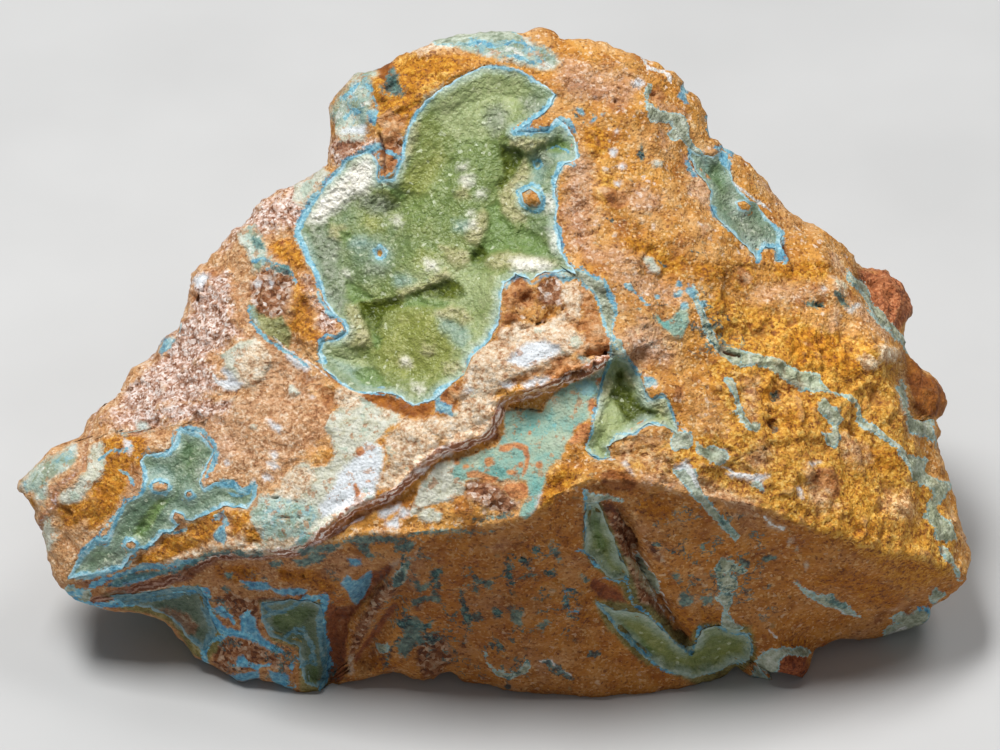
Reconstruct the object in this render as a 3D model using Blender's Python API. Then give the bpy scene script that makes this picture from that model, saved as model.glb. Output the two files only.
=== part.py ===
"""A broken piece of veined ochre rock whose pockets are lined with crusts of green crystals."""

import math

import bmesh
import bpy
import numpy as np
from mathutils import Vector
from mathutils.geometry import delaunay_2d_cdt

CUTS = 22                  # squares along each edge of the cube the rock is mapped from
ROWS_FRONT = 16 / 22       # share of the cube's sides that maps to the front
GAP_MM = 0.3               # clearance between a crust and the rock about it
GRID = 15.0                # spacing of a crust's points, in sheet units

# ---------------------------------------------------------------------------
# Driving dimensions.  The stone is laid out on a sheet that faces its front:
# one sheet unit is UNIT_MM, x runs right and y runs down, and depth is in
# millimetres towards the viewer of the sheet.  The sheet leans back by TILT.
# ---------------------------------------------------------------------------
UNIT_MM = 0.105            # one sheet unit
TILT = math.radians(40.0)  # lean of the sheet's normal above the horizon
REACH = 450.0              # sheet lines converge at this distance, in mm
MID = 8.0                  # depth at which one unit is exactly UNIT_MM
CENTRE = (500.0, 375.0)    # sheet point on the line of convergence
FOOT_ROW = 695.0           # sheet row of the front foot of the stone
SHIFT_MM = (0.036, -21.952, 0.9)  # moves the stone's bounding box over the origin

SIN, COS = math.sin(TILT), math.cos(TILT)
FOOT = (FOOT_ROW - CENTRE[1]) * UNIT_MM

# Outline of the stone, clockwise from its left tip.
OUTLINE = [
    (19, 487), (27, 474), (43, 458), (52, 446), (62, 442), (79, 439), (86, 421), (98, 409), (113, 400), (121, 392),
    (125, 380), (131, 368), (146, 361), (153, 353), (157, 345), (163, 338), (174, 331), (181, 318), (185, 302), (190, 288),
    (191, 274), (198, 269), (206, 266), (210, 256), (221, 245), (232, 233), (245, 223), (254, 213), (264, 201), (277, 191),
    (296, 188), (305, 179), (320, 171), (327, 162), (329, 142), (330, 122), (331, 106), (341, 90), (354, 76), (367, 71),
    (384, 66), (398, 58), (413, 54), (427, 49), (440, 42), (457, 37), (472, 35), (500, 33), (524, 32), (536, 28),
    (553, 30), (563, 39), (585, 40), (603, 43), (632, 52), (646, 60), (657, 64), (664, 72), (674, 72), (683, 85),
    (696, 98), (705, 115), (708, 138), (722, 149), (742, 160), (754, 168), (768, 185), (785, 206), (802, 220), (824, 230),
    (834, 238), (847, 246), (857, 262), (866, 269), (885, 275), (902, 285), (909, 299), (910, 312), (904, 323), (904, 345),
    (909, 358), (918, 367), (934, 377), (944, 389), (949, 403), (943, 416), (934, 421), (938, 432), (932, 441), (938, 453),
    (947, 475), (955, 500), (962, 524), (972, 552), (966, 580), (950, 596), (930, 606), (929, 618), (906, 629), (872, 638),
    (832, 641), (814, 649), (809, 666), (802, 678), (774, 684), (764, 673), (757, 664), (736, 665), (724, 675), (690, 687),
    (640, 696), (600, 699), (560, 695), (515, 691), (490, 683), (464, 680), (452, 671), (442, 672), (434, 679), (412, 678),
    (400, 673), (380, 674), (358, 680), (345, 683), (331, 689), (322, 697), (298, 694), (276, 684), (258, 678), (240, 680),
    (222, 669), (196, 657), (180, 640), (166, 623), (140, 614), (104, 609), (80, 601), (62, 588), (53, 574), (47, 549),
    (40, 528), (31, 507),
]

# Depth of the stone's front along its outline: (x, y, depth).
RIM_DEPTHS = [
    (19, 487, 3.6), (52, 446, 2.9), (86, 421, 2.7), (121, 392, 2.4), (163, 338, 2.2), (191, 274, 1.9), (254, 213, 2.4),
    (305, 179, 3.6), (329, 142, 4.4), (341, 90, 3.8), (398, 58, 5.6), (457, 37, 6.1), (536, 28, 7.0), (603, 43, 6.8),
    (664, 72, 5.2), (705, 115, 4.0), (742, 160, 3.0), (785, 206, 1.6), (834, 238, 0.4), (866, 269, -2.6), (909, 299, -6.2),
    (904, 335, -3.2), (918, 367, -4.6), (949, 403, -6.0), (932, 441, -1.8), (955, 500, -1.3), (972, 552, -1.6),
    (950, 596, -1.8), (906, 629, -5.4), (814, 649, -2.4), (802, 678, -1.4), (736, 665, -0.8), (690, 687, -0.4),
    (600, 699, 0.0), (515, 691, 0.4), (452, 671, 1.2), (400, 673, 1.0), (345, 683, 0.2), (298, 694, -0.2),
    (240, 680, -0.6), (196, 657, -1.0), (140, 614, -0.4), (80, 601, 1.4), (47, 549, 3.2),
]

# The edge between the stone's upper face and its undercut front: (x, y, depth).
BROW = [
    (64, 580, 4.2), (120, 570, 6.8), (200, 557, 9.9), (262, 552, 12.4), (300, 551, 14.0), (350, 536, 16.8), (420, 532, 18.5),
    (500, 523, 19.4), (532, 513, 20.2), (552, 497, 20.6), (590, 479, 21.2), (640, 480, 20.6), (700, 496, 19.4),
    (760, 507, 17.6), (805, 524, 15.2), (848, 536, 12.6), (880, 551, 10.2), (925, 558, 6.2), (952, 572, 2.6),
]

# Points of the upper face and of the front below the brow: (x, y, depth).
FACE = [
    (560, 58, 8.4), (610, 66, 8.4), (655, 96, 7.2), (500, 52, 8.2), (450, 62, 8.2), (405, 84, 7.6), (366, 102, 6.6),
    (350, 150, 6.4), (330, 190, 6.2), (400, 150, 9.0), (470, 120, 10.6), (540, 90, 9.8), (590, 110, 10.2), (600, 180, 12.4),
    (590, 240, 14.6), (610, 300, 16.4), (618, 350, 18.4), (520, 200, 13.4), (440, 220, 12.4), (380, 250, 10.8),
    (500, 300, 17.2), (480, 380, 18.8), (430, 340, 16.0), (360, 320, 12.2), (300, 225, 6.0), (290, 290, 8.2),
    (320, 350, 11.2), (350, 390, 13.6), (400, 408, 16.0), (445, 414, 18.2), (250, 255, 5.4), (240, 310, 6.8),
    (215, 290, 4.6), (200, 340, 5.4), (180, 380, 6.0), (240, 380, 9.2), (290, 400, 11.6), (140, 410, 5.4), (110, 440, 5.8),
    (160, 450, 8.2), (220, 450, 10.2), (300, 460, 13.8), (370, 450, 16.8), (430, 460, 18.4), (330, 500, 15.6),
    (70, 462, 4.8), (44, 490, 5.0), (62, 530, 5.4), (100, 510, 7.6), (150, 530, 9.0), (210, 520, 11.2), (270, 520, 13.6),
    (90, 560, 6.2), (400, 500, 17.8), (460, 490, 18.6), (520, 440, 18.0), (560, 420, 18.2), (590, 400, 18.6),
    (540, 480, 19.6), (600, 440, 19.6), (650, 130, 9.2), (700, 160, 6.2), (690, 210, 9.8), (650, 230, 13.2),
    (740, 210, 6.0), (760, 260, 8.0), (700, 290, 13.0), (800, 240, 3.6), (815, 290, 6.2), (845, 290, 4.4), (850, 340, 6.2),
    (885, 350, 3.8), (790, 340, 10.4), (660, 320, 16.2), (700, 370, 15.8), (640, 400, 18.8), (700, 430, 18.2),
    (760, 400, 14.0), (820, 400, 10.4), (870, 400, 6.6), (890, 400, 4.8), (760, 460, 16.6), (820, 470, 13.4),
    (880, 470, 8.8), (915, 450, 4.2), (925, 500, 4.2), (945, 540, 2.6), (870, 520, 11.2),
    (330, 566, 12.6), (400, 560, 15.0), (470, 560, 15.6), (420, 610, 8.8), (400, 655, 3.0), (345, 640, 3.8), (300, 600, 8.8),
    (250, 590, 7.8), (290, 650, 2.6), (240, 640, 2.6), (200, 600, 4.8), (210, 645, -0.2), (150, 596, 2.8), (110, 594, 3.4),
    (520, 620, 8.8), (520, 665, 3.4), (560, 560, 14.6), (600, 520, 18.0), (600, 600, 10.4), (600, 660, 3.4),
    (650, 540, 15.8), (670, 600, 8.8), (680, 660, 2.2), (720, 540, 14.8), (740, 600, 7.4), (745, 650, 1.4),
    (790, 560, 10.8), (800, 610, 3.8), (840, 580, 8.8), (880, 590, 4.6), (850, 620, -0.8), (920, 585, 2.2), (780, 665, 0.4),
]

# Half-spaces that bound the stone's unseen back, sides and underside, in the
# frame of its front foot: outward normal and distance, in millimetres.
BACK_PLANES = [
    ((0.04, 0.9996, 0.0), 46.0),
    ((0.05, 0.943, 0.33), 56.3),
    ((-0.60, 0.80, 0.0), 39.6),
    ((-0.36, 0.87, 0.33), 53.0),
    ((0.48, 0.84, 0.25), 57.5),
    ((0.66, 0.75, -0.05), 51.0),
    ((0.86, 0.28, -0.42), 37.0),
    ((0.72, 0.10, -0.69), 29.0),
    ((-0.46, 0.10, -0.88), 13.4),
    ((-0.80, 0.35, -0.48), 33.4),
    ((0.10, 0.62, -0.78), 25.0),
    ((0.0, 0.0, -1.0), 0.9),
]


def to_world(x, y, depth):
    """Sheet point and depth to row-frame millimetres."""
    k = 1.0 - (depth - MID) / REACH
    across = (x - CENTRE[0]) * UNIT_MM * k
    up = (CENTRE[1] - y) * UNIT_MM * k + FOOT
    return np.stack(
        [
            across + SHIFT_MM[0],
            SIN * up - COS * depth + SHIFT_MM[1],
            COS * up + SIN * depth + SHIFT_MM[2],
        ],
        axis=-1,
    )


def lattice(ix, iy, iz, seed):
    """A repeatable whole number for each lattice corner."""
    h = (
        ix.astype(np.uint32) * np.uint32(374761393)
        + iy.astype(np.uint32) * np.uint32(668265263)
        + iz.astype(np.uint32) * np.uint32(2246822519)
        + np.uint32((seed * 3266489917) & 0xFFFFFFFF)
    )
    h = (h ^ (h >> np.uint32(15))) * np.uint32(2246822519)
    h = (h ^ (h >> np.uint32(13))) * np.uint32(3266489917)
    return h ^ (h >> np.uint32(16))


def noise(points, scale, seed=0):
    """Smooth gradient noise in about -1 to 1 whose grains are `scale` across."""
    p = np.asarray(points, float) / scale + 1000.0
    cell = np.floor(p)
    f = p - cell
    c = cell.astype(np.int64)
    w = f * f * f * (f * (f * 6 - 15) + 10)
    total = np.zeros(p.shape[0])
    for dx in (0, 1):
        for dy in (0, 1):
            for dz in (0, 1):
                h = lattice(c[:, 0] + dx, c[:, 1] + dy, c[:, 2] + dz, seed)
                gx = (h & np.uint32(1023)).astype(float) / 511.5 - 1.0
                gy = ((h >> np.uint32(10)) & np.uint32(1023)).astype(float) / 511.5 - 1.0
                gz = ((h >> np.uint32(20)) & np.uint32(1023)).astype(float) / 511.5 - 1.0
                dot = gx * (f[:, 0] - dx) + gy * (f[:, 1] - dy) + gz * (f[:, 2] - dz)
                wx = w[:, 0] if dx else 1 - w[:, 0]
                wy = w[:, 1] if dy else 1 - w[:, 1]
                wz = w[:, 2] if dz else 1 - w[:, 2]
                total += wx * wy * wz * dot
    return total * 1.35


def fractal(points, scale, octaves, seed=0, gain=0.5):
    total, amplitude = np.zeros(len(points)), 1.0
    for octave in range(octaves):
        total += amplitude * noise(points, scale / 2**octave, seed + 17 * octave)
        amplitude *= gain
    return total


def sheet_noise(x, y, scale, octaves, seed):
    return fractal(np.stack([x, y, np.full_like(x, 3.3)], axis=-1), scale, octaves, seed)


def smooth(a, b, t):
    t = np.clip((t - a) / (b - a), 0, 1)
    return t * t * (3 - 2 * t)


def path_distance(x, y, path, closed=False):
    """Distance to a sheet path, signed positive on the right of its run, and the share of the run at the nearest point."""
    pts = np.array([p[:2] for p in path], float)
    if closed:
        pts = np.vstack([pts, pts[:1]])
    best = np.full(x.shape, 1e18)
    side = np.ones(x.shape)
    share = np.zeros(x.shape)
    steps = np.hypot(*(pts[1:] - pts[:-1]).T)
    run, whole = 0.0, max(steps.sum(), 1e-9)
    for (ax, ay), (bx, by), step in zip(pts[:-1], pts[1:], steps):
        ex, ey = bx - ax, by - ay
        t = np.clip(((x - ax) * ex + (y - ay) * ey) / max(ex * ex + ey * ey, 1e-9), 0, 1)
        ox, oy = x - ax - t * ex, y - ay - t * ey
        d2 = ox * ox + oy * oy
        near = d2 < best
        cross = ex * (y - ay) - ey * (x - ax)
        best = np.where(near, d2, best)
        side = np.where(near, np.where(cross >= 0, 1.0, -1.0), side)
        share = np.where(near, (run + t * step) / whole, share)
        run += step
    return np.sqrt(best), side, share


def inside(x, y, loop):
    """Whether each sheet point is inside a closed loop."""
    found = np.zeros(x.shape, bool)
    pts = np.array([p[:2] for p in loop], float)
    for (ax, ay), (bx, by) in zip(pts, np.roll(pts, -1, axis=0)):
        if ay == by:
            continue
        hit = (ay > y) != (by > y)
        found ^= hit & (x < (bx - ax) * (y - ay) / (by - ay) + ax)
    return found


def depth_in(x, y, loop):
    """Distance from a closed loop, positive inside it."""
    d, _, _ = path_distance(x, y, loop, closed=True)
    return np.where(inside(x, y, loop), d, -d)


# Pocket outlines: each is lined with one crust of intergrown green crystals.
POCKETS = {
    "main_druse": [
        (487, 65), (507, 67), (520, 70), (530, 75), (545, 86), (555, 95), (552, 105), (540, 114), (527, 124), (517, 131),
        (531, 133), (547, 130), (557, 118), (567, 126), (575, 138), (578, 158), (565, 165), (557, 175), (556, 188),
        (557, 208), (555, 222), (560, 234), (561, 250), (567, 261), (577, 273), (562, 272), (545, 273), (530, 280),
        (515, 274), (504, 284), (501, 300), (499, 325), (490, 340), (472, 357), (465, 375), (448, 388), (434, 400),
        (413, 406), (400, 398), (382, 392), (366, 395), (350, 390), (334, 378), (323, 367), (318, 355), (323, 342),
        (338, 339), (347, 332), (344, 321), (333, 313), (325, 303), (318, 280), (307, 262), (300, 243), (295, 232),
        (303, 215), (320, 193), (332, 176), (350, 158), (370, 150), (378, 163), (380, 181), (393, 178), (402, 157),
        (403, 143), (412, 118), (425, 100), (443, 88), (462, 76),
    ],
    "centre_druse": [
        (615, 354), (628, 362), (640, 376), (645, 388), (651, 400), (661, 394), (669, 401), (675, 418), (678, 434),
        (664, 426), (648, 425), (632, 434), (616, 440), (607, 447), (611, 457), (598, 459), (585, 450), (590, 436),
        (595, 420), (597, 400), (602, 380), (607, 362),
    ],
    "left_druse": [
        (180, 429), (195, 431), (206, 439), (215, 453), (209, 464), (200, 480), (203, 488), (220, 481), (234, 480),
        (240, 490), (250, 485), (257, 484), (256, 497), (247, 510), (226, 507), (208, 513), (192, 520), (183, 520),
        (174, 533), (162, 532), (153, 545), (138, 550), (122, 568), (100, 574), (68, 579), (80, 556), (92, 541),
        (106, 539), (115, 519), (124, 503), (139, 496), (146, 479), (140, 462), (147, 454), (167, 451), (174, 441),
    ],
    "upper_right_druse": [
        (688, 148), (700, 155), (712, 157), (722, 150), (728, 155), (728, 166), (732, 180), (741, 193), (753, 203),
        (766, 214), (771, 223), (782, 234), (780, 243), (783, 261), (776, 261), (774, 249), (765, 245), (757, 261),
        (743, 243), (727, 228), (715, 217), (711, 205), (711, 190), (704, 180), (695, 171), (690, 160),
    ],
    "front_band_druse": [
        (586, 503), (598, 503), (605, 520), (612, 535), (618, 550), (625, 565), (630, 577), (612, 580), (603, 573),
        (597, 560), (585, 552), (584, 528),
    ],
    "lower_right_druse": [
        (595, 602), (606, 616), (618, 630), (632, 645), (652, 662), (672, 672), (692, 677), (712, 673), (730, 664),
        (750, 660), (753, 648), (748, 634), (735, 630), (718, 625), (703, 629), (697, 644), (686, 648), (673, 640),
        (660, 628), (648, 616), (630, 611), (612, 609),
    ],
    "lower_left_druse": [
        (110, 595), (140, 593), (170, 588), (198, 586), (206, 598), (210, 615), (218, 630), (210, 641), (203, 651),
        (192, 642), (182, 629), (170, 616), (150, 608), (125, 604),
    ],
    "foot_druse": [
        (262, 604), (285, 600), (310, 600), (321, 606), (325, 630), (327, 655), (326, 678), (317, 688), (306, 684),
        (301, 665), (299, 648), (288, 641), (271, 636), (262, 622),
    ],
}

# How far each pocket sinks below the rock about it, and over what width, in
# millimetres and sheet units, and how thick its crust is.
BOWLS = {
    "main_druse": (2.1, 34.0, 1.4),
    "centre_druse": (2.0, 16.0, 1.0),
    "left_druse": (1.5, 14.0, 1.0),
    "upper_right_druse": (1.6, 12.0, 1.0),
    "front_band_druse": (0.9, 10.0, 1.0),
    "lower_right_druse": (1.1, 14.0, 1.0),
    "lower_left_druse": (0.5, 12.0, 1.0),
    "foot_druse": (0.5, 12.0, 1.0),
}

# Grooves, steps and mounds: path or centre, then half width or radii in sheet
# units, then height in millimetres (negative when sunk).
GROOVES = [
    ([(510, 142), (513, 160), (508, 178), (503, 195), (499, 215), (494, 235), (478, 254)], 13, -1.7),
    ([(530, 210), (525, 230), (512, 248)], 20, -0.9),
    ([(350, 303), (366, 307), (380, 309), (400, 302), (420, 299), (440, 290), (457, 279)], 9, -1.5),
    ([(352, 305), (362, 316), (370, 330), (376, 343)], 8, -1.1),
    ([(604, 402), (618, 375), (630, 388), (642, 405), (652, 418)], 10, -1.0),
    ([(620, 508), (628, 530), (636, 552), (645, 572), (656, 596), (670, 618), (684, 640), (692, 652)], 7, -2.6),
    ([(328, 694), (332, 665), (334, 635), (345, 612), (366, 592), (388, 566)], 11, -2.6),
    ([(408, 580), (392, 610), (374, 642), (362, 672)], 9, -1.4),
    ([(585, 356), (600, 354), (612, 352)], 5, -1.1),
    ([(740, 505), (748, 520), (752, 545), (760, 565)], 7, -0.7),
    ([(858, 268), (868, 297), (878, 316), (890, 334), (900, 350), (902, 372), (906, 396), (916, 414), (930, 424)], 6, -1.6),
    ([(505, 324), (520, 330), (540, 326), (556, 308)], 6, -0.5),
]
STEPS = [
    ([(606, 362), (575, 375), (550, 388), (520, 396), (502, 402), (497, 425), (480, 441), (455, 447), (428, 462),
      (408, 482), (393, 496), (365, 505), (342, 520), (318, 537), (290, 551), (262, 554)], 5, 60, 1.5),
    ([(846, 246), (858, 270), (868, 297), (878, 316), (890, 334), (900, 350), (902, 372), (906, 396), (916, 414),
      (930, 424)], 6, 40, 1.4),
    ([(578, 276), (606, 292), (614, 318), (613, 342)], 5, 26, -0.6),
    ([(338, 92), (360, 118), (378, 150), (382, 182)], 5, 30, -0.7),
    ([(118, 396), (150, 372), (176, 342), (196, 300)], 5, 30, -0.7),
]
MOUNDS = [
    (531, 199, 13, 13, 1.6), (392, 88, 17, 17, 0.8), (392, 88, 8, 8, -1.1), (272, 306, 34, 42, 0.8),
    (380, 255, 6, 6, -0.8), (538, 165, 6, 6, -0.9), (527, 299, 5, 5, -0.9), (608, 592, 22, 26, -1.5),
    (609, 428, 16, 16, 1.0), (158, 488, 13, 9, 0.9), (190, 494, 9, 9, 0.7), (131, 545, 9, 9, 0.7), (178, 517, 7, 6, 0.6),
    (818, 306, 6, 6, -0.8), (776, 397, 6, 6, -0.8), (773, 426, 5, 5, -0.7), (743, 206, 9, 9, 0.7),
    (247, 364, 24, 26, 0.7), (340, 210, 40, 60, 0.9), (430, 150, 30, 40, 0.6), (440, 330, 44, 26, 0.7),
    (410, 250, 40, 34, 0.7), (883, 306, 26, 38, 1.0), (925, 392, 24, 30, 1.0), (60, 470, 30, 20, 0.5),
    (790, 668, 24, 20, 0.9), (430, 430, 36, 22, 0.5), (300, 440, 40, 30, 0.6), (700, 250, 40, 30, 0.8),
    (760, 300, 34, 26, -0.6), (660, 370, 30, 20, -0.5), (810, 430, 44, 30, 0.7), (720, 330, 30, 22, -0.6),
    (545, 420, 26, 20, -0.7), (620, 250, 26, 40, 0.6), (590, 200, 12, 30, -0.5),
]

STAR = (480.0, 380.0)      # every sheet ray from here meets the outline once
SPREAD = (475.0, 335.0)    # half width and half height of the sheet about it
INNER = (0.0, 22.0, 21.0)  # a point well inside the stone, from its front foot
POLE = (0.0, 0.80, -0.60)  # direction of the middle of the back


def spline_fit(points, softness):
    """Weights of a smooth sheet through (x, y, depth) points."""
    p = np.array(points, float)
    r = np.hypot(p[:, None, 0] - p[None, :, 0], p[:, None, 1] - p[None, :, 1])
    kernel = np.sqrt(r * r + softness * softness)
    flat = np.stack([np.ones(len(p)), p[:, 0], p[:, 1]], axis=1)
    system = np.block([[kernel, flat], [flat.T, np.zeros((3, 3))]])
    solved = np.linalg.solve(system, np.concatenate([p[:, 2], np.zeros(3)]))
    return p, solved, softness


def spline_at(fit, x, y):
    p, solved, softness = fit
    total = solved[-3] + solved[-2] * x + solved[-1] * y
    for (px, py, _), weight in zip(p, solved[:-3]):
        total = total + weight * np.sqrt((x - px) ** 2 + (y - py) ** 2 + softness**2)
    return total


def above_brow(x, y):
    ends = [(-200, 600)] + [b[:2] for b in BROW] + [(1200, 590)]
    bx, by = np.array(ends, float).T
    return np.interp(x, bx, by) - y


def split_points():
    rim = np.array(RIM_DEPTHS, float)
    face = np.array(FACE, float)
    brow = np.array(BROW, float)
    rim_above = above_brow(rim[:, 0], rim[:, 1]) > 0
    face_above = above_brow(face[:, 0], face[:, 1]) > 0
    upper = np.vstack([rim[rim_above], face[face_above], brow])
    lower = np.vstack([rim[~rim_above], face[~face_above], brow])
    return upper, lower


UPPER_POINTS, LOWER_POINTS = split_points()
UPPER_FIT = spline_fit(UPPER_POINTS, 10.0)
LOWER_FIT = spline_fit(LOWER_POINTS, 10.0)


def front_depth(x, y, detail=1.0):
    """Depth of the stone's front, crusts included, at each sheet point."""
    high = spline_at(UPPER_FIT, x, y)
    low = spline_at(LOWER_FIT, x, y)
    share = smooth(-4.0, 4.0, above_brow(x, y) + 3.0 * sheet_noise(x, y, 30.0, 2, 5))
    depth = low + (high - low) * share
    # broad lumps and flats
    depth += 0.55 * detail * sheet_noise(x, y, 62.0, 3, 11)
    for path, fade, width, height in STEPS:
        d, side, _ = path_distance(x, y, path)
        rise = smooth(-fade, fade, d * side) - 0.5
        depth += height * rise * (1 - smooth(width * 0.3, width, d))
    for path, width, height in GROOVES:
        d, _, share = path_distance(x, y, path)
        taper = np.clip(np.minimum(share, 1 - share) * 6 + 0.35, 0, 1)
        depth += height * taper * np.exp(-((d / (width * taper + 1e-6)) ** 2))
    for mx, my, rx, ry, height in MOUNDS:
        depth += height * np.exp(-(((x - mx) / rx) ** 2) - ((y - my) / ry) ** 2)
    for name, loop in POCKETS.items():
        sink, width, _ = BOWLS[name]
        depth -= sink * smooth(-3.0, width, depth_in(x, y, loop))
    # the edge of the stone rounds over
    edge = np.clip(depth_in(x, y, OUTLINE) / 13.0, 0, 1)
    depth -= 1.5 * (1 - np.sqrt(np.clip(1 - (1 - edge) ** 2, 0, 1)))
    return depth


def star_reach(cx, cy):
    """Distance from STAR to the outline, in spread units, along unit directions."""
    pts = (np.array(OUTLINE, float) - STAR) / SPREAD
    angles = np.arctan2(pts[:, 1], pts[:, 0])
    order = np.argsort(angles)
    pts, angles = pts[order], angles[order]
    want = np.arctan2(cy, cx)
    index = np.searchsorted(angles, want) % len(angles)
    b, a = pts[index], pts[index - 1]
    e = b - a
    cross_de = cx * e[..., 1] - cy * e[..., 0]
    cross_ae = a[..., 0] * e[..., 1] - a[..., 1] * e[..., 0]
    return cross_ae / np.where(np.abs(cross_de) < 1e-12, 1e-12, cross_de)


def calm_table():
    """The outline's reach by angle with notches widened and teeth dropped, so that it never passes the outline."""
    angles = np.radians(np.arange(0, 360, 2.0))
    reach = star_reach(np.cos(angles), np.sin(angles))
    low = np.min([np.roll(reach, k) for k in range(-6, 7)], axis=0)
    return np.mean([np.roll(low, k) for k in range(-6, 7)], axis=0)


CALM = calm_table()


def calm_reach(cx, cy):
    spot = (np.degrees(np.arctan2(cy, cx)) % 360) / 2.0
    index = np.floor(spot).astype(int) % 180
    part = spot - np.floor(spot)
    return CALM[index] * (1 - part) + CALM[(index + 1) % 180] * part


def chipped_planes():
    """The planes of the back with chips struck off where they meet."""
    rng = np.random.default_rng(11)
    normals = [np.array(n) / np.linalg.norm(n) for n, _ in BACK_PLANES]
    rooms = [d - np.array(INNER) @ n for n, (_, d) in zip(normals, BACK_PLANES)]
    rays = rng.normal(size=(4000, 3))
    rays /= np.linalg.norm(rays, axis=1)[:, None]
    toward = rays @ np.array(normals).T
    lengths = np.min(np.where(toward > 0.02, np.array(rooms) / np.maximum(toward, 0.02), 1e9), axis=1)
    hull = rays * lengths[:, None]
    pole = np.array(POLE) / np.linalg.norm(POLE)
    for _ in range(22):
        n = rng.normal(size=3)
        n /= np.linalg.norm(n)
        depth = rng.uniform(0.87, 0.95)
        if n @ pole < 0.25 or n[2] < -0.75:
            continue
        normals.append(n)
        rooms.append(depth * (hull @ n).max())
    return np.array(normals), np.array(rooms)


NORMALS, ROOMS = chipped_planes()


def from_world(p):
    """Row-frame millimetres back to sheet point and depth."""
    q = p - np.array(SHIFT_MM)
    up = SIN * q[:, 1] + COS * q[:, 2]
    depth = -COS * q[:, 1] + SIN * q[:, 2]
    k = 1.0 - (depth - MID) / REACH
    return CENTRE[0] + q[:, 0] / (UNIT_MM * k), CENTRE[1] - (up - FOOT) / (UNIT_MM * k), depth


def stone_points(cube, rows_front, detail=1.0):
    """Maps the points of a cube's surface (-1 to 1) onto the stone, in row-frame millimetres.

    The cube's top becomes the middle of the stone's front, its sides the ring
    about it, the outline and the start of the back, and its bottom the rest.
    """
    a, b, c = cube.T
    wide = np.abs(a) > np.abs(b)
    safe = np.where(wide, a, np.where(b == 0, 1, b))
    turn = np.where(wide, math.pi / 4 * b / safe, math.pi / 2 - math.pi / 4 * a / safe)
    radius = np.where(wide, a, b)
    m = np.abs(radius)
    sign = np.where(radius < 0, -1.0, 1.0)
    ux, uy = sign * np.cos(turn), sign * np.sin(turn)
    top = c > 1 - 1e-6
    bottom = c < -1 + 1e-6
    share = 2 * rows_front          # rows of the sides that lie on the front
    inner2 = 1.0 / (1.0 + 4.0 * rows_front)
    t = np.clip((1 - c) / share, 0, 1)
    rho = np.where(top, m * math.sqrt(inner2), np.sqrt(inner2 + (1 - inner2) * t))
    back_share = 0.32
    s_side = np.clip((1 - share - c) / (2 - share), 0, 1) * back_share
    s = np.where(bottom, 1 - (1 - back_share) * m, s_side)
    s = np.where(top, 0, s)
    reach = star_reach(ux, uy)

    front = s <= 0
    r = np.where(front, rho, 1.0) * reach
    x = STAR[0] + r * ux * SPREAD[0]
    y = STAR[1] + r * uy * SPREAD[1]
    out = np.zeros((len(a), 3))
    depth = front_depth(x, y, detail)
    rim = to_world(x, y, depth)
    out[front] = rim[front]

    back = ~front
    shift = np.array(SHIFT_MM)
    inner = np.array(INNER)
    ray = rim[back] - shift - inner
    length0 = np.linalg.norm(ray, axis=1)
    u0 = ray / length0[:, None]
    pole = np.array(POLE) / np.linalg.norm(POLE)
    angle = np.arccos(np.clip(u0 @ pole, -1, 1))
    sb = s[back]
    go = sb**0.85
    u = (np.sin((1 - go) * angle)[:, None] * u0 + np.sin(go * angle)[:, None] * pole) / np.sin(angle)[:, None]
    u /= np.linalg.norm(u, axis=1)[:, None]
    toward = np.maximum(u @ NORMALS.T, 0) / ROOMS
    most = toward.max(axis=1)
    length1 = 1 / (most * ((toward / most[:, None]) ** 40).sum(axis=1) ** (1 / 40))
    length = length0 + (length1 - length0) * smooth(0.0, 0.22, sb)
    p = inner + u * length[:, None]
    lumps = fractal(p, 14.0, 4, 31) + 0.9 * np.abs(fractal(p, 22.0, 3, 57)) - 0.3
    p = p + u * (1.7 * lumps * smooth(0.0, 0.12, sb))[:, None]
    p[:, 2] = np.maximum(p[:, 2], -BACK_PLANES[-1][1])

    # hold the back inside the outline and behind the front
    bx, by, bd = from_world(p + shift)
    vx, vy = (bx - STAR[0]) / SPREAD[0], (by - STAR[1]) / SPREAD[1]
    far = np.hypot(vx, vy)
    vu, vw = vx / np.maximum(far, 1e-9), vy / np.maximum(far, 1e-9)
    sharp = star_reach(vu, vw)
    calm = np.minimum(calm_reach(vu, vw), sharp)
    limit = (sharp + (calm - sharp) * smooth(0, 0.10, sb)) * (1 - 0.012 * smooth(0, 0.08, sb))
    scale = np.minimum(1, limit / np.maximum(far, 1e-9))
    bx, by = STAR[0] + vx * scale * SPREAD[0], STAR[1] + vy * scale * SPREAD[1]
    bd = np.minimum(bd, front_depth(bx, by, detail) - 2.4 * smooth(0, 0.14, sb))
    p = to_world(bx, by, bd)
    p[:, 2] = np.maximum(p[:, 2], shift[2] - BACK_PLANES[-1][1])
    out[back] = p
    return out


def clear_scene():
    for obj in list(bpy.data.objects):
        bpy.data.objects.remove(obj, do_unlink=True)
    for block in list(bpy.data.meshes):
        bpy.data.meshes.remove(block)


def material(name, colour, roughness):
    made = bpy.data.materials.new(name)
    made.use_nodes = True
    shader = made.node_tree.nodes["Principled BSDF"]
    shader.inputs["Base Color"].default_value = (*colour, 1.0)
    shader.inputs["Roughness"].default_value = roughness
    shader.inputs["Metallic"].default_value = 0.0
    return made


def place(bm, name, collection, look=None):
    mesh = bpy.data.meshes.new(name)
    bmesh.ops.recalc_face_normals(bm, faces=bm.faces[:])
    bm.to_mesh(mesh)
    bm.free()
    obj = bpy.data.objects.new(name, mesh)
    if look:
        mesh.materials.append(look)
    collection.objects.link(obj)
    return obj


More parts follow.
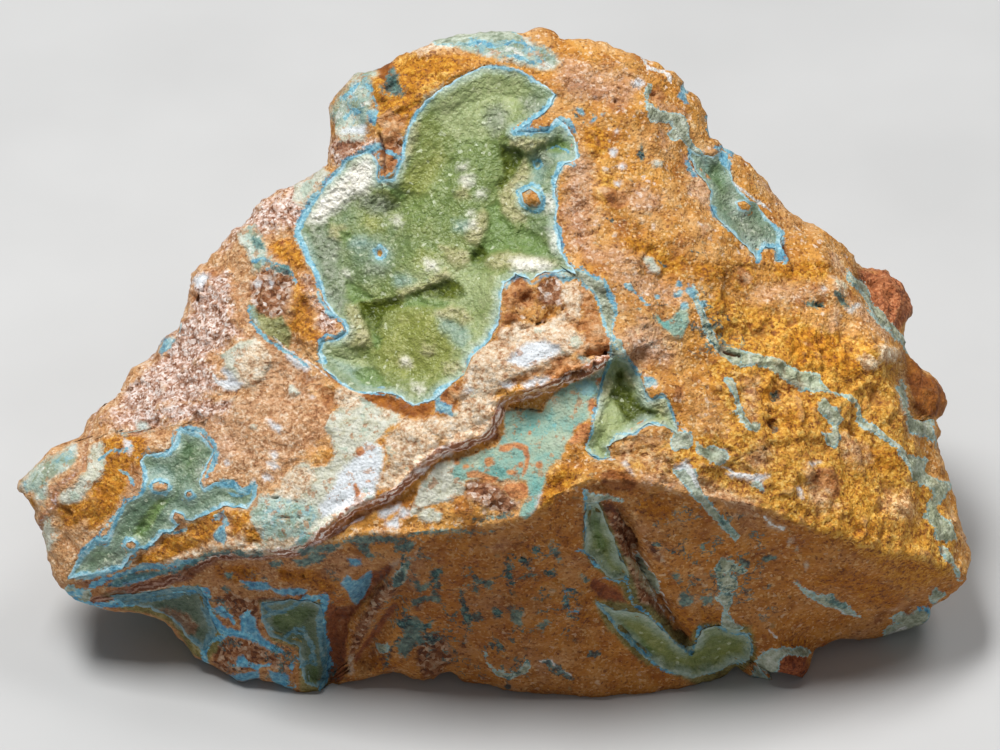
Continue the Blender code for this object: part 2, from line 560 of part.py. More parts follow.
def rock():
    bm = bmesh.new()
    bmesh.ops.create_cube(bm, size=2.0)
    bmesh.ops.subdivide_edges(bm, edges=bm.edges[:], cuts=CUTS - 1, use_grid_fill=True)
    cube = np.array([v.co[:] for v in bm.verts])
    for vert, place_mm in zip(bm.verts, stone_points(cube, ROWS_FRONT)):
        vert.co = Vector(place_mm / 1000.0)
    bmesh.ops.triangulate(bm, faces=bm.faces[:], quad_method="SHORT_EDGE")
    return bm


def inset(loop, distance):
    """The loop moved inwards by a distance, in sheet units."""
    pts = np.array(loop, float)
    before, after = np.roll(pts, 1, axis=0), np.roll(pts, -1, axis=0)
    ea = (pts - before) / np.linalg.norm(pts - before, axis=1)[:, None]
    eb = (after - pts) / np.linalg.norm(after - pts, axis=1)[:, None]
    na, nb = np.stack([-ea[:, 1], ea[:, 0]], 1), np.stack([-eb[:, 1], eb[:, 0]], 1)
    middle = na + nb
    middle /= np.maximum((middle * na).sum(axis=1), 0.55 * np.linalg.norm(middle, axis=1))[:, None]
    area = 0.5 * (pts[:, 0] * after[:, 1] - after[:, 0] * pts[:, 1]).sum()
    return pts + middle * distance * (1 if area > 0 else -1)


def draped(loop, top, bottom):
    """A closed slab over a loop of the sheet, between two depths given as functions."""
    ring = []
    for (ax, ay), (bx, by) in zip(loop, np.roll(loop, -1, axis=0)):
        parts = max(1, int(round(math.hypot(bx - ax, by - ay) / (1.4 * GRID))))
        ring += [(ax + (bx - ax) * i / parts, ay + (by - ay) * i / parts) for i in range(parts)]
    low, high = np.min(ring, axis=0), np.max(ring, axis=0)
    low = np.floor(low / GRID) * GRID
    low[1] = math.floor(low[1] / (GRID * 1.732)) * GRID * 1.732
    spots = []
    rows = int((high[1] - low[1]) / (GRID * 0.866)) + 1
    for j in range(rows):
        for i in range(int((high[0] - low[0]) / GRID) + 2):
            spots.append((low[0] + (i + 0.5 * (j % 2)) * GRID, low[1] + j * GRID * 0.866))
    spots = np.array(spots)
    spots = spots[depth_in(spots[:, 0], spots[:, 1], ring) > 0.55 * GRID]
    flat = [Vector(p) for p in ring] + [Vector(p) for p in spots]
    points, _, faces, _, _, _ = delaunay_2d_cdt(flat, [], [list(range(len(ring)))], 1, 1e-4)
    x, y = np.array([p[:] for p in points]).T
    bm = bmesh.new()
    verts = [bm.verts.new(Vector(p / 1000.0)) for p in to_world(x, y, top(x, y))]
    for face in faces:
        bm.faces.new([verts[i] for i in face])
    under = bmesh.ops.extrude_face_region(bm, geom=bm.faces[:], use_keep_orig=True)
    copies = [g for g in under["geom"] if isinstance(g, bmesh.types.BMVert)]
    low_mm = to_world(x, y, bottom(x, y)) / 1000.0
    index = {tuple(round(c, 7) for c in v.co): i for i, v in enumerate(verts)}
    for vert in copies:
        vert.co = Vector(low_mm[index[tuple(round(c, 7) for c in vert.co)]])
    bmesh.ops.triangulate(bm, faces=bm.faces[:])
    return bm


# Clefts with sharp floors: each stop is sheet x and y, half width in sheet
# units at the surface, and depth in millimetres.
CLEFTS = {
    "slit": [
        (616, 504, 2, 1.2), (626, 526, 5, 3.0), (635, 550, 6, 4.0), (645, 572, 7, 4.5), (657, 597, 6, 4.5),
        (671, 619, 5, 4.0), (684, 640, 4, 3.0), (692, 653, 2, 1.2),
    ],
    "cleft": [
        (404, 555, 3, 1.5), (384, 576, 7, 3.0), (364, 598, 10, 4.0), (350, 622, 12, 4.5), (342, 650, 10, 4.5),
        (340, 676, 8, 3.5), (339, 706, 7, 3.0),
    ],
    "crack": [(408, 576, 2, 1.0), (395, 606, 4, 2.0), (380, 636, 5, 2.4), (368, 664, 3, 1.4)],
}


def wedge(stops):
    """A V-shaped solid that follows a path of the front, open end towards the viewer."""
    stops = np.array(stops, float)
    run = np.gradient(stops[:, :2], axis=0)
    run /= np.linalg.norm(run, axis=1)[:, None]
    aside = np.stack([-run[:, 1], run[:, 0]], axis=1)
    above = 3.0
    spread = (stops[:, 2] * (stops[:, 3] + above) / stops[:, 3])[:, None]
    level = front_depth(stops[:, 0], stops[:, 1])
    bm = bmesh.new()
    rails = []
    for spots, depth in (
        (stops[:, :2] + aside * spread, level + above),
        (stops[:, :2], level - stops[:, 3]),
        (stops[:, :2] - aside * spread, level + above),
    ):
        rails.append([bm.verts.new(Vector(p / 1000.0)) for p in to_world(spots[:, 0], spots[:, 1], depth)])
    for i in range(len(stops) - 1):
        for a, b in ((0, 1), (1, 2), (2, 0)):
            bm.faces.new((rails[a][i], rails[b][i], rails[b][i + 1], rails[a][i + 1]))
    bm.faces.new([rail[0] for rail in rails])
    bm.faces.new([rail[-1] for rail in reversed(rails)])
    bmesh.ops.triangulate(bm, faces=bm.faces[:])
    return bm


def cut_from(body, cutter):
    cutter.hide_render = True
    cutter.display_type = "WIRE"
    cut = body.modifiers.new(cutter.name, "BOOLEAN")
    cut.operation = "DIFFERENCE"
    cut.solver = "EXACT"
    cut.object = cutter
    cut.show_render = cut.show_viewport = True


def main():
    clear_scene()
    scene = bpy.context.scene
    stone = bpy.data.collections.new("senegalite_with_turquoise")
    tools = bpy.data.collections.new("cutters")
    scene.collection.children.link(stone)
    scene.collection.children.link(tools)

    ochre = material("ochre_rock", (0.50, 0.27, 0.12), 0.85)
    matrix = place(rock(), "matrix", stone, ochre)

    greens = {
        "main_druse": (0.30, 0.40, 0.20), "centre_druse": (0.22, 0.33, 0.15), "left_druse": (0.27, 0.36, 0.18),
        "upper_right_druse": (0.22, 0.33, 0.15), "front_band_druse": (0.30, 0.38, 0.20),
        "lower_right_druse": (0.24, 0.32, 0.16), "lower_left_druse": (0.22, 0.24, 0.10),
        "foot_druse": (0.25, 0.32, 0.16),
    }
    for name, loop in POCKETS.items():
        thick = BOWLS[name][2]
        crust = draped(
            inset(loop, GAP_MM / UNIT_MM),
            front_depth,
            lambda x, y: front_depth(x, y) - thick,
        )
        place(crust, name, stone, material(name + "_green", greens[name], 0.35))
        cutter = place(
            draped(
                np.array(loop, float),
                lambda x, y: front_depth(x, y) + 6.0,
                lambda x, y: front_depth(x, y) - thick - 1.6 * GAP_MM,
            ),
            name + "_cutter",
            tools,
        )
        cut_from(matrix, cutter)
    for name, stops in CLEFTS.items():
        cut_from(matrix, place(wedge(stops), name + "_cutter", tools))


main()
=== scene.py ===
"""A broken piece of veined ochre rock with turquoise and pockets of green senegalite crystals."""

import math

import bmesh
import bpy
import numpy as np
from mathutils import Matrix, Vector
from mathutils.geometry import delaunay_2d_cdt


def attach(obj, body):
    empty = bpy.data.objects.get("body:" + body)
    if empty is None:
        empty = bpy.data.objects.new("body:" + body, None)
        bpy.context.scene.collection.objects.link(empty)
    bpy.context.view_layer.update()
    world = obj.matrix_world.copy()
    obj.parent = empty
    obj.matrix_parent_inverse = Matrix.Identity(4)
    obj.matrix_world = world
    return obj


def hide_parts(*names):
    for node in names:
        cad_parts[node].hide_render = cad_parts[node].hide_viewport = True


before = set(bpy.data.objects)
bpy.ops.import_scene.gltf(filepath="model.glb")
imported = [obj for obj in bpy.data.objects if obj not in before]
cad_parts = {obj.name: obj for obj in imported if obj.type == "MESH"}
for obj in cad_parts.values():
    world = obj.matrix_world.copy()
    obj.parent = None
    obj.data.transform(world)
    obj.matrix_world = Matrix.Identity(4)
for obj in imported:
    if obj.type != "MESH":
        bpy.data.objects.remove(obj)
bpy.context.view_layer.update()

# ---------------------------------------------------------------------------
# Driving dimensions.  The stone is laid out on a sheet that faces its front:
# one sheet unit is UNIT_MM, x runs right and y runs down, and depth is in
# millimetres towards the viewer of the sheet.  The sheet leans back by TILT.
# ---------------------------------------------------------------------------
UNIT_MM = 0.105            # one sheet unit
TILT = math.radians(40.0)  # lean of the sheet's normal above the horizon
REACH = 450.0              # sheet lines converge at this distance, in mm
MID = 8.0                  # depth at which one unit is exactly UNIT_MM
CENTRE = (500.0, 375.0)    # sheet point on the line of convergence
FOOT_ROW = 695.0           # sheet row of the front foot of the stone
SHIFT_MM = (0.036, -21.952, 0.9)  # moves the stone's bounding box over the origin

SIN, COS = math.sin(TILT), math.cos(TILT)
FOOT = (FOOT_ROW - CENTRE[1]) * UNIT_MM

# Outline of the stone, clockwise from its left tip.
OUTLINE = [
    (19, 487), (27, 474), (43, 458), (52, 446), (62, 442), (79, 439), (86, 421), (98, 409), (113, 400), (121, 392),
    (125, 380), (131, 368), (146, 361), (153, 353), (157, 345), (163, 338), (174, 331), (181, 318), (185, 302), (190, 288),
    (191, 274), (198, 269), (206, 266), (210, 256), (221, 245), (232, 233), (245, 223), (254, 213), (264, 201), (277, 191),
    (296, 188), (305, 179), (320, 171), (327, 162), (329, 142), (330, 122), (331, 106), (341, 90), (354, 76), (367, 71),
    (384, 66), (398, 58), (413, 54), (427, 49), (440, 42), (457, 37), (472, 35), (500, 33), (524, 32), (536, 28),
    (553, 30), (563, 39), (585, 40), (603, 43), (632, 52), (646, 60), (657, 64), (664, 72), (674, 72), (683, 85),
    (696, 98), (705, 115), (708, 138), (722, 149), (742, 160), (754, 168), (768, 185), (785, 206), (802, 220), (824, 230),
    (834, 238), (847, 246), (857, 262), (866, 269), (885, 275), (902, 285), (909, 299), (910, 312), (904, 323), (904, 345),
    (909, 358), (918, 367), (934, 377), (944, 389), (949, 403), (943, 416), (934, 421), (938, 432), (932, 441), (938, 453),
    (947, 475), (955, 500), (962, 524), (972, 552), (966, 580), (950, 596), (930, 606), (929, 618), (906, 629), (872, 638),
    (832, 641), (814, 649), (809, 666), (802, 678), (774, 684), (764, 673), (757, 664), (736, 665), (724, 675), (690, 687),
    (640, 696), (600, 699), (560, 695), (515, 691), (490, 683), (464, 680), (452, 671), (442, 672), (434, 679), (412, 678),
    (400, 673), (380, 674), (358, 680), (345, 683), (331, 689), (322, 697), (298, 694), (276, 684), (258, 678), (240, 680),
    (222, 669), (196, 657), (180, 640), (166, 623), (140, 614), (104, 609), (80, 601), (62, 588), (53, 574), (47, 549),
    (40, 528), (31, 507),
]

# Depth of the stone's front along its outline: (x, y, depth).
RIM_DEPTHS = [
    (19, 487, 3.6), (52, 446, 2.9), (86, 421, 2.7), (121, 392, 2.4), (163, 338, 2.2), (191, 274, 1.9), (254, 213, 2.4),
    (305, 179, 3.6), (329, 142, 4.4), (341, 90, 3.8), (398, 58, 5.6), (457, 37, 6.1), (536, 28, 7.0), (603, 43, 6.8),
    (664, 72, 5.2), (705, 115, 4.0), (742, 160, 3.0), (785, 206, 1.6), (834, 238, 0.4), (866, 269, -2.6), (909, 299, -6.2),
    (904, 335, -3.2), (918, 367, -4.6), (949, 403, -6.0), (932, 441, -1.8), (955, 500, -1.3), (972, 552, -1.6),
    (950, 596, -1.8), (906, 629, -5.4), (814, 649, -2.4), (802, 678, -1.4), (736, 665, -0.8), (690, 687, -0.4),
    (600, 699, 0.0), (515, 691, 0.4), (452, 671, 1.2), (400, 673, 1.0), (345, 683, 0.2), (298, 694, -0.2),
    (240, 680, -0.6), (196, 657, -1.0), (140, 614, -0.4), (80, 601, 1.4), (47, 549, 3.2),
]

# The edge between the stone's upper face and its undercut front: (x, y, depth).
BROW = [
    (64, 580, 4.2), (120, 570, 6.8), (200, 557, 9.9), (262, 552, 12.4), (300, 551, 14.0), (350, 536, 16.8), (420, 532, 18.5),
    (500, 523, 19.4), (532, 513, 20.2), (552, 497, 20.6), (590, 479, 21.2), (640, 480, 20.6), (700, 496, 19.4),
    (760, 507, 17.6), (805, 524, 15.2), (848, 536, 12.6), (880, 551, 10.2), (925, 558, 6.2), (952, 572, 2.6),
]

# Points of the upper face and of the front below the brow: (x, y, depth).
FACE = [
    (560, 58, 8.4), (610, 66, 8.4), (655, 96, 7.2), (500, 52, 8.2), (450, 62, 8.2), (405, 84, 7.6), (366, 102, 6.6),
    (350, 150, 6.4), (330, 190, 6.2), (400, 150, 9.0), (470, 120, 10.6), (540, 90, 9.8), (590, 110, 10.2), (600, 180, 12.4),
    (590, 240, 14.6), (610, 300, 16.4), (618, 350, 18.4), (520, 200, 13.4), (440, 220, 12.4), (380, 250, 10.8),
    (500, 300, 17.2), (480, 380, 18.8), (430, 340, 16.0), (360, 320, 12.2), (300, 225, 6.0), (290, 290, 8.2),
    (320, 350, 11.2), (350, 390, 13.6), (400, 408, 16.0), (445, 414, 18.2), (250, 255, 5.4), (240, 310, 6.8),
    (215, 290, 4.6), (200, 340, 5.4), (180, 380, 6.0), (240, 380, 9.2), (290, 400, 11.6), (140, 410, 5.4), (110, 440, 5.8),
    (160, 450, 8.2), (220, 450, 10.2), (300, 460, 13.8), (370, 450, 16.8), (430, 460, 18.4), (330, 500, 15.6),
    (70, 462, 4.8), (44, 490, 5.0), (62, 530, 5.4), (100, 510, 7.6), (150, 530, 9.0), (210, 520, 11.2), (270, 520, 13.6),
    (90, 560, 6.2), (400, 500, 17.8), (460, 490, 18.6), (520, 440, 18.0), (560, 420, 18.2), (590, 400, 18.6),
    (540, 480, 19.6), (600, 440, 19.6), (650, 130, 9.2), (700, 160, 6.2), (690, 210, 9.8), (650, 230, 13.2),
    (740, 210, 6.0), (760, 260, 8.0), (700, 290, 13.0), (800, 240, 3.6), (815, 290, 6.2), (845, 290, 4.4), (850, 340, 6.2),
    (885, 350, 3.8), (790, 340, 10.4), (660, 320, 16.2), (700, 370, 15.8), (640, 400, 18.8), (700, 430, 18.2),
    (760, 400, 14.0), (820, 400, 10.4), (870, 400, 6.6), (890, 400, 4.8), (760, 460, 16.6), (820, 470, 13.4),
    (880, 470, 8.8), (915, 450, 4.2), (925, 500, 4.2), (945, 540, 2.6), (870, 520, 11.2),
    (330, 566, 12.6), (400, 560, 15.0), (470, 560, 15.6), (420, 610, 8.8), (400, 655, 3.0), (345, 640, 3.8), (300, 600, 8.8),
    (250, 590, 7.8), (290, 650, 2.6), (240, 640, 2.6), (200, 600, 4.8), (210, 645, -0.2), (150, 596, 2.8), (110, 594, 3.4),
    (520, 620, 8.8), (520, 665, 3.4), (560, 560, 14.6), (600, 520, 18.0), (600, 600, 10.4), (600, 660, 3.4),
    (650, 540, 15.8), (670, 600, 8.8), (680, 660, 2.2), (720, 540, 14.8), (740, 600, 7.4), (745, 650, 1.4),
    (790, 560, 10.8), (800, 610, 3.8), (840, 580, 8.8), (880, 590, 4.6), (850, 620, -0.8), (920, 585, 2.2), (780, 665, 0.4),
]

# Half-spaces that bound the stone's unseen back, sides and underside, in the
# frame of its front foot: outward normal and distance, in millimetres.
BACK_PLANES = [
    ((0.04, 0.9996, 0.0), 46.0),
    ((0.05, 0.943, 0.33), 56.3),
    ((-0.60, 0.80, 0.0), 39.6),
    ((-0.36, 0.87, 0.33), 53.0),
    ((0.48, 0.84, 0.25), 57.5),
    ((0.66, 0.75, -0.05), 51.0),
    ((0.86, 0.28, -0.42), 37.0),
    ((0.72, 0.10, -0.69), 29.0),
    ((-0.46, 0.10, -0.88), 13.4),
    ((-0.80, 0.35, -0.48), 33.4),
    ((0.10, 0.62, -0.78), 25.0),
    ((0.0, 0.0, -1.0), 0.9),
]


def to_world(x, y, depth):
    """Sheet point and depth to row-frame millimetres."""
    k = 1.0 - (depth - MID) / REACH
    across = (x - CENTRE[0]) * UNIT_MM * k
    up = (CENTRE[1] - y) * UNIT_MM * k + FOOT
    return np.stack(
        [
            across + SHIFT_MM[0],
            SIN * up - COS * depth + SHIFT_MM[1],
            COS * up + SIN * depth + SHIFT_MM[2],
        ],
        axis=-1,
    )


def lattice(ix, iy, iz, seed):
    """A repeatable whole number for each lattice corner."""
    h = (
        ix.astype(np.uint32) * np.uint32(374761393)
        + iy.astype(np.uint32) * np.uint32(668265263)
        + iz.astype(np.uint32) * np.uint32(2246822519)
        + np.uint32((seed * 3266489917) & 0xFFFFFFFF)
    )
    h = (h ^ (h >> np.uint32(15))) * np.uint32(2246822519)
    h = (h ^ (h >> np.uint32(13))) * np.uint32(3266489917)
    return h ^ (h >> np.uint32(16))


def noise(points, scale, seed=0):
    """Smooth gradient noise in about -1 to 1 whose grains are `scale` across."""
    p = np.asarray(points, float) / scale + 1000.0
    cell = np.floor(p)
    f = p - cell
    c = cell.astype(np.int64)
    w = f * f * f * (f * (f * 6 - 15) + 10)
    total = np.zeros(p.shape[0])
    for dx in (0, 1):
        for dy in (0, 1):
            for dz in (0, 1):
                h = lattice(c[:, 0] + dx, c[:, 1] + dy, c[:, 2] + dz, seed)
                gx = (h & np.uint32(1023)).astype(float) / 511.5 - 1.0
                gy = ((h >> np.uint32(10)) & np.uint32(1023)).astype(float) / 511.5 - 1.0
                gz = ((h >> np.uint32(20)) & np.uint32(1023)).astype(float) / 511.5 - 1.0
                dot = gx * (f[:, 0] - dx) + gy * (f[:, 1] - dy) + gz * (f[:, 2] - dz)
                wx = w[:, 0] if dx else 1 - w[:, 0]
                wy = w[:, 1] if dy else 1 - w[:, 1]
                wz = w[:, 2] if dz else 1 - w[:, 2]
                total += wx * wy * wz * dot
    return total * 1.35


def fractal(points, scale, octaves, seed=0, gain=0.5):
    total, amplitude = np.zeros(len(points)), 1.0
    for octave in range(octaves):
        total += amplitude * noise(points, scale / 2**octave, seed + 17 * octave)
        amplitude *= gain
    return total


def sheet_noise(x, y, scale, octaves, seed):
    return fractal(np.stack([x, y, np.full_like(x, 3.3)], axis=-1), scale, octaves, seed)


def smooth(a, b, t):
    t = np.clip((t - a) / (b - a), 0, 1)
    return t * t * (3 - 2 * t)


def path_distance(x, y, path, closed=False):
    """Distance to a sheet path, signed positive on the right of its run, and the share of the run at the nearest point."""
    pts = np.array([p[:2] for p in path], float)
    if closed:
        pts = np.vstack([pts, pts[:1]])
    best = np.full(x.shape, 1e18)
    side = np.ones(x.shape)
    share = np.zeros(x.shape)
    steps = np.hypot(*(pts[1:] - pts[:-1]).T)
    run, whole = 0.0, max(steps.sum(), 1e-9)
    for (ax, ay), (bx, by), step in zip(pts[:-1], pts[1:], steps):
        ex, ey = bx - ax, by - ay
        t = np.clip(((x - ax) * ex + (y - ay) * ey) / max(ex * ex + ey * ey, 1e-9), 0, 1)
        ox, oy = x - ax - t * ex, y - ay - t * ey
        d2 = ox * ox + oy * oy
        near = d2 < best
        cross = ex * (y - ay) - ey * (x - ax)
        best = np.where(near, d2, best)
        side = np.where(near, np.where(cross >= 0, 1.0, -1.0), side)
        share = np.where(near, (run + t * step) / whole, share)
        run += step
    return np.sqrt(best), side, share


def inside(x, y, loop):
    """Whether each sheet point is inside a closed loop."""
    found = np.zeros(x.shape, bool)
    pts = np.array([p[:2] for p in loop], float)
    for (ax, ay), (bx, by) in zip(pts, np.roll(pts, -1, axis=0)):
        if ay == by:
            continue
        hit = (ay > y) != (by > y)
        found ^= hit & (x < (bx - ax) * (y - ay) / (by - ay) + ax)
    return found


def depth_in(x, y, loop):
    """Distance from a closed loop, positive inside it."""
    d, _, _ = path_distance(x, y, loop, closed=True)
    return np.where(inside(x, y, loop), d, -d)


# Pocket outlines: each is lined with one crust of intergrown green crystals.
POCKETS = {
    "main_druse": [
        (487, 65), (507, 67), (520, 70), (530, 75), (545, 86), (555, 95), (552, 105), (540, 114), (527, 124), (517, 131),
        (531, 133), (547, 130), (557, 118), (567, 126), (575, 138), (578, 158), (565, 165), (557, 175), (556, 188),
        (557, 208), (555, 222), (560, 234), (561, 250), (567, 261), (577, 273), (562, 272), (545, 273), (530, 280),
        (515, 274), (504, 284), (501, 300), (499, 325), (490, 340), (472, 357), (465, 375), (448, 388), (434, 400),
        (413, 406), (400, 398), (382, 392), (366, 395), (350, 390), (334, 378), (323, 367), (318, 355), (323, 342),
        (338, 339), (347, 332), (344, 321), (333, 313), (325, 303), (318, 280), (307, 262), (300, 243), (295, 232),
        (303, 215), (320, 193), (332, 176), (350, 158), (370, 150), (378, 163), (380, 181), (393, 178), (402, 157),
        (403, 143), (412, 118), (425, 100), (443, 88), (462, 76),
    ],
    "centre_druse": [
        (615, 354), (628, 362), (640, 376), (645, 388), (651, 400), (661, 394), (669, 401), (675, 418), (678, 434),
        (664, 426), (648, 425), (632, 434), (616, 440), (607, 447), (611, 457), (598, 459), (585, 450), (590, 436),
        (595, 420), (597, 400), (602, 380), (607, 362),
    ],
    "left_druse": [
        (180, 429), (195, 431), (206, 439), (215, 453), (209, 464), (200, 480), (203, 488), (220, 481), (234, 480),
        (240, 490), (250, 485), (257, 484), (256, 497), (247, 510), (226, 507), (208, 513), (192, 520), (183, 520),
        (174, 533), (162, 532), (153, 545), (138, 550), (122, 568), (100, 574), (68, 579), (80, 556), (92, 541),
        (106, 539), (115, 519), (124, 503), (139, 496), (146, 479), (140, 462), (147, 454), (167, 451), (174, 441),
    ],
    "upper_right_druse": [
        (688, 148), (700, 155), (712, 157), (722, 150), (728, 155), (728, 166), (732, 180), (741, 193), (753, 203),
        (766, 214), (771, 223), (782, 234), (780, 243), (783, 261), (776, 261), (774, 249), (765, 245), (757, 261),
        (743, 243), (727, 228), (715, 217), (711, 205), (711, 190), (704, 180), (695, 171), (690, 160),
    ],
    "front_band_druse": [
        (586, 503), (598, 503), (605, 520), (612, 535), (618, 550), (625, 565), (630, 577), (612, 580), (603, 573),
        (597, 560), (585, 552), (584, 528),
    ],
    "lower_right_druse": [
        (595, 602), (606, 616), (618, 630), (632, 645), (652, 662), (672, 672), (692, 677), (712, 673), (730, 664),
        (750, 660), (753, 648), (748, 634), (735, 630), (718, 625), (703, 629), (697, 644), (686, 648), (673, 640),
        (660, 628), (648, 616), (630, 611), (612, 609),
    ],
    "lower_left_druse": [
        (110, 595), (140, 593), (170, 588), (198, 586), (206, 598), (210, 615), (218, 630), (210, 641), (203, 651),
        (192, 642), (182, 629), (170, 616), (150, 608), (125, 604),
    ],
    "foot_druse": [
        (262, 604), (285, 600), (310, 600), (321, 606), (325, 630), (327, 655), (326, 678), (317, 688), (306, 684),
        (301, 665), (299, 648), (288, 641), (271, 636), (262, 622),
    ],
}

# How far each pocket sinks below the rock about it, and over what width, in
# millimetres and sheet units, and how thick its crust is.
BOWLS = {
    "main_druse": (2.1, 34.0, 1.4),
    "centre_druse": (2.0, 16.0, 1.0),
    "left_druse": (1.5, 14.0, 1.0),
    "upper_right_druse": (1.6, 12.0, 1.0),
    "front_band_druse": (0.9, 10.0, 1.0),
    "lower_right_druse": (1.1, 14.0, 1.0),
    "lower_left_druse": (0.5, 12.0, 1.0),
    "foot_druse": (0.5, 12.0, 1.0),
}

# Grooves, steps and mounds: path or centre, then half width or radii in sheet
# units, then height in millimetres (negative when sunk).
GROOVES = [
    ([(510, 142), (513, 160), (508, 178), (503, 195), (499, 215), (494, 235), (478, 254)], 13, -1.7),
    ([(530, 210), (525, 230), (512, 248)], 20, -0.9),
    ([(350, 303), (366, 307), (380, 309), (400, 302), (420, 299), (440, 290), (457, 279)], 9, -1.5),
    ([(352, 305), (362, 316), (370, 330), (376, 343)], 8, -1.1),
    ([(604, 402), (618, 375), (630, 388), (642, 405), (652, 418)], 10, -1.0),
    ([(620, 508), (628, 530), (636, 552), (645, 572), (656, 596), (670, 618), (684, 640), (692, 652)], 7, -2.6),
    ([(328, 694), (332, 665), (334, 635), (345, 612), (366, 592), (388, 566)], 11, -2.6),
    ([(408, 580), (392, 610), (374, 642), (362, 672)], 9, -1.4),
    ([(585, 356), (600, 354), (612, 352)], 5, -1.1),
    ([(740, 505), (748, 520), (752, 545), (760, 565)], 7, -0.7),
    ([(858, 268), (868, 297), (878, 316), (890, 334), (900, 350), (902, 372), (906, 396), (916, 414), (930, 424)], 6, -1.6),
    ([(505, 324), (520, 330), (540, 326), (556, 308)], 6, -0.5),
]
STEPS = [
    ([(606, 362), (575, 375), (550, 388), (520, 396), (502, 402), (497, 425), (480, 441), (455, 447), (428, 462),
      (408, 482), (393, 496), (365, 505), (342, 520), (318, 537), (290, 551), (262, 554)], 5, 60, 1.5),
    ([(846, 246), (858, 270), (868, 297), (878, 316), (890, 334), (900, 350), (902, 372), (906, 396), (916, 414),
      (930, 424)], 6, 40, 1.4),
    ([(578, 276), (606, 292), (614, 318), (613, 342)], 5, 26, -0.6),
    ([(338, 92), (360, 118), (378, 150), (382, 182)], 5, 30, -0.7),
    ([(118, 396), (150, 372), (176, 342), (196, 300)], 5, 30, -0.7),
]
MOUNDS = [
    (531, 199, 13, 13, 1.6), (392, 88, 17, 17, 0.8), (392, 88, 8, 8, -1.1), (272, 306, 34, 42, 0.8),
    (380, 255, 6, 6, -0.8), (538, 165, 6, 6, -0.9), (527, 299, 5, 5, -0.9), (608, 592, 22, 26, -1.5),
    (609, 428, 16, 16, 1.0), (158, 488, 13, 9, 0.9), (190, 494, 9, 9, 0.7), (131, 545, 9, 9, 0.7), (178, 517, 7, 6, 0.6),
    (818, 306, 6, 6, -0.8), (776, 397, 6, 6, -0.8), (773, 426, 5, 5, -0.7), (743, 206, 9, 9, 0.7),
    (247, 364, 24, 26, 0.7), (340, 210, 40, 60, 0.9), (430, 150, 30, 40, 0.6), (440, 330, 44, 26, 0.7),
    (410, 250, 40, 34, 0.7), (883, 306, 26, 38, 1.0), (925, 392, 24, 30, 1.0), (60, 470, 30, 20, 0.5),
    (790, 668, 24, 20, 0.9), (430, 430, 36, 22, 0.5), (300, 440, 40, 30, 0.6), (700, 250, 40, 30, 0.8),
    (760, 300, 34, 26, -0.6), (660, 370, 30, 20, -0.5), (810, 430, 44, 30, 0.7), (720, 330, 30, 22, -0.6),
    (545, 420, 26, 20, -0.7), (620, 250, 26, 40, 0.6), (590, 200, 12, 30, -0.5),
]

STAR = (480.0, 380.0)      # every sheet ray from here meets the outline once
SPREAD = (475.0, 335.0)    # half width and half height of the sheet about it
INNER = (0.0, 22.0, 21.0)  # a point well inside the stone, from its front foot
POLE = (0.0, 0.80, -0.60)  # direction of the middle of the back


def spline_fit(points, softness):
    """Weights of a smooth sheet through (x, y, depth) points."""
    p = np.array(points, float)
    r = np.hypot(p[:, None, 0] - p[None, :, 0], p[:, None, 1] - p[None, :, 1])
    kernel = np.sqrt(r * r + softness * softness)
    flat = np.stack([np.ones(len(p)), p[:, 0], p[:, 1]], axis=1)
    system = np.block([[kernel, flat], [flat.T, np.zeros((3, 3))]])
    solved = np.linalg.solve(system, np.concatenate([p[:, 2], np.zeros(3)]))
    return p, solved, softness


def spline_at(fit, x, y):
    p, solved, softness = fit
    total = solved[-3] + solved[-2] * x + solved[-1] * y
    for (px, py, _), weight in zip(p, solved[:-3]):
        total = total + weight * np.sqrt((x - px) ** 2 + (y - py) ** 2 + softness**2)
    return total


def above_brow(x, y):
    ends = [(-200, 600)] + [b[:2] for b in BROW] + [(1200, 590)]
    bx, by = np.array(ends, float).T
    return np.interp(x, bx, by) - y


def split_points():
    rim = np.array(RIM_DEPTHS, float)
    face = np.array(FACE, float)
    brow = np.array(BROW, float)
    rim_above = above_brow(rim[:, 0], rim[:, 1]) > 0
    face_above = above_brow(face[:, 0], face[:, 1]) > 0
    upper = np.vstack([rim[rim_above], face[face_above], brow])
    lower = np.vstack([rim[~rim_above], face[~face_above], brow])
    return upper, lower


UPPER_POINTS, LOWER_POINTS = split_points()
UPPER_FIT = spline_fit(UPPER_POINTS, 10.0)
LOWER_FIT = spline_fit(LOWER_POINTS, 10.0)


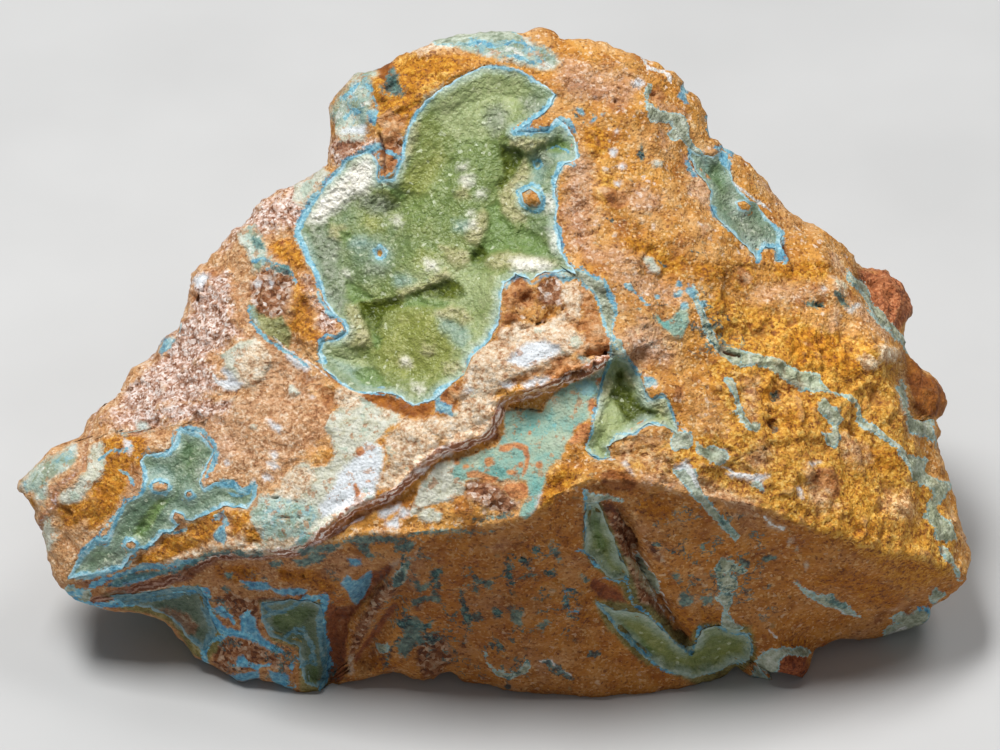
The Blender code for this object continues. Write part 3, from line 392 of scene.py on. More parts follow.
def front_depth(x, y, detail=1.0):
    """Depth of the stone's front, crusts included, at each sheet point."""
    high = spline_at(UPPER_FIT, x, y)
    low = spline_at(LOWER_FIT, x, y)
    share = smooth(-4.0, 4.0, above_brow(x, y) + 3.0 * sheet_noise(x, y, 30.0, 2, 5))
    depth = low + (high - low) * share
    # broad lumps and flats
    depth += 0.55 * detail * sheet_noise(x, y, 62.0, 3, 11)
    for path, fade, width, height in STEPS:
        d, side, _ = path_distance(x, y, path)
        rise = smooth(-fade, fade, d * side) - 0.5
        depth += height * rise * (1 - smooth(width * 0.3, width, d))
    for path, width, height in GROOVES:
        d, _, share = path_distance(x, y, path)
        taper = np.clip(np.minimum(share, 1 - share) * 6 + 0.35, 0, 1)
        depth += height * taper * np.exp(-((d / (width * taper + 1e-6)) ** 2))
    for mx, my, rx, ry, height in MOUNDS:
        depth += height * np.exp(-(((x - mx) / rx) ** 2) - ((y - my) / ry) ** 2)
    for name, loop in POCKETS.items():
        sink, width, _ = BOWLS[name]
        depth -= sink * smooth(-3.0, width, depth_in(x, y, loop))
    # the edge of the stone rounds over
    edge = np.clip(depth_in(x, y, OUTLINE) / 13.0, 0, 1)
    depth -= 1.5 * (1 - np.sqrt(np.clip(1 - (1 - edge) ** 2, 0, 1)))
    return depth


def star_reach(cx, cy):
    """Distance from STAR to the outline, in spread units, along unit directions."""
    pts = (np.array(OUTLINE, float) - STAR) / SPREAD
    angles = np.arctan2(pts[:, 1], pts[:, 0])
    order = np.argsort(angles)
    pts, angles = pts[order], angles[order]
    want = np.arctan2(cy, cx)
    index = np.searchsorted(angles, want) % len(angles)
    b, a = pts[index], pts[index - 1]
    e = b - a
    cross_de = cx * e[..., 1] - cy * e[..., 0]
    cross_ae = a[..., 0] * e[..., 1] - a[..., 1] * e[..., 0]
    return cross_ae / np.where(np.abs(cross_de) < 1e-12, 1e-12, cross_de)


def calm_table():
    """The outline's reach by angle with notches widened and teeth dropped, so that it never passes the outline."""
    angles = np.radians(np.arange(0, 360, 2.0))
    reach = star_reach(np.cos(angles), np.sin(angles))
    low = np.min([np.roll(reach, k) for k in range(-6, 7)], axis=0)
    return np.mean([np.roll(low, k) for k in range(-6, 7)], axis=0)


CALM = calm_table()


def calm_reach(cx, cy):
    spot = (np.degrees(np.arctan2(cy, cx)) % 360) / 2.0
    index = np.floor(spot).astype(int) % 180
    part = spot - np.floor(spot)
    return CALM[index] * (1 - part) + CALM[(index + 1) % 180] * part


def gentle_table():
    """The outline's reach by angle with its teeth and notches averaged away."""
    angles = np.radians(np.arange(0, 360, 1.0))
    reach = star_reach(np.cos(angles), np.sin(angles))
    return np.mean([np.roll(reach, k) for k in range(-11, 12)], axis=0)


GENTLE = gentle_table()


def gentle_reach(cx, cy):
    spot = np.degrees(np.arctan2(cy, cx)) % 360
    index = np.floor(spot).astype(int) % 360
    part = spot - np.floor(spot)
    return GENTLE[index] * (1 - part) + GENTLE[(index + 1) % 360] * part


def chipped_planes():
    """The planes of the back with chips struck off where they meet."""
    rng = np.random.default_rng(11)
    normals = [np.array(n) / np.linalg.norm(n) for n, _ in BACK_PLANES]
    rooms = [d - np.array(INNER) @ n for n, (_, d) in zip(normals, BACK_PLANES)]
    rays = rng.normal(size=(4000, 3))
    rays /= np.linalg.norm(rays, axis=1)[:, None]
    toward = rays @ np.array(normals).T
    lengths = np.min(np.where(toward > 0.02, np.array(rooms) / np.maximum(toward, 0.02), 1e9), axis=1)
    hull = rays * lengths[:, None]
    pole = np.array(POLE) / np.linalg.norm(POLE)
    for _ in range(22):
        n = rng.normal(size=3)
        n /= np.linalg.norm(n)
        depth = rng.uniform(0.87, 0.95)
        if n @ pole < 0.25 or n[2] < -0.75:
            continue
        normals.append(n)
        rooms.append(depth * (hull @ n).max())
    return np.array(normals), np.array(rooms)


NORMALS, ROOMS = chipped_planes()


def from_world(p):
    """Row-frame millimetres back to sheet point and depth."""
    q = p - np.array(SHIFT_MM)
    up = SIN * q[:, 1] + COS * q[:, 2]
    depth = -COS * q[:, 1] + SIN * q[:, 2]
    k = 1.0 - (depth - MID) / REACH
    return CENTRE[0] + q[:, 0] / (UNIT_MM * k), CENTRE[1] - (up - FOOT) / (UNIT_MM * k), depth


def stone_points(cube, rows_front, detail=1.0):
    """Maps the points of a cube's surface (-1 to 1) onto the stone, in row-frame millimetres.

    The cube's top becomes the middle of the stone's front, its sides the ring
    about it, the outline and the start of the back, and its bottom the rest.
    """
    a, b, c = cube.T
    wide = np.abs(a) > np.abs(b)
    safe = np.where(wide, a, np.where(b == 0, 1, b))
    turn = np.where(wide, math.pi / 4 * b / safe, math.pi / 2 - math.pi / 4 * a / safe)
    radius = np.where(wide, a, b)
    m = np.abs(radius)
    sign = np.where(radius < 0, -1.0, 1.0)
    ux, uy = sign * np.cos(turn), sign * np.sin(turn)
    top = c > 1 - 1e-6
    bottom = c < -1 + 1e-6
    share = 2 * rows_front          # rows of the sides that lie on the front
    inner2 = 1.0 / (1.0 + 4.0 * rows_front)
    t = np.clip((1 - c) / share, 0, 1)
    rho = np.where(top, m * math.sqrt(inner2), np.sqrt(inner2 + (1 - inner2) * t))
    back_share = 0.32
    s_side = np.clip((1 - share - c) / (2 - share), 0, 1) * back_share
    s = np.where(bottom, 1 - (1 - back_share) * m, s_side)
    s = np.where(top, 0, s)
    reach = star_reach(ux, uy)

    front = s <= 0
    soft = gentle_reach(ux, uy)
    r = np.where(front, rho * (soft + (reach - soft) * smooth(0.45, 1.0, rho)), reach)
    x = STAR[0] + r * ux * SPREAD[0]
    y = STAR[1] + r * uy * SPREAD[1]
    out = np.zeros((len(a), 3))
    depth = front_depth(x, y, detail)
    rim = to_world(x, y, depth)
    out[front] = rim[front]

    back = ~front
    shift = np.array(SHIFT_MM)
    inner = np.array(INNER)
    ray = rim[back] - shift - inner
    length0 = np.linalg.norm(ray, axis=1)
    u0 = ray / length0[:, None]
    pole = np.array(POLE) / np.linalg.norm(POLE)
    angle = np.arccos(np.clip(u0 @ pole, -1, 1))
    sb = s[back]
    go = sb**0.85
    u = (np.sin((1 - go) * angle)[:, None] * u0 + np.sin(go * angle)[:, None] * pole) / np.sin(angle)[:, None]
    u /= np.linalg.norm(u, axis=1)[:, None]
    toward = np.maximum(u @ NORMALS.T, 0) / ROOMS
    most = toward.max(axis=1)
    length1 = 1 / (most * ((toward / most[:, None]) ** 40).sum(axis=1) ** (1 / 40))
    length = length0 + (length1 - length0) * smooth(0.0, 0.22, sb)
    p = inner + u * length[:, None]
    lumps = fractal(p, 14.0, 4, 31) + 0.9 * np.abs(fractal(p, 22.0, 3, 57)) - 0.3
    p = p + u * (1.7 * lumps * smooth(0.0, 0.12, sb))[:, None]
    p[:, 2] = np.maximum(p[:, 2], -BACK_PLANES[-1][1])

    # hold the back inside the outline and behind the front
    bx, by, bd = from_world(p + shift)
    vx, vy = (bx - STAR[0]) / SPREAD[0], (by - STAR[1]) / SPREAD[1]
    far = np.hypot(vx, vy)
    vu, vw = vx / np.maximum(far, 1e-9), vy / np.maximum(far, 1e-9)
    sharp = star_reach(vu, vw)
    calm = np.minimum(calm_reach(vu, vw), sharp)
    limit = (sharp + (calm - sharp) * smooth(0, 0.10, sb)) * (1 - 0.012 * smooth(0, 0.08, sb))
    scale = np.minimum(1, limit / np.maximum(far, 1e-9))
    bx, by = STAR[0] + vx * scale * SPREAD[0], STAR[1] + vy * scale * SPREAD[1]
    bd = np.minimum(bd, front_depth(bx, by, detail) - 2.4 * smooth(0, 0.14, sb))
    p = to_world(bx, by, bd)
    p[:, 2] = np.maximum(p[:, 2], shift[2] - BACK_PLANES[-1][1])
    out[back] = p
    return out


# ---------------------------------------------------------------------------
# Sheet paths of the markings.  Widths are in sheet units.
# ---------------------------------------------------------------------------
# Veins of grey-green turquoise drawn as lines: (path, half width).
VEINS = [
    ([(885, 634), (898, 630), (912, 622), (926, 614)], 6.0),
    ([(758, 660), (770, 651), (785, 652), (808, 652)], 3.5),
    ([(755, 676), (762, 668), (776, 664)], 6.0),
    ([(432, 43), (455, 40), (480, 37), (505, 36), (520, 38)], 6.0),
]

# Bright blue lines: (path, half width).
BLUES = [
    ([(282, 640), (292, 632), (306, 634), (314, 648), (310, 662), (298, 668)], 1.7), ([(90, 604), (114, 606), (142, 601), (172, 596), (208, 590)], 2.2),
    ([(222, 606), (230, 614), (236, 626)], 1.6), ([(232, 664), (246, 660), (256, 668), (270, 664)], 1.6), ([(262, 604), (272, 612), (286, 612)], 1.6),
    ([(248, 306), (251, 322), (270, 342), (290, 353), (309, 367)], 1.7), ([(262, 270), (278, 264), (292, 272), (296, 284)], 1.4), ([(252, 262), (262, 258), (272, 262)], 1.6),
    ([(515, 133), (523, 127), (532, 119), (540, 113), (547, 107)], 3.0), ([(517, 134), (530, 131), (540, 130), (548, 130), (553, 127), (558, 123), (562, 117)], 2.4),
    ([(84, 588), (110, 578), (140, 570), (170, 566), (200, 562)], 2.6), ([(64, 594), (84, 588), (74, 600), (90, 602)], 2.4), ([(214, 520), (222, 512), (226, 524), (218, 532)], 2.6),
    ([(100, 460), (112, 452), (124, 452), (134, 446)], 1.4), ([(118, 470), (128, 474), (134, 486)], 1.3), ([(90, 545), (104, 528), (118, 512)], 1.4),
    ([(340, 100), (350, 92), (358, 84)], 2.4), ([(344, 118), (352, 110), (360, 112)], 2.2), ([(366, 84), (374, 92)], 2.0), ([(466, 44), (480, 42), (494, 46)], 2.2),
    ([(505, 44), (520, 42), (534, 50)], 1.8), ([(500, 56), (516, 56), (530, 62), (545, 60)], 1.8),
    ([(144, 466), (145, 480), (142, 492), (133, 498), (124, 500), (121, 511), (116, 521), (110, 535), (96, 543), (84, 551), (79, 558)], 2.0),
    ([(185, 528), (178, 533), (160, 531), (154, 539), (146, 548), (138, 548), (134, 553), (131, 562), (118, 568), (106, 573), (95, 578), (80, 576)], 1.8),
    ([(176, 430), (190, 427), (204, 432), (214, 443), (217, 455), (211, 470), (204, 482)], 2.2), ([(122, 546), (126, 539), (133, 539), (138, 544), (134, 550), (126, 549)], 1.3),
    ([(150, 486), (156, 480), (166, 482), (171, 487), (165, 494), (154, 493), (150, 486)], 1.2), ([(207, 590), (208, 607), (220, 623), (230, 633), (213, 640), (203, 650), (207, 663)], 2.2),
    ([(230, 633), (243, 633), (263, 643), (280, 652)], 2.2), ([(250, 610), (243, 620), (243, 633)], 2.4), ([(305, 600), (325, 597), (328, 600), (323, 610), (318, 620), (322, 640), (323, 657), (327, 670), (323, 683), (320, 695)], 3.0),
    ([(517, 191), (524, 187), (532, 184), (540, 188), (544, 198), (543, 208), (536, 212), (528, 210), (520, 203), (517, 191)], 1.6), ([(546, 150), (556, 146), (566, 150), (572, 156)], 1.2),
    ([(374, 250), (380, 246), (386, 250), (385, 257), (378, 259), (374, 250)], 1.4), ([(533, 162), (540, 160), (543, 166), (536, 169), (533, 162)], 1.2),
    ([(340, 166), (352, 156), (366, 150), (378, 148), (388, 152), (400, 158)], 1.8),
    ([(340, 166), (325, 184), (310, 202), (301, 218), (296, 234)], 2.0),
    ([(712, 150), (722, 148), (730, 155), (730, 168)], 2.0),
    ([(760, 250), (757, 262), (764, 246), (778, 246), (786, 258), (784, 264)], 2.2),
    ([(770, 222), (783, 232), (784, 246)], 2.2),
    ([(690, 150), (688, 165), (697, 176)], 2.0),
    ([(373, 96), (377, 110), (374, 122)], 2.0),
    ([(577, 150), (578.5, 161.5), (573, 165.5), (565.5, 163), (558.5, 163), (561.5, 171.5), (553, 177), (551.5, 181.5), (557, 188.5), (557, 207),
     (554.5, 218.5), (560, 230), (561.5, 250), (568.5, 263), (577, 268.5), (585.5, 274.5)], 1.3),
    ([(575.5, 265.5), (580, 268.5), (591, 276), (604.5, 281), (609, 293), (615.5, 308.5)], 1.5),
    ([(560, 274.5), (569, 279), (577, 277.5), (583, 285.5), (592.5, 294.5), (598.5, 304)], 1.2),
    ([(624.5, 284.5), (632.5, 291.5), (640, 299), (646, 307)], 2.4),
    ([(611.5, 293), (614.5, 304), (616, 314.5), (613, 322.5), (613, 337.5), (616, 347), (619, 350)], 1.2),
    ([(581, 279), (587, 287), (596, 297.5), (599, 307), (604, 321), (607, 331.5), (611, 339), (611.5, 350), (611.5, 356), (608.5, 365.5), (604,
     374.5), (601, 384), (601, 393)], 1.0),
    ([(137.5, 458.5), (145.5, 454), (149, 448.5), (152.5, 454), (157.5, 457), (165.5, 453), (171.5, 447.5), (173, 438.5), (174, 431), (179, 427.5)],
     1.5),
    ([(227.5, 491.5), (234, 495.5), (243, 496), (249, 491.5), (251, 485.5), (255.5, 482.5)], 1.3),
    ([(131, 599), (144.5, 596), (163, 593), (177, 590), (184.5, 587), (187.5, 591.5), (200, 591.5), (207.5, 589), (209, 596), (211, 600)], 2.0),
    ([(80, 579), (95.5, 575.5), (111, 572.5), (126, 566), (132.5, 561)], 2.2),
    ([(612.5, 340), (611, 349), (611, 363), (606, 371), (600, 387.5), (598.5, 398.5), (594, 417), (592.5, 432.5), (586, 444.5), (592.5, 454), (601.5,
     460), (615.5, 458.5)], 0.9),
    ([(618.5, 352.5), (631, 361.5), (637, 374), (644.5, 377), (644, 386), (647.5, 401.5), (657, 397), (666, 398.5), (671, 409), (674, 418.5), (683,
     431), (691, 434)], 0.9),
    ([(604.5, 460), (611, 441.5), (617, 434), (634, 434), (646, 426), (652.5, 423), (667.5, 426)], 0.7),
    ([(517, 133), (525.5, 121.5), (537, 115.5), (545.5, 110), (554.5, 100), (555.5, 94.5)], 1.2),
    ([(520, 134.5), (531.5, 134.5), (540, 127), (548.5, 131.5), (558.5, 123), (561.5, 117), (568.5, 121.5), (575.5, 135.5)], 1.4),
    ([(295.5, 231.5), (300, 241.5), (305.5, 250), (310, 261.5), (317, 275.5), (321.5, 293)], 2.6),
    ([(315.5, 278.5), (320, 298.5), (328.5, 311.5), (338.5, 320), (344.5, 324.5), (345.5, 333), (338.5, 338.5), (328.5, 335.5), (321.5, 343), (320,
     350), (324.5, 361.5), (315.5, 361.5)], 1.8),
    ([(325.5, 370), (340, 383), (357, 391.5), (374.5, 394.5), (391.5, 395.5), (403, 398.5)], 1.0),
    ([(704.5, 115.5), (707.5, 126), (708.5, 138.5)], 1.0),
    ([(318.5, 193), (310, 210), (303, 221.5), (300, 231.5)], 1.6),
    ([(334.5, 175.5), (343, 164.5), (357, 154.5), (367, 150), (377, 153), (380, 164.5), (378, 173), (381.5, 178.5), (388.5, 177), (397, 167), (403,
     153), (405.5, 135.5), (414.5, 118.5), (418.5, 107)], 1.3),
    ([(103, 608.5), (112.5, 603), (124.5, 599), (137, 597.5), (152.5, 594.5), (166, 592.5), (180, 591.5), (187.5, 590), (195.5, 590), (207.5, 587.5)],
     2.6),
    ([(203, 591), (207, 601.5), (209, 612.5), (215.5, 623), (223, 631), (227.5, 634)], 3.2),
    ([(227.5, 634), (220, 638.5), (207.5, 640), (204, 647.5), (204.5, 660), (209, 663)], 2.4),
    ([(326, 595.5), (323, 606), (321.5, 620), (324.5, 635.5), (327.5, 651), (328.5, 666), (324, 681.5), (321.5, 695.5)], 3.6),
    ([(260, 618.5), (275.5, 612.5), (291, 607.5), (300, 601.5), (309, 595.5)], 1.6),
    ([(286, 637), (295.5, 629), (303, 629), (306, 637), (314, 654), (315.5, 664.5), (307.5, 661.5), (297, 658.5), (291, 664.5), (294, 674)], 1.5),
    ([(275.5, 683), (286, 683), (295.5, 684.5), (294, 689), (283, 687.5)], 1.6),
    ([(584, 488.5), (585.5, 501), (584.5, 547)], 0.6),
    ([(574, 588.5), (564.5, 591.5), (566, 601), (569, 610), (578.5, 608.5)], 1.6),
    ([(626, 577.5), (629, 588.5), (632.5, 604), (637, 607)], 1.6),
    ([(917, 609), (927.5, 607.5), (931, 615.5), (921.5, 623)], 1.2),
    ([(574, 550), (584.5, 550), (592.5, 561), (600, 568.5)], 1.0),
    ([(600, 577.5), (611, 581), (621.5, 584), (626, 576)], 0.9),
    ([(595.5, 599), (600, 605.5), (620, 631.5), (641.5, 651.5), (660, 668.5), (678.5, 676)], 1.2),
    ([(632.5, 604), (649, 614.5), (660, 625.5), (672.5, 641), (691, 654.5), (700, 627), (715.5, 624), (727.5, 633), (749, 634.5), (755.5, 659)], 1.0),
]

# Fine white lines: (path, half width).
WHITES = [
    ([(683, 462), (690, 473), (699, 488)], 2.6),
    ([(640, 58), (646, 62), (648, 68), (654, 70), (660, 73), (666, 77), (671, 83)], 1.3),
    ([(648, 68), (647, 74)], 1.6),
    ([(720, 466), (729, 467.5), (737, 474), (751, 475.5), (758.5, 474)], 1.3),
    ([(727.5, 178.5), (738.5, 187.5), (751, 197), (763, 204.5), (772.5, 212.5)], 0.9),
    ([(214.5, 374), (217.5, 381.5), (227, 387.5), (239, 387.5)], 1.6),
    ([(764.5, 518.5), (771, 524.5), (786, 530)], 1.3),
    ([(273, 335.5), (284, 347.5), (297.5, 355.5), (313, 364.5), (331.5, 380)], 0.4),
    ([(632.5, 550), (637, 565.5), (644.5, 581), (654, 597.5), (663, 611.5), (671, 622.5)], 0.8),
    ([(637, 551.5), (647.5, 562.5), (657, 576), (661.5, 591.5), (666, 604), (675.5, 621)], 0.7),
    ([(886, 634), (897, 629), (907.5, 626)], 0.9),
    ([(538.5, 661), (551, 661), (561.5, 670), (572.5, 676)], 1.3),
    ([(769, 629), (772.5, 634), (777, 638.5)], 1.0),
    ([(801.5, 586), (814, 597), (832.5, 607.5), (846, 614), (860, 616)], 0.6),
]

ZONES = {
    # chalky green-white patches
    "pale": [
        [(626, 556), (634, 560), (645, 571), (653, 584), (656, 597), (649, 594), (641, 585), (631, 571)],
        [(417, 490), (437, 463), (453, 460), (467, 473), (453, 500), (433, 503), (410, 517)],
        [(226, 352), (240, 342), (256, 340), (268, 350), (270, 366), (262, 380), (246, 386), (232, 378)],
        [(334, 128), (350, 124), (366, 130), (364, 142), (340, 142)],
        [(296, 186), (322, 168), (334, 172), (318, 192), (304, 208), (292, 204)],
        [(343, 399), (354, 396), (369, 401), (384.5, 408.5), (400, 414.5), (400, 422.5), (391, 428.5), (384.5, 437.5), (375.5, 442.5), (383, 447),
         (386, 456), (383, 471.5), (377, 487), (374, 497.5), (360, 504), (347.5, 513), (335.5, 519), (323, 528.5), (311, 537.5), (298.5, 547), (283,
         550), (261.5, 551.5), (264.5, 539), (261.5, 530), (254, 522.5), (252.5, 513), (260, 505.5), (261.5, 496), (274, 494.5), (283, 484), (286,
         474.5), (298.5, 462.5), (307.5, 461), (314, 468.5), (327.5, 465.5), (335.5, 456), (332.5, 447), (331, 436), (326, 428.5), (332.5, 413), (340,
         407)],
        [(239, 235.5), (248.5, 229), (256, 229), (253, 238.5), (248.5, 247.5), (242.5, 246), (239, 240)],
        [(93, 446), (102.5, 441.5), (105.5, 446), (102.5, 455.5), (105.5, 461.5), (102.5, 477), (93, 484.5), (87, 492.5), (77.5, 501.5), (65.5, 503),
         (59, 498.5), (64, 491), (74.5, 486), (79, 477), (87, 471), (87, 461.5), (90, 452.5)],
        [(438.5, 472.5), (451, 472.5), (464.5, 481.5), (464.5, 494), (451, 497), (440, 491), (437, 480)],
        [(418.5, 512.5), (431, 507.5), (443, 514), (440, 521.5), (427.5, 523), (418.5, 518.5)],
        [(427.5, 426), (437, 426), (440, 438.5), (431, 435.5)],
        [(651, 161.5), (658.5, 160), (664.5, 163), (661.5, 167.5), (652.5, 167.5)],
        [(643, 259), (652.5, 257.5), (660, 268.5), (658.5, 274.5), (649, 270)],
        [(257.5, 427.5), (255, 429.5), (252, 429.5), (250, 427.5), (251, 425), (254, 424), (257, 425.5)],
        [(288.5, 384), (292.5, 385.5), (300, 393), (295.5, 396), (289, 394.5)],
        [(222.5, 355.5), (227, 352.5), (236, 355.5), (237.5, 364.5), (233, 367.5), (227, 366)],
        [(47, 515.5), (51.5, 518.5), (54.5, 531), (56, 538.5), (53, 551), (47, 547.5), (44, 535.5), (44, 523)],
    ],
    # blue-white
    "white": [
        [(636, 78), (644, 82), (640, 88), (632, 84)],
        [(366, 442.5), (383, 447), (384.5, 465.5), (374, 496), (354, 505.5), (338.5, 513), (323, 517.5), (320, 505.5), (332.5, 490), (338.5, 474.5),
         (351, 462.5), (360, 453)],
        [(266, 418.5), (269, 418.5), (275.5, 424), (281.5, 427), (280, 432.5), (274, 428.5), (267.5, 422.5)],
        [(271, 453), (275.5, 451.5), (277, 457.5), (274, 459)],
        [(267.5, 462.5), (272.5, 461), (278.5, 467), (275.5, 468.5), (269, 465.5)],
        [(261.5, 476), (267.5, 474.5), (271, 479), (266, 481.5)],
        [(251, 482.5), (255.5, 480), (255.5, 484.5), (252.5, 485)],
        [(229.5, 464.5), (228.5, 466), (226.5, 465.5), (225.5, 464), (226, 462.5), (228, 461.5), (229.5, 462.5)],
        [(314.5, 398.5), (313, 400), (311, 399.5), (310, 398), (310.5, 396), (312.5, 395.5), (314, 396.5)],
        [(194, 277), (201, 273), (209, 274.5), (205.5, 283), (201, 289), (195.5, 286)],
        [(224, 369), (233, 371), (237.5, 380), (244, 383), (236, 389), (224, 389), (217.5, 380), (227, 378.5)],
        [(285.5, 352.5), (294.5, 357), (308.5, 363), (310, 369), (304, 371), (293, 363), (287, 358.5)],
        [(273, 284), (271, 286), (268.5, 285.5), (267, 283.5), (267.5, 281), (270, 280), (272.5, 281.5)],
        [(261, 284), (259, 285.5), (256, 285.5), (254.5, 283.5), (255, 281), (258, 280.5), (260.5, 281.5)],
        [(125.5, 441.5), (131.5, 441.5), (133, 451), (130, 455.5), (127, 449)],
        [(674, 467.5), (686, 460), (692.5, 471), (692.5, 480), (680, 478.5)],
        [(623, 461.5), (626, 461.5), (635.5, 475.5), (632.5, 475.5)],
        [(797, 487.5), (801.5, 487.5), (804, 498.5), (800, 498.5)],
        [(720, 449), (726, 449), (726.5, 460), (720, 466)],
        [(751, 475.5), (758.5, 474), (771, 475.5), (761.5, 480), (764.5, 491), (757, 483), (751, 478.5)],
        [(809, 464), (820, 460), (821, 462.5), (811, 465.5)],
        [(844.5, 308.5), (860, 304), (851, 314.5)],
        [(825.5, 290.5), (824, 292.5), (822, 292), (820.5, 290.5), (821.5, 288.5), (823.5, 287.5), (825, 288.5)],
        [(723, 209), (729, 204.5), (734, 207.5), (729, 214), (721.5, 215.5)],
        [(529, 507.5), (535.5, 497), (540, 487.5), (541.5, 492.5), (538.5, 503), (532.5, 512.5), (526, 515.5), (523, 514)],
        [(437, 449), (443, 447.5), (452.5, 451), (451, 455.5), (441.5, 455.5)],
        [(415.5, 472.5), (423, 466), (429, 466), (426, 471), (417, 475.5)],
        [(378.5, 511.5), (400, 502.5), (400, 508.5), (384.5, 517.5), (380, 517.5)],
        [(386, 524), (400, 513), (400, 528.5), (387.5, 527)],
        [(516, 350), (528.5, 342.5), (544, 341), (561, 347), (561, 353), (550, 359), (537.5, 362.5), (525.5, 368.5), (516, 368.5), (507, 362.5)],
        [(499, 384), (510, 382.5), (516, 384), (510, 388.5)],
        [(521, 384), (528.5, 381), (537.5, 377.5), (541, 382.5), (528.5, 388.5), (522.5, 387)],
        [(537.5, 377.5), (547, 376), (550, 379), (541, 387), (537.5, 384)],
        [(341.5, 135.5), (343, 130), (354.5, 127), (364.5, 125.5), (367, 131.5), (363, 135.5), (354.5, 134.5), (347, 135.5)],
        [(620, 185), (618, 186.5), (615.5, 186.5), (614, 184.5), (614.5, 182), (617, 181), (619.5, 182)],
        [(619.5, 131.5), (618, 133.5), (615.5, 133), (614, 131), (615, 129), (617, 128), (619, 129)],
        [(617, 154.5), (614.5, 157), (611, 157), (609, 153.5), (610, 150), (613.5, 149), (616.5, 150.5)],
        [(625, 167.5), (623, 169), (619.5, 169), (618, 167), (619, 164.5), (622, 163.5), (624.5, 165)],
        [(474.5, 391), (472, 392.5), (468, 392.5), (465.5, 390.5), (467, 388), (470.5, 387), (474, 388.5)],
        [(400, 507.5), (409, 509), (409, 517), (400, 520)],
        [(678.5, 470), (691, 470), (692.5, 479), (701.5, 493), (697, 496), (687.5, 487), (680, 477.5)],
        [(727.5, 471.5), (740, 474.5), (757, 474.5), (769, 476), (758.5, 479), (763, 490), (757, 484), (743, 477.5), (731, 476)],
        [(765.5, 518.5), (772.5, 522.5), (780, 525.5), (780, 530), (771, 527)],
        [(765.5, 518.5), (771, 520), (777, 526), (786, 527.5), (784.5, 530), (775.5, 529), (767.5, 526)],
        [(793, 541), (791.5, 542.5), (789.5, 542.5), (788.5, 540.5), (789, 538), (791, 537), (792.5, 538.5)],
        [(798.5, 550), (798, 551), (796.5, 551), (795.5, 549.5), (796, 548), (797.5, 547), (798.5, 548)],
        [(804, 561.5), (807.5, 563), (809, 569), (806, 571)],
        [(796, 487.5), (801.5, 487.5), (804.5, 494), (801.5, 498.5)],
        [(794, 581.5), (800, 580), (801, 584.5), (796, 586)],
        [(347.5, 658.5), (354, 658.5), (353, 675.5), (348.5, 674)],
        [(391, 564.5), (401.5, 559), (398.5, 563), (392.5, 567)],
        [(197, 610.5), (194.5, 613.5), (191, 613), (189, 610), (190, 606), (193.5, 604.5), (196.5, 606.5)],
        [(931, 589), (938.5, 590), (935.5, 592.5)],
    ],
    # pale cyan
    "cyan": [
        [(242, 240), (250, 228), (262, 236), (266, 250), (270, 262), (258, 270), (250, 262), (246, 250)],
        [(450, 45), (470, 37), (491, 35), (517, 33), (530, 39), (543, 45), (556, 52), (561, 61), (552, 69), (535, 69), (517, 65), (504, 61), (487, 58), (474, 52), (457, 50)],
        [(332, 110), (342, 90), (356, 76), (372, 70), (374, 90), (372, 110), (366, 126), (350, 130), (334, 128)],
        [(430, 41), (455, 38), (480, 35), (510, 34), (526, 37), (510, 44), (470, 46), (440, 48)],
        [(254, 513), (261.5, 497.5), (280, 497.5), (298.5, 502.5), (317, 505.5), (320, 517.5), (311, 533), (298.5, 547), (283, 550), (264.5, 539),
         (255.5, 524)],
        [(250, 249), (257.5, 247.5), (264, 251), (264, 260), (261, 267.5), (253, 269), (251.5, 260)],
        [(264, 257), (273, 256), (273, 261), (265.5, 261.5)],
        [(22.5, 480), (33, 469), (45.5, 461.5), (56, 454), (65.5, 446), (77.5, 441.5), (77.5, 451), (76, 461.5), (71.5, 469), (62.5, 477), (53,
         481.5), (48.5, 486), (47, 498.5), (44, 504.5), (37.5, 498.5), (33, 492.5), (25.5, 492.5), (21, 486)],
        [(114.5, 432.5), (127, 431), (128.5, 437), (117.5, 435.5)],
        [(137.5, 423), (145.5, 424.5), (153, 431), (148.5, 433), (139, 427.5)],
        [(335.5, 107), (343, 104.5), (351.5, 107), (353, 114.5), (344.5, 121.5), (337, 121.5)],
        [(361.5, 88.5), (368.5, 85.5), (371.5, 91.5), (371.5, 104.5), (364.5, 103), (360, 95.5)],
        [(348.5, 77), (374.5, 68.5), (380, 71.5), (374.5, 78.5), (363, 81.5), (354.5, 84.5), (347, 83)],
        [(451, 471), (455.5, 463), (464.5, 460), (464.5, 472.5), (461.5, 480), (454, 478.5)],
        [(577.5, 356), (587, 357.5), (590, 362.5), (581, 362.5)],
        [(248.5, 306), (253, 307.5), (256, 318.5), (261, 326), (256, 326), (250, 318.5)],
        [(584, 376), (599, 368.5), (608.5, 368.5), (604, 384), (599, 400), (584, 400), (562.5, 400), (561, 390), (571.5, 381)],
    ],
    # the turquoise patch
    "turquoise": [
        [(504.5, 412.5), (514, 407.5), (526, 409), (541.5, 412.5), (547.5, 401.5), (560, 389), (572.5, 380), (597, 380), (600, 389), (592.5, 400),
         (589, 411), (591, 420), (583, 424.5), (577, 429), (574, 438.5), (567.5, 446), (561.5, 457), (554, 463), (547.5, 472.5), (546, 484.5), (538.5,
         497), (535.5, 509), (526, 517), (520, 515.5), (523, 506), (529, 497), (526, 487.5), (527.5, 481.5), (514, 480), (498.5, 480), (486, 475.5),
         (480, 478.5), (467.5, 481.5), (455.5, 478.5), (451, 471), (455.5, 463), (461.5, 457), (477, 452.5), (486, 449), (495.5, 447.5), (498.5,
         441.5), (504.5, 434), (503, 423)],
        [(298.5, 539), (311, 530), (321.5, 527), (311, 537.5), (298.5, 547)],
        [(655, 316), (664, 322), (672, 318), (680, 308), (686, 306), (687, 316), (684, 328), (680, 339), (670, 336), (660, 326)],
    ],
    # cream bands and ovals
    "cream": [
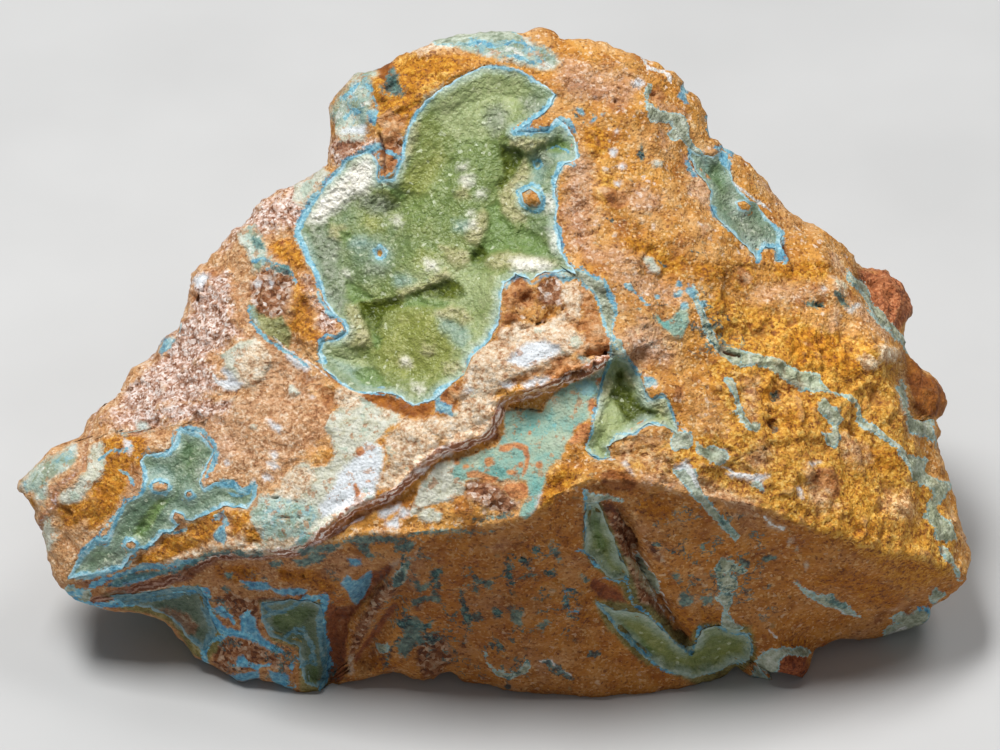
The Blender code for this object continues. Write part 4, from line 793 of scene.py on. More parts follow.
        [(477, 350), (500, 340), (553, 337), (580, 333), (583, 343), (553, 360), (533, 370), (507, 380), (497, 393), (490, 430), (453, 447), (447, 443), (453, 423), (463, 390)],
        [(387, 443), (407, 440), (437, 443), (433, 457), (410, 477), (397, 490), (380, 490), (380, 473), (387, 463)],
        [(412, 57), (423, 47), (438, 41), (452, 43), (453, 51), (438, 54), (424, 59)],
        [(240, 548), (270, 540), (300, 534), (318, 530), (322, 536), (300, 544), (270, 550), (244, 554)],
        [(336, 388), (352, 384), (366, 392), (358, 408), (342, 410), (334, 400)], [(290, 480), (304, 476), (312, 484), (302, 494), (290, 490)],
        [(564, 284), (577.5, 284), (577.5, 290), (581, 299), (577.5, 307), (581, 316), (576, 321), (568.5, 319), (565.5, 325.5), (584, 334.5), (582.5,
         342.5), (574.5, 344), (573, 353), (565.5, 354.5), (556, 356), (548.5, 364), (537.5, 367), (528.5, 367), (522.5, 371.5), (513, 374.5), (507,
         381), (497.5, 384), (504, 387), (494.5, 393), (482.5, 391.5), (474.5, 387), (471.5, 382.5), (479, 376), (477.5, 365.5), (481, 357.5), (497.5,
         347), (502.5, 331.5), (513, 324), (525.5, 322.5), (537.5, 327), (550, 321), (561, 316), (565.5, 308.5), (562.5, 297.5)],
        [(286, 474.5), (298.5, 464), (311, 468.5), (317, 477.5), (307.5, 491.5), (295.5, 499), (280, 496), (277, 490)],
        [(292.5, 530), (297, 521), (301.5, 522.5), (300, 531.5), (292.5, 534.5)],
        [(281.5, 542.5), (289, 537.5), (292.5, 542.5), (286, 545.5)],
        [(258.5, 524), (266, 525.5), (264.5, 531.5), (260, 530)],
        [(166, 565.5), (178.5, 556), (194, 551.5), (207.5, 547), (214, 544), (221.5, 547), (215.5, 551.5), (203, 556), (191, 561), (178.5, 564)],
        [(227.5, 541), (243, 537.5), (246, 545.5), (234, 548.5), (224.5, 547.5)],
        [(384.5, 437.5), (400, 425.5), (400, 462.5), (387.5, 465.5), (381.5, 471.5), (386, 456)],
        [(454, 412.5), (472.5, 403), (486, 407.5), (492.5, 414), (494, 423), (491, 434), (477, 437), (461.5, 438.5), (452.5, 443), (440, 438.5),
         (427.5, 431), (400, 418.5), (400, 431), (409, 444.5), (400, 454), (400, 441.5), (418.5, 426), (431, 418.5), (446, 420)],
        [(872.5, 347), (884.5, 344), (898.5, 353), (892.5, 361), (878.5, 362.5)],
        [(857, 357.5), (869, 356), (878.5, 362.5), (875.5, 368.5), (863, 368.5)],
        [(400, 420), (421.5, 420), (440, 440), (434, 447.5), (435.5, 454), (418.5, 463), (403, 478.5), (400, 478.5)],
        [(335.5, 544), (347.5, 536), (357, 530), (372.5, 531), (391, 530), (400, 531.5), (400, 534), (372.5, 533.5), (358.5, 533), (347.5, 539), (337,
         546)],
        [(637, 217.5), (646, 219), (646, 224), (637, 224)],
        [(326, 537.5), (332.5, 536), (334, 541), (327.5, 542.5)],
        [(239, 358.5), (245.5, 351), (254.5, 343), (261, 341.5), (270, 351), (271.5, 361.5), (265.5, 369), (262.5, 380), (254.5, 386), (245.5, 386),
         (239, 380), (237.5, 367.5)],
        [(381.5, 407), (391, 410), (391, 419), (381.5, 421)],
        [(829, 279), (838.5, 277.5), (847.5, 285.5), (846, 294.5), (835.5, 294.5), (831, 287)],
        [(530, 134), (548, 130), (556, 138), (544, 146), (528, 144)],
    ],
    # grey-pink sugary quartz
    "sugar": [
        [(265, 194), (284, 192), (307, 181), (318, 192), (307, 211), (293, 231), (271, 233), (257, 225), (243, 233), (232, 242), (221, 256), (218, 247), (243, 219)],
        [(196, 272), (215, 262), (228, 270), (234, 290), (238, 318), (242, 336), (228, 345), (215, 360), (222, 378), (226, 390), (208, 395), (190,
         405), (165, 412), (135, 415), (112, 412), (120, 395), (148, 362), (165, 338), (182, 318), (190, 292)],
        [(304, 276), (316, 284), (324, 300), (338, 318), (342, 330), (330, 334), (320, 322), (308, 300)],
        [(330, 140), (352, 136), (378, 142), (378, 158), (352, 160), (334, 172)],
        [(318, 168), (290, 186), (262, 210), (250, 222), (262, 234), (286, 226), (304, 206), (322, 188)],
        [(120, 404), (150, 396), (200, 398), (232, 402), (228, 414), (190, 424), (150, 428), (116, 432), (104, 424)],
    ],
    # pale ground full of brown specks
    "speckled": [
        [(253, 278), (262, 268), (280, 266), (293, 276), (292, 296), (284, 310), (270, 312), (258, 304), (250, 292)],
        [(382, 132), (394, 128), (402, 134), (404, 150), (398, 164), (390, 174), (383, 168), (380, 150)],
        [(248.5, 278.5), (257.5, 281.5), (273, 274), (288.5, 272.5), (294.5, 280), (293, 297), (285.5, 306), (284, 315.5), (273, 318.5), (257.5,
         315.5), (251.5, 306), (248.5, 294)],
        [(334.5, 141.5), (347, 135.5), (363, 134.5), (367, 138.5), (363, 147), (351.5, 153), (340, 160), (335.5, 155.5)],
        [(537.5, 282.5), (547, 279), (556, 276), (562.5, 285.5), (561, 297.5), (562.5, 305.5), (547, 307), (537.5, 301), (536, 288.5)],
        [(467.5, 478.5), (486, 481.5), (498.5, 487.5), (507.5, 497), (520, 503), (507.5, 512.5), (492.5, 509), (477, 503), (466, 498.5), (466,
         487.5)],
        [(304, 271), (313, 275.5), (316, 287.5), (310, 287.5), (305.5, 281.5)],
        [(375.5, 587.5), (387.5, 581.5), (397, 581.5), (397, 591), (387.5, 600), (378.5, 612.5), (371, 624.5), (366, 637), (357, 652.5), (354, 664.5),
         (351, 678.5), (346, 674), (347.5, 658.5), (351, 643), (357, 627.5), (363, 615.5), (371, 603)],
        [(598.5, 502.5), (611, 499), (620, 511.5), (626, 522.5), (635.5, 536), (637, 550), (632.5, 550), (634, 562.5), (644.5, 581), (657, 601), (666,
         616), (675.5, 631.5), (687.5, 647), (684.5, 648.5), (672.5, 636), (660, 621), (646, 608.5), (632.5, 601), (631, 588.5), (626, 577.5), (621.5,
         562.5), (614, 544), (607.5, 528.5), (603, 516)],
        [(211, 647.5), (220, 640), (234, 637), (249, 640), (260, 644.5), (260, 667.5), (244.5, 672.5), (229, 672.5), (214, 666)],
        [(240, 638.5), (252.5, 643), (264.5, 649), (280, 655.5), (287.5, 661.5), (287.5, 672.5), (274, 667.5), (264.5, 660), (252.5, 655.5), (240,
         651)],
        [(415.5, 637), (427.5, 631), (440, 632.5), (440, 674), (431, 677), (421.5, 674), (415.5, 663), (417, 652.5)],
        [(423, 631.5), (440, 636), (452.5, 647), (452.5, 662.5), (437, 670), (424.5, 673), (417, 662.5), (424.5, 651.5)],
        [(414, 605.5), (423, 599), (424.5, 602.5), (420, 610), (414, 610)],
        [(460, 647), (466, 636), (469, 637.5), (464.5, 648.5)],
        [(212.5, 597), (229, 594), (244.5, 595.5), (260, 598.5), (260, 638.5), (244.5, 626), (229, 611), (214, 604.5)],
        [(646, 536), (660, 551.5), (671, 567), (666, 568.5), (654, 556), (646, 544)],
    ],
    # soft pink-grey ground
    "rose": [
        [(112, 430), (150, 412), (230, 398), (300, 380), (335, 404), (326, 440), (300, 462), (262, 480), (225, 474), (190, 420), (150, 432)],
        [(250, 360), (290, 352), (320, 380), (300, 400), (262, 396)],
        [(622, 192), (640, 188), (657, 196), (654, 210), (636, 214), (622, 206)],
        [(755, 286), (786, 284), (817, 290), (812, 304), (780, 306), (756, 298)],
        [(600, 262), (640, 270), (690, 290), (680, 302), (640, 296), (610, 282)],
        [(560, 130), (590, 160), (600, 220), (590, 250), (572, 252), (560, 220), (566, 180)],
        [(850, 300), (880, 310), (896, 336), (880, 340), (858, 326)],
        [(640, 470), (700, 480), (760, 500), (750, 510), (690, 496), (640, 484)],
        [(560, 60), (610, 66), (640, 90), (620, 110), (580, 100), (556, 80)],
        [(627.5, 199), (640, 197.5), (652.5, 202.5), (652.5, 211.5), (640, 213), (627.5, 207)],
        [(583, 247), (606, 245.5), (637, 256), (655.5, 270), (652.5, 276), (624.5, 270), (598.5, 264), (583, 256)],
        [(767.5, 285.5), (798.5, 284), (826, 290), (826, 301), (798.5, 301), (774, 297.5)],
        [(741.5, 380), (757, 380), (757, 401.5), (747.5, 420), (743, 407.5)],
        [(846, 435.5), (864.5, 444.5), (867.5, 460), (855.5, 466), (843, 454)],
        [(806, 472.5), (818.5, 484.5), (827.5, 497), (840, 504.5), (818.5, 511), (807.5, 500), (804.5, 484.5)],
        [(757, 447.5), (771, 447.5), (769, 466), (751, 469), (747.5, 457)],
        [(883, 491), (912.5, 497), (917, 515.5), (895.5, 521.5), (880, 506)],
        [(591, 71), (624.5, 67.5), (640, 80), (624.5, 91), (597, 89)],
        [(655.5, 101.5), (683, 114), (680, 115.5), (658.5, 111)],
        [(627.5, 340), (655.5, 340), (677, 352.5), (667.5, 364.5), (643, 361.5), (627.5, 349)],
        [(634, 457), (652.5, 447.5), (671, 457), (667.5, 469), (646, 469)],
    ],
    # small rusty islets inside the turquoise
    "islet": [
        [(498.5, 446), (517, 443), (527.5, 447.5), (531, 460), (527.5, 472.5), (521.5, 478.5), (523, 469), (526, 460), (523, 451), (514, 448.5), (506,
         453), (500, 452.5)],
        [(494, 463.5), (491, 466.5), (486.5, 466.5), (484, 463), (485.5, 459), (489.5, 457.5), (493.5, 459.5)],
        [(516, 474), (513, 475.5), (509, 475.5), (507, 473.5), (508, 471), (512, 470.5), (515.5, 471.5)],
        [(543.5, 466.5), (541, 469), (537, 469), (534.5, 466), (536, 462.5), (539.5, 461.5), (543, 463)],
        [(460, 464), (458, 465.5), (455, 465.5), (453.5, 463.5), (454.5, 461), (457, 460.5), (459.5, 461.5)],
        [(469.5, 468), (467.5, 470), (464.5, 469.5), (462.5, 467.5), (463.5, 465), (466.5, 464), (469, 465)],
        [(532, 434.5), (530, 435.5), (528.5, 434.5), (529, 432.5), (531, 432.5)],
        [(466, 472.5), (477, 471), (486, 474), (498.5, 478.5), (492.5, 483), (480, 478.5), (467.5, 478.5)],
        [(594.5, 377), (604.5, 377), (604, 386), (596, 385.5)],
        [(591, 399), (594, 398.5), (594.5, 409), (591.5, 412.5)],
        [(580, 424), (589, 424.5), (589, 432.5), (581.5, 434), (578.5, 429)],
        [(354, 486), (357, 484), (361.5, 494.5), (357, 497)],
        [(372, 482), (369.5, 483), (366.5, 482), (367.5, 480.5), (371, 480.5)],
        [(366, 453), (362.5, 456.5), (358, 456.5), (355.5, 452.5), (357, 448), (361, 446), (365, 448.5)],
        [(504.5, 484.5), (523, 483), (529, 487.5), (527.5, 497), (517, 500), (507.5, 494)],
        [(525.5, 467), (523, 469), (519.5, 469), (517.5, 466.5), (518.5, 464), (522, 463), (525, 464.5)],
        [(583, 424.5), (591, 424.5), (589, 438.5), (578.5, 444.5), (567.5, 446), (572.5, 438.5)],
        [(589, 400), (593, 398.5), (592.5, 411), (589.5, 411)],
    ],
    # broad yellow ochre ground
    "ochre": [
        [(700, 300), (760, 306), (830, 330), (880, 340), (898, 366), (900, 410), (930, 470), (955, 530), (955, 580), (900, 590), (850, 545), (800,
         526), (750, 506), (700, 490), (660, 476), (620, 470), (640, 448), (690, 440), (730, 430), (716, 400), (704, 372), (720, 352), (704, 326)],
        [(540, 476), (556, 468), (580, 470), (592, 476), (580, 484), (562, 490), (548, 505), (538, 510), (544, 494)],
        [(232, 286), (244, 290), (248, 300), (246, 312), (238, 308), (232, 298)],
        [(302, 402), (318, 398), (330, 412), (330, 436), (316, 444), (302, 430)],
        [(588, 128), (606, 130), (612, 148), (604, 162), (588, 158), (582, 142)],
        [(600, 170), (616, 176), (622, 200), (614, 212), (602, 204), (596, 184)],
        [(392, 466), (408, 462), (412, 474), (404, 488), (388, 494), (380, 486)],
        [(372, 72), (400, 58), (430, 52), (455, 60), (470, 66), (448, 82), (430, 98), (414, 112), (404, 130), (398, 150), (392, 172), (382, 178),
         (376, 160), (378, 140), (374, 118), (370, 95)],
        [(700, 608), (716, 606), (728, 616), (722, 624), (704, 624)],
        [(626, 240), (650, 238), (672, 250), (684, 262), (682, 274), (664, 274), (646, 262), (630, 252)],
        [(730, 262), (746, 262), (756, 272), (754, 286), (740, 286), (730, 276)],
        [(772, 270), (800, 266), (828, 270), (822, 282), (796, 284), (776, 280)],
    ],
    # strong orange patches
    "orange": [
        [(271, 242), (282, 236), (296, 242), (305, 256), (307, 269), (298, 272), (287, 264), (275, 256), (268, 250)],
        [(100, 440), (122, 432), (146, 436), (150, 452), (142, 470), (128, 488), (112, 512), (98, 530), (86, 532), (86, 510), (92, 470)],
        [(308, 405), (322, 396), (334, 392), (328, 412), (312, 430), (304, 424)], [(250, 520), (262, 512), (276, 518), (286, 512), (300, 512), (296, 524), (276, 532), (258, 530)],
        [(267, 244.5), (277.5, 237), (291.5, 238.5), (297.5, 246), (304, 251), (305.5, 260), (297.5, 267.5), (288.5, 264.5), (281, 260), (271.5,
         255.5)],
        [(295.5, 445.5), (304.5, 436), (311, 427), (320, 419), (331, 411.5), (331, 417.5), (326, 428.5), (323, 436), (314, 439), (304.5, 444)],
        [(583, 197.5), (598.5, 197.5), (600, 210), (591, 214.5), (583, 210)],
        [(621.5, 239), (652.5, 239), (658.5, 250), (652.5, 256), (640, 256), (627.5, 251.5)],
        [(652.5, 254.5), (667.5, 253), (684.5, 256), (683, 268.5), (671, 273), (658.5, 268.5)],
        [(774, 266), (797, 263), (827.5, 261.5), (824.5, 275.5), (803, 281.5), (784.5, 278.5), (775.5, 272.5)],
        [(775.5, 270), (826, 270), (820, 279), (786, 281), (777, 276)],
        [(789, 334.5), (804.5, 328.5), (826, 334.5), (847.5, 336), (835.5, 350), (814, 356), (801.5, 365.5), (792.5, 356), (786, 344)],
        [(823, 350), (847.5, 353), (872.5, 365.5), (863, 374.5), (847.5, 377.5), (826, 368.5)],
        [(580, 129), (594, 126), (606, 132.5), (607.5, 147.5), (594, 154), (581.5, 144.5)],
        [(743, 389), (763, 386), (775.5, 389), (771, 401.5), (754, 404.5)],
        [(854, 524.5), (874, 521.5), (880, 531), (867.5, 538.5), (855.5, 534)],
        [(867.5, 446), (897, 447.5), (901.5, 466), (883, 472.5), (867.5, 466)],
        [(781.5, 411), (806, 404.5), (815.5, 420), (800, 429), (784.5, 424.5)],
        [(547.5, 478.5), (563, 466), (577, 466), (577, 478.5), (569, 484.5), (560, 497), (547.5, 503), (538.5, 503), (544.5, 487.5)],
        [(740, 270), (755.5, 273), (755.5, 285.5), (740, 288.5)],
        [(711, 290), (729, 290), (731, 308.5), (714, 308.5)],
        [(25.5, 497), (31.5, 495.5), (37.5, 498.5), (37, 506), (30, 507.5)],
        [(99, 418.5), (111.5, 417), (113, 426), (105.5, 431), (99, 426)],
        [(229, 521), (235.5, 516), (243, 513), (251, 511.5), (252.5, 517.5), (251, 524), (244.5, 528.5), (241.5, 534.5), (234, 537.5), (229, 533)],
        [(243, 531.5), (249, 525.5), (255.5, 525.5), (263, 530), (263, 539), (257, 545.5), (249, 545.5), (246, 539)],
        [(293, 269), (301, 271), (308.5, 284.5), (313, 297), (316, 312.5), (316, 327.5), (327, 334), (316, 346), (305.5, 341.5), (294.5, 334), (288.5,
         326), (291.5, 312.5), (293, 297), (294.5, 281.5)],
        [(56, 507.5), (68.5, 503), (82.5, 501.5), (93, 491), (102.5, 478.5), (117.5, 481.5), (111.5, 495.5), (96, 504.5), (87, 517), (77.5, 523),
         (65.5, 529), (59, 529)],
        [(692.5, 262.5), (723, 262.5), (729, 277.5), (704.5, 284), (692.5, 274.5)],
        [(368.5, 93), (377, 78.5), (385.5, 68.5), (400, 64.5), (414.5, 58.5), (443, 53), (478.5, 53), (478.5, 58.5), (457, 75.5), (428.5, 74.5),
         (421.5, 93), (411.5, 115.5), (405.5, 124.5), (391.5, 111.5), (380, 110), (373, 104.5)],
        [(134, 564), (137, 556), (147.5, 553), (155.5, 547), (160, 537.5), (172.5, 534.5), (186, 534.5), (187.5, 525.5), (194, 522.5), (203, 516),
         (212.5, 511.5), (220, 507), (227.5, 510), (240, 511.5), (249, 511.5), (234, 517.5), (221.5, 522.5), (214, 531.5), (211, 541), (197, 548.5),
         (184.5, 551.5), (175.5, 557.5), (163, 564), (147.5, 568.5), (135.5, 569)],
        [(700, 611.5), (711, 613), (723, 616), (715.5, 624), (701.5, 625.5)],
        [(860, 591), (878.5, 594), (887.5, 603), (872.5, 603), (863, 598.5)],
        [(778.5, 638.5), (794, 635.5), (807.5, 638.5), (812.5, 646), (807.5, 651), (792.5, 649), (777, 647.5)],
        [(814, 572.5), (826, 575.5), (847.5, 566), (863, 572.5), (878.5, 578.5), (894, 587.5), (909, 597), (894, 607.5), (871, 606), (857, 597),
         (838.5, 587.5), (826, 591), (814, 584.5)],
        [(672.5, 608.5), (684.5, 605.5), (697, 617.5), (697, 639), (691, 648.5), (678.5, 630)],
        [(571, 611.5), (584.5, 608.5), (597, 614.5), (592.5, 625.5), (577, 627)],
        [(369, 658.5), (378.5, 651), (387.5, 647.5), (397, 658.5), (406, 664.5), (394, 671), (378.5, 672.5), (371, 671)],
        [(632.5, 505.5), (644.5, 501), (666, 501), (678.5, 510), (672.5, 521), (654, 521), (638.5, 516)],
        [(214, 566), (260, 564.5), (260, 584.5), (237, 581.5), (217, 580)],
        [(277, 567.5), (314, 571), (338.5, 584.5), (332.5, 600), (311, 587.5), (277, 581.5)],
    ],
    # brown iron oxide
    "brown": [
        [(600, 476), (612, 470), (630, 474), (642, 484), (632, 492), (616, 490), (604, 488)],
        [(170, 612), (186, 612), (200, 622), (198, 636), (182, 634), (172, 624)],
        [(376, 140), (386, 146), (398, 150), (394, 172), (384, 182), (376, 172)],
        [(262, 326), (276, 340), (290, 356), (312, 376), (330, 390), (350, 402), (340, 404), (316, 394), (294, 378), (274, 358), (254, 336)],
        [(597, 187), (611, 188.5), (627.5, 193), (627.5, 205.5), (618.5, 211.5), (609, 207), (604.5, 197.5)],
        [(625.5, 248.5), (632.5, 248.5), (634, 254), (627.5, 253)],
        [(651, 91), (660, 89), (666, 94), (664.5, 100), (655.5, 101.5), (651, 97)],
        [(606, 104.5), (618.5, 103), (621.5, 107.5), (612.5, 112.5)],
        [(594, 135.5), (600, 140), (601.5, 147.5), (595.5, 146)],
        [(800, 341), (807.5, 341), (811, 347), (804.5, 347)],
        [(912.5, 393), (921.5, 387), (930, 387), (930, 417.5), (918.5, 414.5), (911, 405.5)],
        [(812.5, 469), (827.5, 467.5), (840, 475.5), (841.5, 487.5), (837, 503), (827.5, 494), (818.5, 487.5), (809, 481.5)],
        [(732.5, 266), (741.5, 264.5), (754, 278.5), (744.5, 287.5), (735.5, 278.5)],
        [(320, 394.5), (331, 390), (347.5, 393), (341.5, 401), (338.5, 407), (332.5, 410), (326, 407), (321.5, 401)],
        [(233, 281.5), (242.5, 283), (248.5, 294), (247, 306), (248.5, 318.5), (261, 327.5), (270, 337), (273, 351), (282.5, 358.5), (288.5, 367.5),
         (285.5, 381.5), (267, 383), (267, 367.5), (270, 358.5), (264, 343), (257.5, 337), (245.5, 324.5), (236, 306), (233, 294)],
        [(205.5, 275.5), (214.5, 266), (224, 266), (221, 274), (211.5, 275.5), (208.5, 284.5), (204, 287.5)],
        [(188.5, 294), (194.5, 289), (202.5, 295.5), (196, 300), (188.5, 300)],
        [(601.5, 472.5), (618.5, 471), (629, 477), (626, 480), (603, 480)],
        [(76, 440), (84, 443), (87, 446), (84, 454), (84, 461.5), (87, 467.5), (79, 474), (74.5, 481.5), (68.5, 486), (62.5, 491), (59, 498.5), (57.5,
         507.5), (50, 514), (45.5, 523), (44, 538.5), (39, 535.5), (36, 526), (39, 517), (47, 511), (48.5, 498.5), (48.5, 486), (54.5, 481.5), (64,
         478.5), (71.5, 472.5), (76, 464.5), (79, 457), (79, 449)],
        [(44, 463), (53, 457), (61, 458.5), (56, 463), (47, 464.5)],
        [(39, 477.5), (37, 479.5), (33.5, 479.5), (31.5, 477.5), (32.5, 475), (35.5, 474), (38.5, 475.5)],
        [(27.5, 484.5), (25.5, 486), (22.5, 485.5), (21, 484), (21.5, 482.5), (24.5, 481.5), (27, 482.5)],
        [(502.5, 296), (510, 285.5), (516, 279), (522.5, 276), (528.5, 285.5), (534.5, 288.5), (536, 301), (531.5, 307), (519, 305.5), (510, 310),
         (522.5, 316), (519, 319), (510, 322.5), (504, 327), (501, 325.5), (504, 316), (505.5, 310), (504, 302.5)],
        [(513, 376), (528.5, 370), (544, 365.5), (562.5, 353), (574.5, 359), (593, 362.5), (591.5, 368.5), (577.5, 371.5), (565.5, 376), (553, 381),
         (547, 377.5), (537.5, 374.5), (525.5, 381), (516, 382.5), (507, 379)],
        [(577.5, 281), (584, 287), (593, 297.5), (597.5, 310), (601, 324), (608.5, 337.5), (610, 350), (607, 359), (596, 357.5), (608.5, 351.5), (599,
         354.5), (577.5, 356), (574.5, 350), (584, 342.5), (584, 331.5), (593, 322.5), (584, 316), (581, 307), (579, 290)],
        [(548.5, 342.5), (557.5, 336), (568.5, 337.5), (567, 342.5), (559, 347), (550, 345.5)],
        [(568.5, 324), (577.5, 322.5), (584, 317.5), (593, 321), (594.5, 325.5), (584, 331.5), (571.5, 329)],
        [(501, 327), (504, 331.5), (497.5, 344), (482.5, 351.5), (477.5, 362.5), (474.5, 374.5), (467, 387), (454.5, 390), (445.5, 390), (442.5, 400),
         (439, 400), (444, 390), (464, 384), (471.5, 368.5), (479, 350), (497.5, 337.5), (499, 330)],
        [(438.5, 389), (461.5, 384.5), (472.5, 387.5), (467.5, 397), (458.5, 401.5), (454, 411), (451, 417), (443, 415.5), (446, 409), (440, 401.5)],
        [(677, 386), (683, 386), (684.5, 398.5), (674, 400), (672.5, 395.5)],
        [(384.5, 113), (394.5, 111.5), (400, 118.5), (408.5, 115.5), (405.5, 127), (400, 135.5), (394.5, 144.5), (394.5, 153), (394.5, 163), (385.5,
         178.5), (380, 177), (380, 168.5), (383, 150), (383, 130), (377, 121.5)],
        [(907.5, 380), (935.5, 380), (920, 389), (911, 407.5), (907.5, 398.5)],
        [(212.5, 474.5), (218.5, 464), (221.5, 470), (212.5, 479), (203, 485.5), (200, 482.5)],
        [(130, 461.5), (142.5, 467.5), (144, 480), (139, 495.5), (131.5, 495.5), (127, 483)],
        [(400, 411), (437, 415.5), (452.5, 418.5), (446, 418.5), (418.5, 417), (400, 415.5)],
        [(492.5, 435.5), (495.5, 411), (498.5, 401.5), (507.5, 397), (498.5, 411), (498.5, 426), (501.5, 432.5), (498.5, 440), (486, 443), (454, 449),
         (437, 455.5), (431, 463), (415.5, 475.5), (403, 487.5), (400, 484.5), (409, 472.5), (427.5, 457), (438.5, 447.5), (461.5, 441.5), (486,
         437)],
        [(95.5, 599), (117, 590), (141.5, 585.5), (160, 581), (184.5, 571.5), (203, 565.5), (215.5, 557.5), (240, 553), (280, 553), (280, 557.5),
         (243, 557.5), (218.5, 564), (203, 571.5), (184.5, 579), (166, 585.5), (144.5, 591.5), (126, 596), (111, 600)],
        [(295.5, 548.5), (307.5, 537.5), (323, 528.5), (338.5, 517.5), (347.5, 513), (360, 505.5), (381.5, 496), (400, 491.5), (400, 502.5), (384.5,
         507), (378.5, 511.5), (360, 517.5), (347.5, 524), (332.5, 536), (317, 545.5), (307.5, 553)],
    ],
    # dark red-brown bands and hollows
    "rust": [
        [(86, 601.5), (98.5, 594), (121.5, 587.5), (146, 580), (167.5, 575.5), (191, 567.5), (206, 560), (229, 555.5), (260, 552.5), (260, 556.5),
         (237, 559.5), (221.5, 563), (206, 569), (191, 580), (167.5, 586), (146, 591), (121.5, 597), (103, 604.5), (97, 607.5), (91, 606)],
        [(72.5, 581), (87.5, 579), (109, 578.5), (127.5, 571), (126, 573), (111, 581.5), (100, 586), (87.5, 586), (74, 584.5)],
        [(240, 551.5), (255.5, 553), (274, 554), (286, 553), (298.5, 549), (307.5, 544.5), (326, 529), (338.5, 521.5), (347.5, 520), (357, 520),
         (347.5, 529), (335.5, 537), (323, 543), (311, 549), (301.5, 554.5), (286, 557), (264.5, 557.5), (240, 558.5)],
        [(252.5, 597), (271, 597), (291, 598.5), (306, 594), (301.5, 598.5), (291, 606), (277, 611), (266, 611), (260, 603)],
        [(326, 606), (332.5, 604), (340, 607), (354, 604.5), (354, 612.5), (347.5, 624.5), (347.5, 640), (346, 655.5), (344.5, 667.5), (343, 680),
         (332.5, 686), (326, 683), (329, 667.5), (327.5, 651), (324.5, 635.5), (323, 618.5)],
        [(372.5, 571), (387.5, 566), (395.5, 564.5), (391, 571), (378.5, 584.5), (371, 594), (363, 603), (354, 614), (347.5, 624.5), (347.5, 618.5),
         (354, 606), (363, 592.5), (369, 581.5)],
        [(394, 601.5), (398.5, 603), (387.5, 621.5), (375.5, 637), (363, 655.5), (355.5, 667.5), (354, 658.5), (363, 643), (372.5, 627.5), (384.5,
         612.5)],
        [(589, 587), (594, 581), (603, 584), (617, 588.5), (629, 602.5), (627.5, 610), (620, 608.5), (607.5, 602.5), (595.5, 594.5)],
        [(783, 655.5), (801.5, 654), (807.5, 658.5), (806, 677), (792.5, 680), (775.5, 681.5), (778.5, 666)],
        [(447.5, 563), (444.5, 564.5), (439.5, 564.5), (437, 562.5), (438.5, 560.5), (442.5, 560), (447, 561)],
        [(600, 587), (597, 591), (593, 590.5), (591, 586.5), (592, 581), (595.5, 579), (599, 582)],
    ],
    # red-brown knobs
    "red": [
        [(858, 268), (884, 272), (904, 284), (912, 300), (906, 318), (898, 332), (884, 326), (872, 306), (862, 286)],
        [(774, 655), (806, 655), (808, 680), (776, 684)],
        [(284.5, 243.5), (283, 245), (281, 245), (280, 243.5), (280.5, 241.5), (282.5, 241), (284, 242)],
        [(109.5, 423.5), (108, 425), (105.5, 425), (104, 423.5), (105, 421.5), (107, 421), (109, 422)],
        [(594, 377), (604.5, 377), (600, 384.5)],
        [(866, 282.5), (872.5, 281), (878.5, 288.5), (884.5, 294.5), (878.5, 296), (871, 290)],
        [(516, 279), (522.5, 276.5), (522.5, 281), (517.5, 284)],
    ],
    # deep amber
    "amber": [
        # the strip under the main pocket's lower rim: brown, and darkened as painted shade under the crust's edge
        [(322, 356), (345, 376), (370, 390), (400, 398), (425, 398), (438, 406), (430, 414), (410, 417), (380, 409), (350, 396), (326, 374)],
        [(366, 397), (382, 400), (398, 403), (414, 404), (428, 399), (432, 404), (416, 411), (396, 411), (378, 407), (364, 402)],
        # the knob at the right end: its own deep orange-brown, darkened further as painted shade where it is half in
        # shade
        [(902, 352), (912, 360), (924, 376), (940, 382), (950, 396), (948, 410), (938, 418), (922, 416), (912, 402), (904, 382)],
        [(604, 474), (612, 480), (628, 482), (634, 476), (622, 470), (610, 469)],
        [(376, 64), (392, 60), (398, 72), (390, 82), (377, 80)],
    ],
    # olive glassy ground
    "green": [
        [(248, 302), (258, 312), (272, 318), (284, 322), (288, 334), (280, 338), (268, 334), (256, 324), (247, 312)],
        [(100, 594), (150, 590), (200, 584), (212, 604), (226, 634), (208, 662), (190, 652), (172, 624), (140, 612), (106, 606)],
        [(258, 600), (326, 600), (330, 690), (320, 697), (300, 692), (298, 650), (270, 640)],
        [(584, 500), (600, 500), (614, 535), (634, 576), (640, 606), (630, 606), (622, 590), (600, 574), (588, 560), (582, 552)],
        [(592, 598), (650, 604), (690, 640), (700, 622), (752, 626), (758, 660), (700, 688), (640, 660), (606, 628)],
        [(248.5, 306), (254.5, 312.5), (257.5, 317), (273, 318.5), (282.5, 317), (285.5, 324.5), (291.5, 335.5), (288.5, 347.5), (282.5, 344.5), (267,
         335.5), (257.5, 327.5), (251.5, 318.5), (248.5, 312.5)],
        [(806, 377.5), (817, 376), (821.5, 384), (814, 388.5), (807.5, 385.5)],
        [(914, 463), (924.5, 463), (924.5, 475.5), (914, 475.5)],
        [(704.5, 449), (717, 447.5), (721.5, 452.5), (712.5, 457), (706, 455.5)],
        [(388.5, 73), (394.5, 71.5), (400, 84.5), (398.5, 90), (391.5, 93), (388.5, 87)],
    ],
    # grey-green veins
    "vein": [
        [(693, 285), (697, 300), (706, 322), (719, 345), (741, 350), (741, 367), (722, 358), (708, 340), (699, 318), (692, 298)],
        [(646, 91), (649, 84), (652, 86), (649, 94), (647, 101), (652, 106), (658, 111), (668, 113), (678, 115), (684, 119), (688, 126), (687, 135),
         (692, 145), (700, 152), (704, 160), (694, 156), (688, 146), (681, 140), (674, 140), (671, 134), (674, 129), (671, 123), (661, 121), (652,
         120), (648, 115), (645, 109), (644.5, 98)],
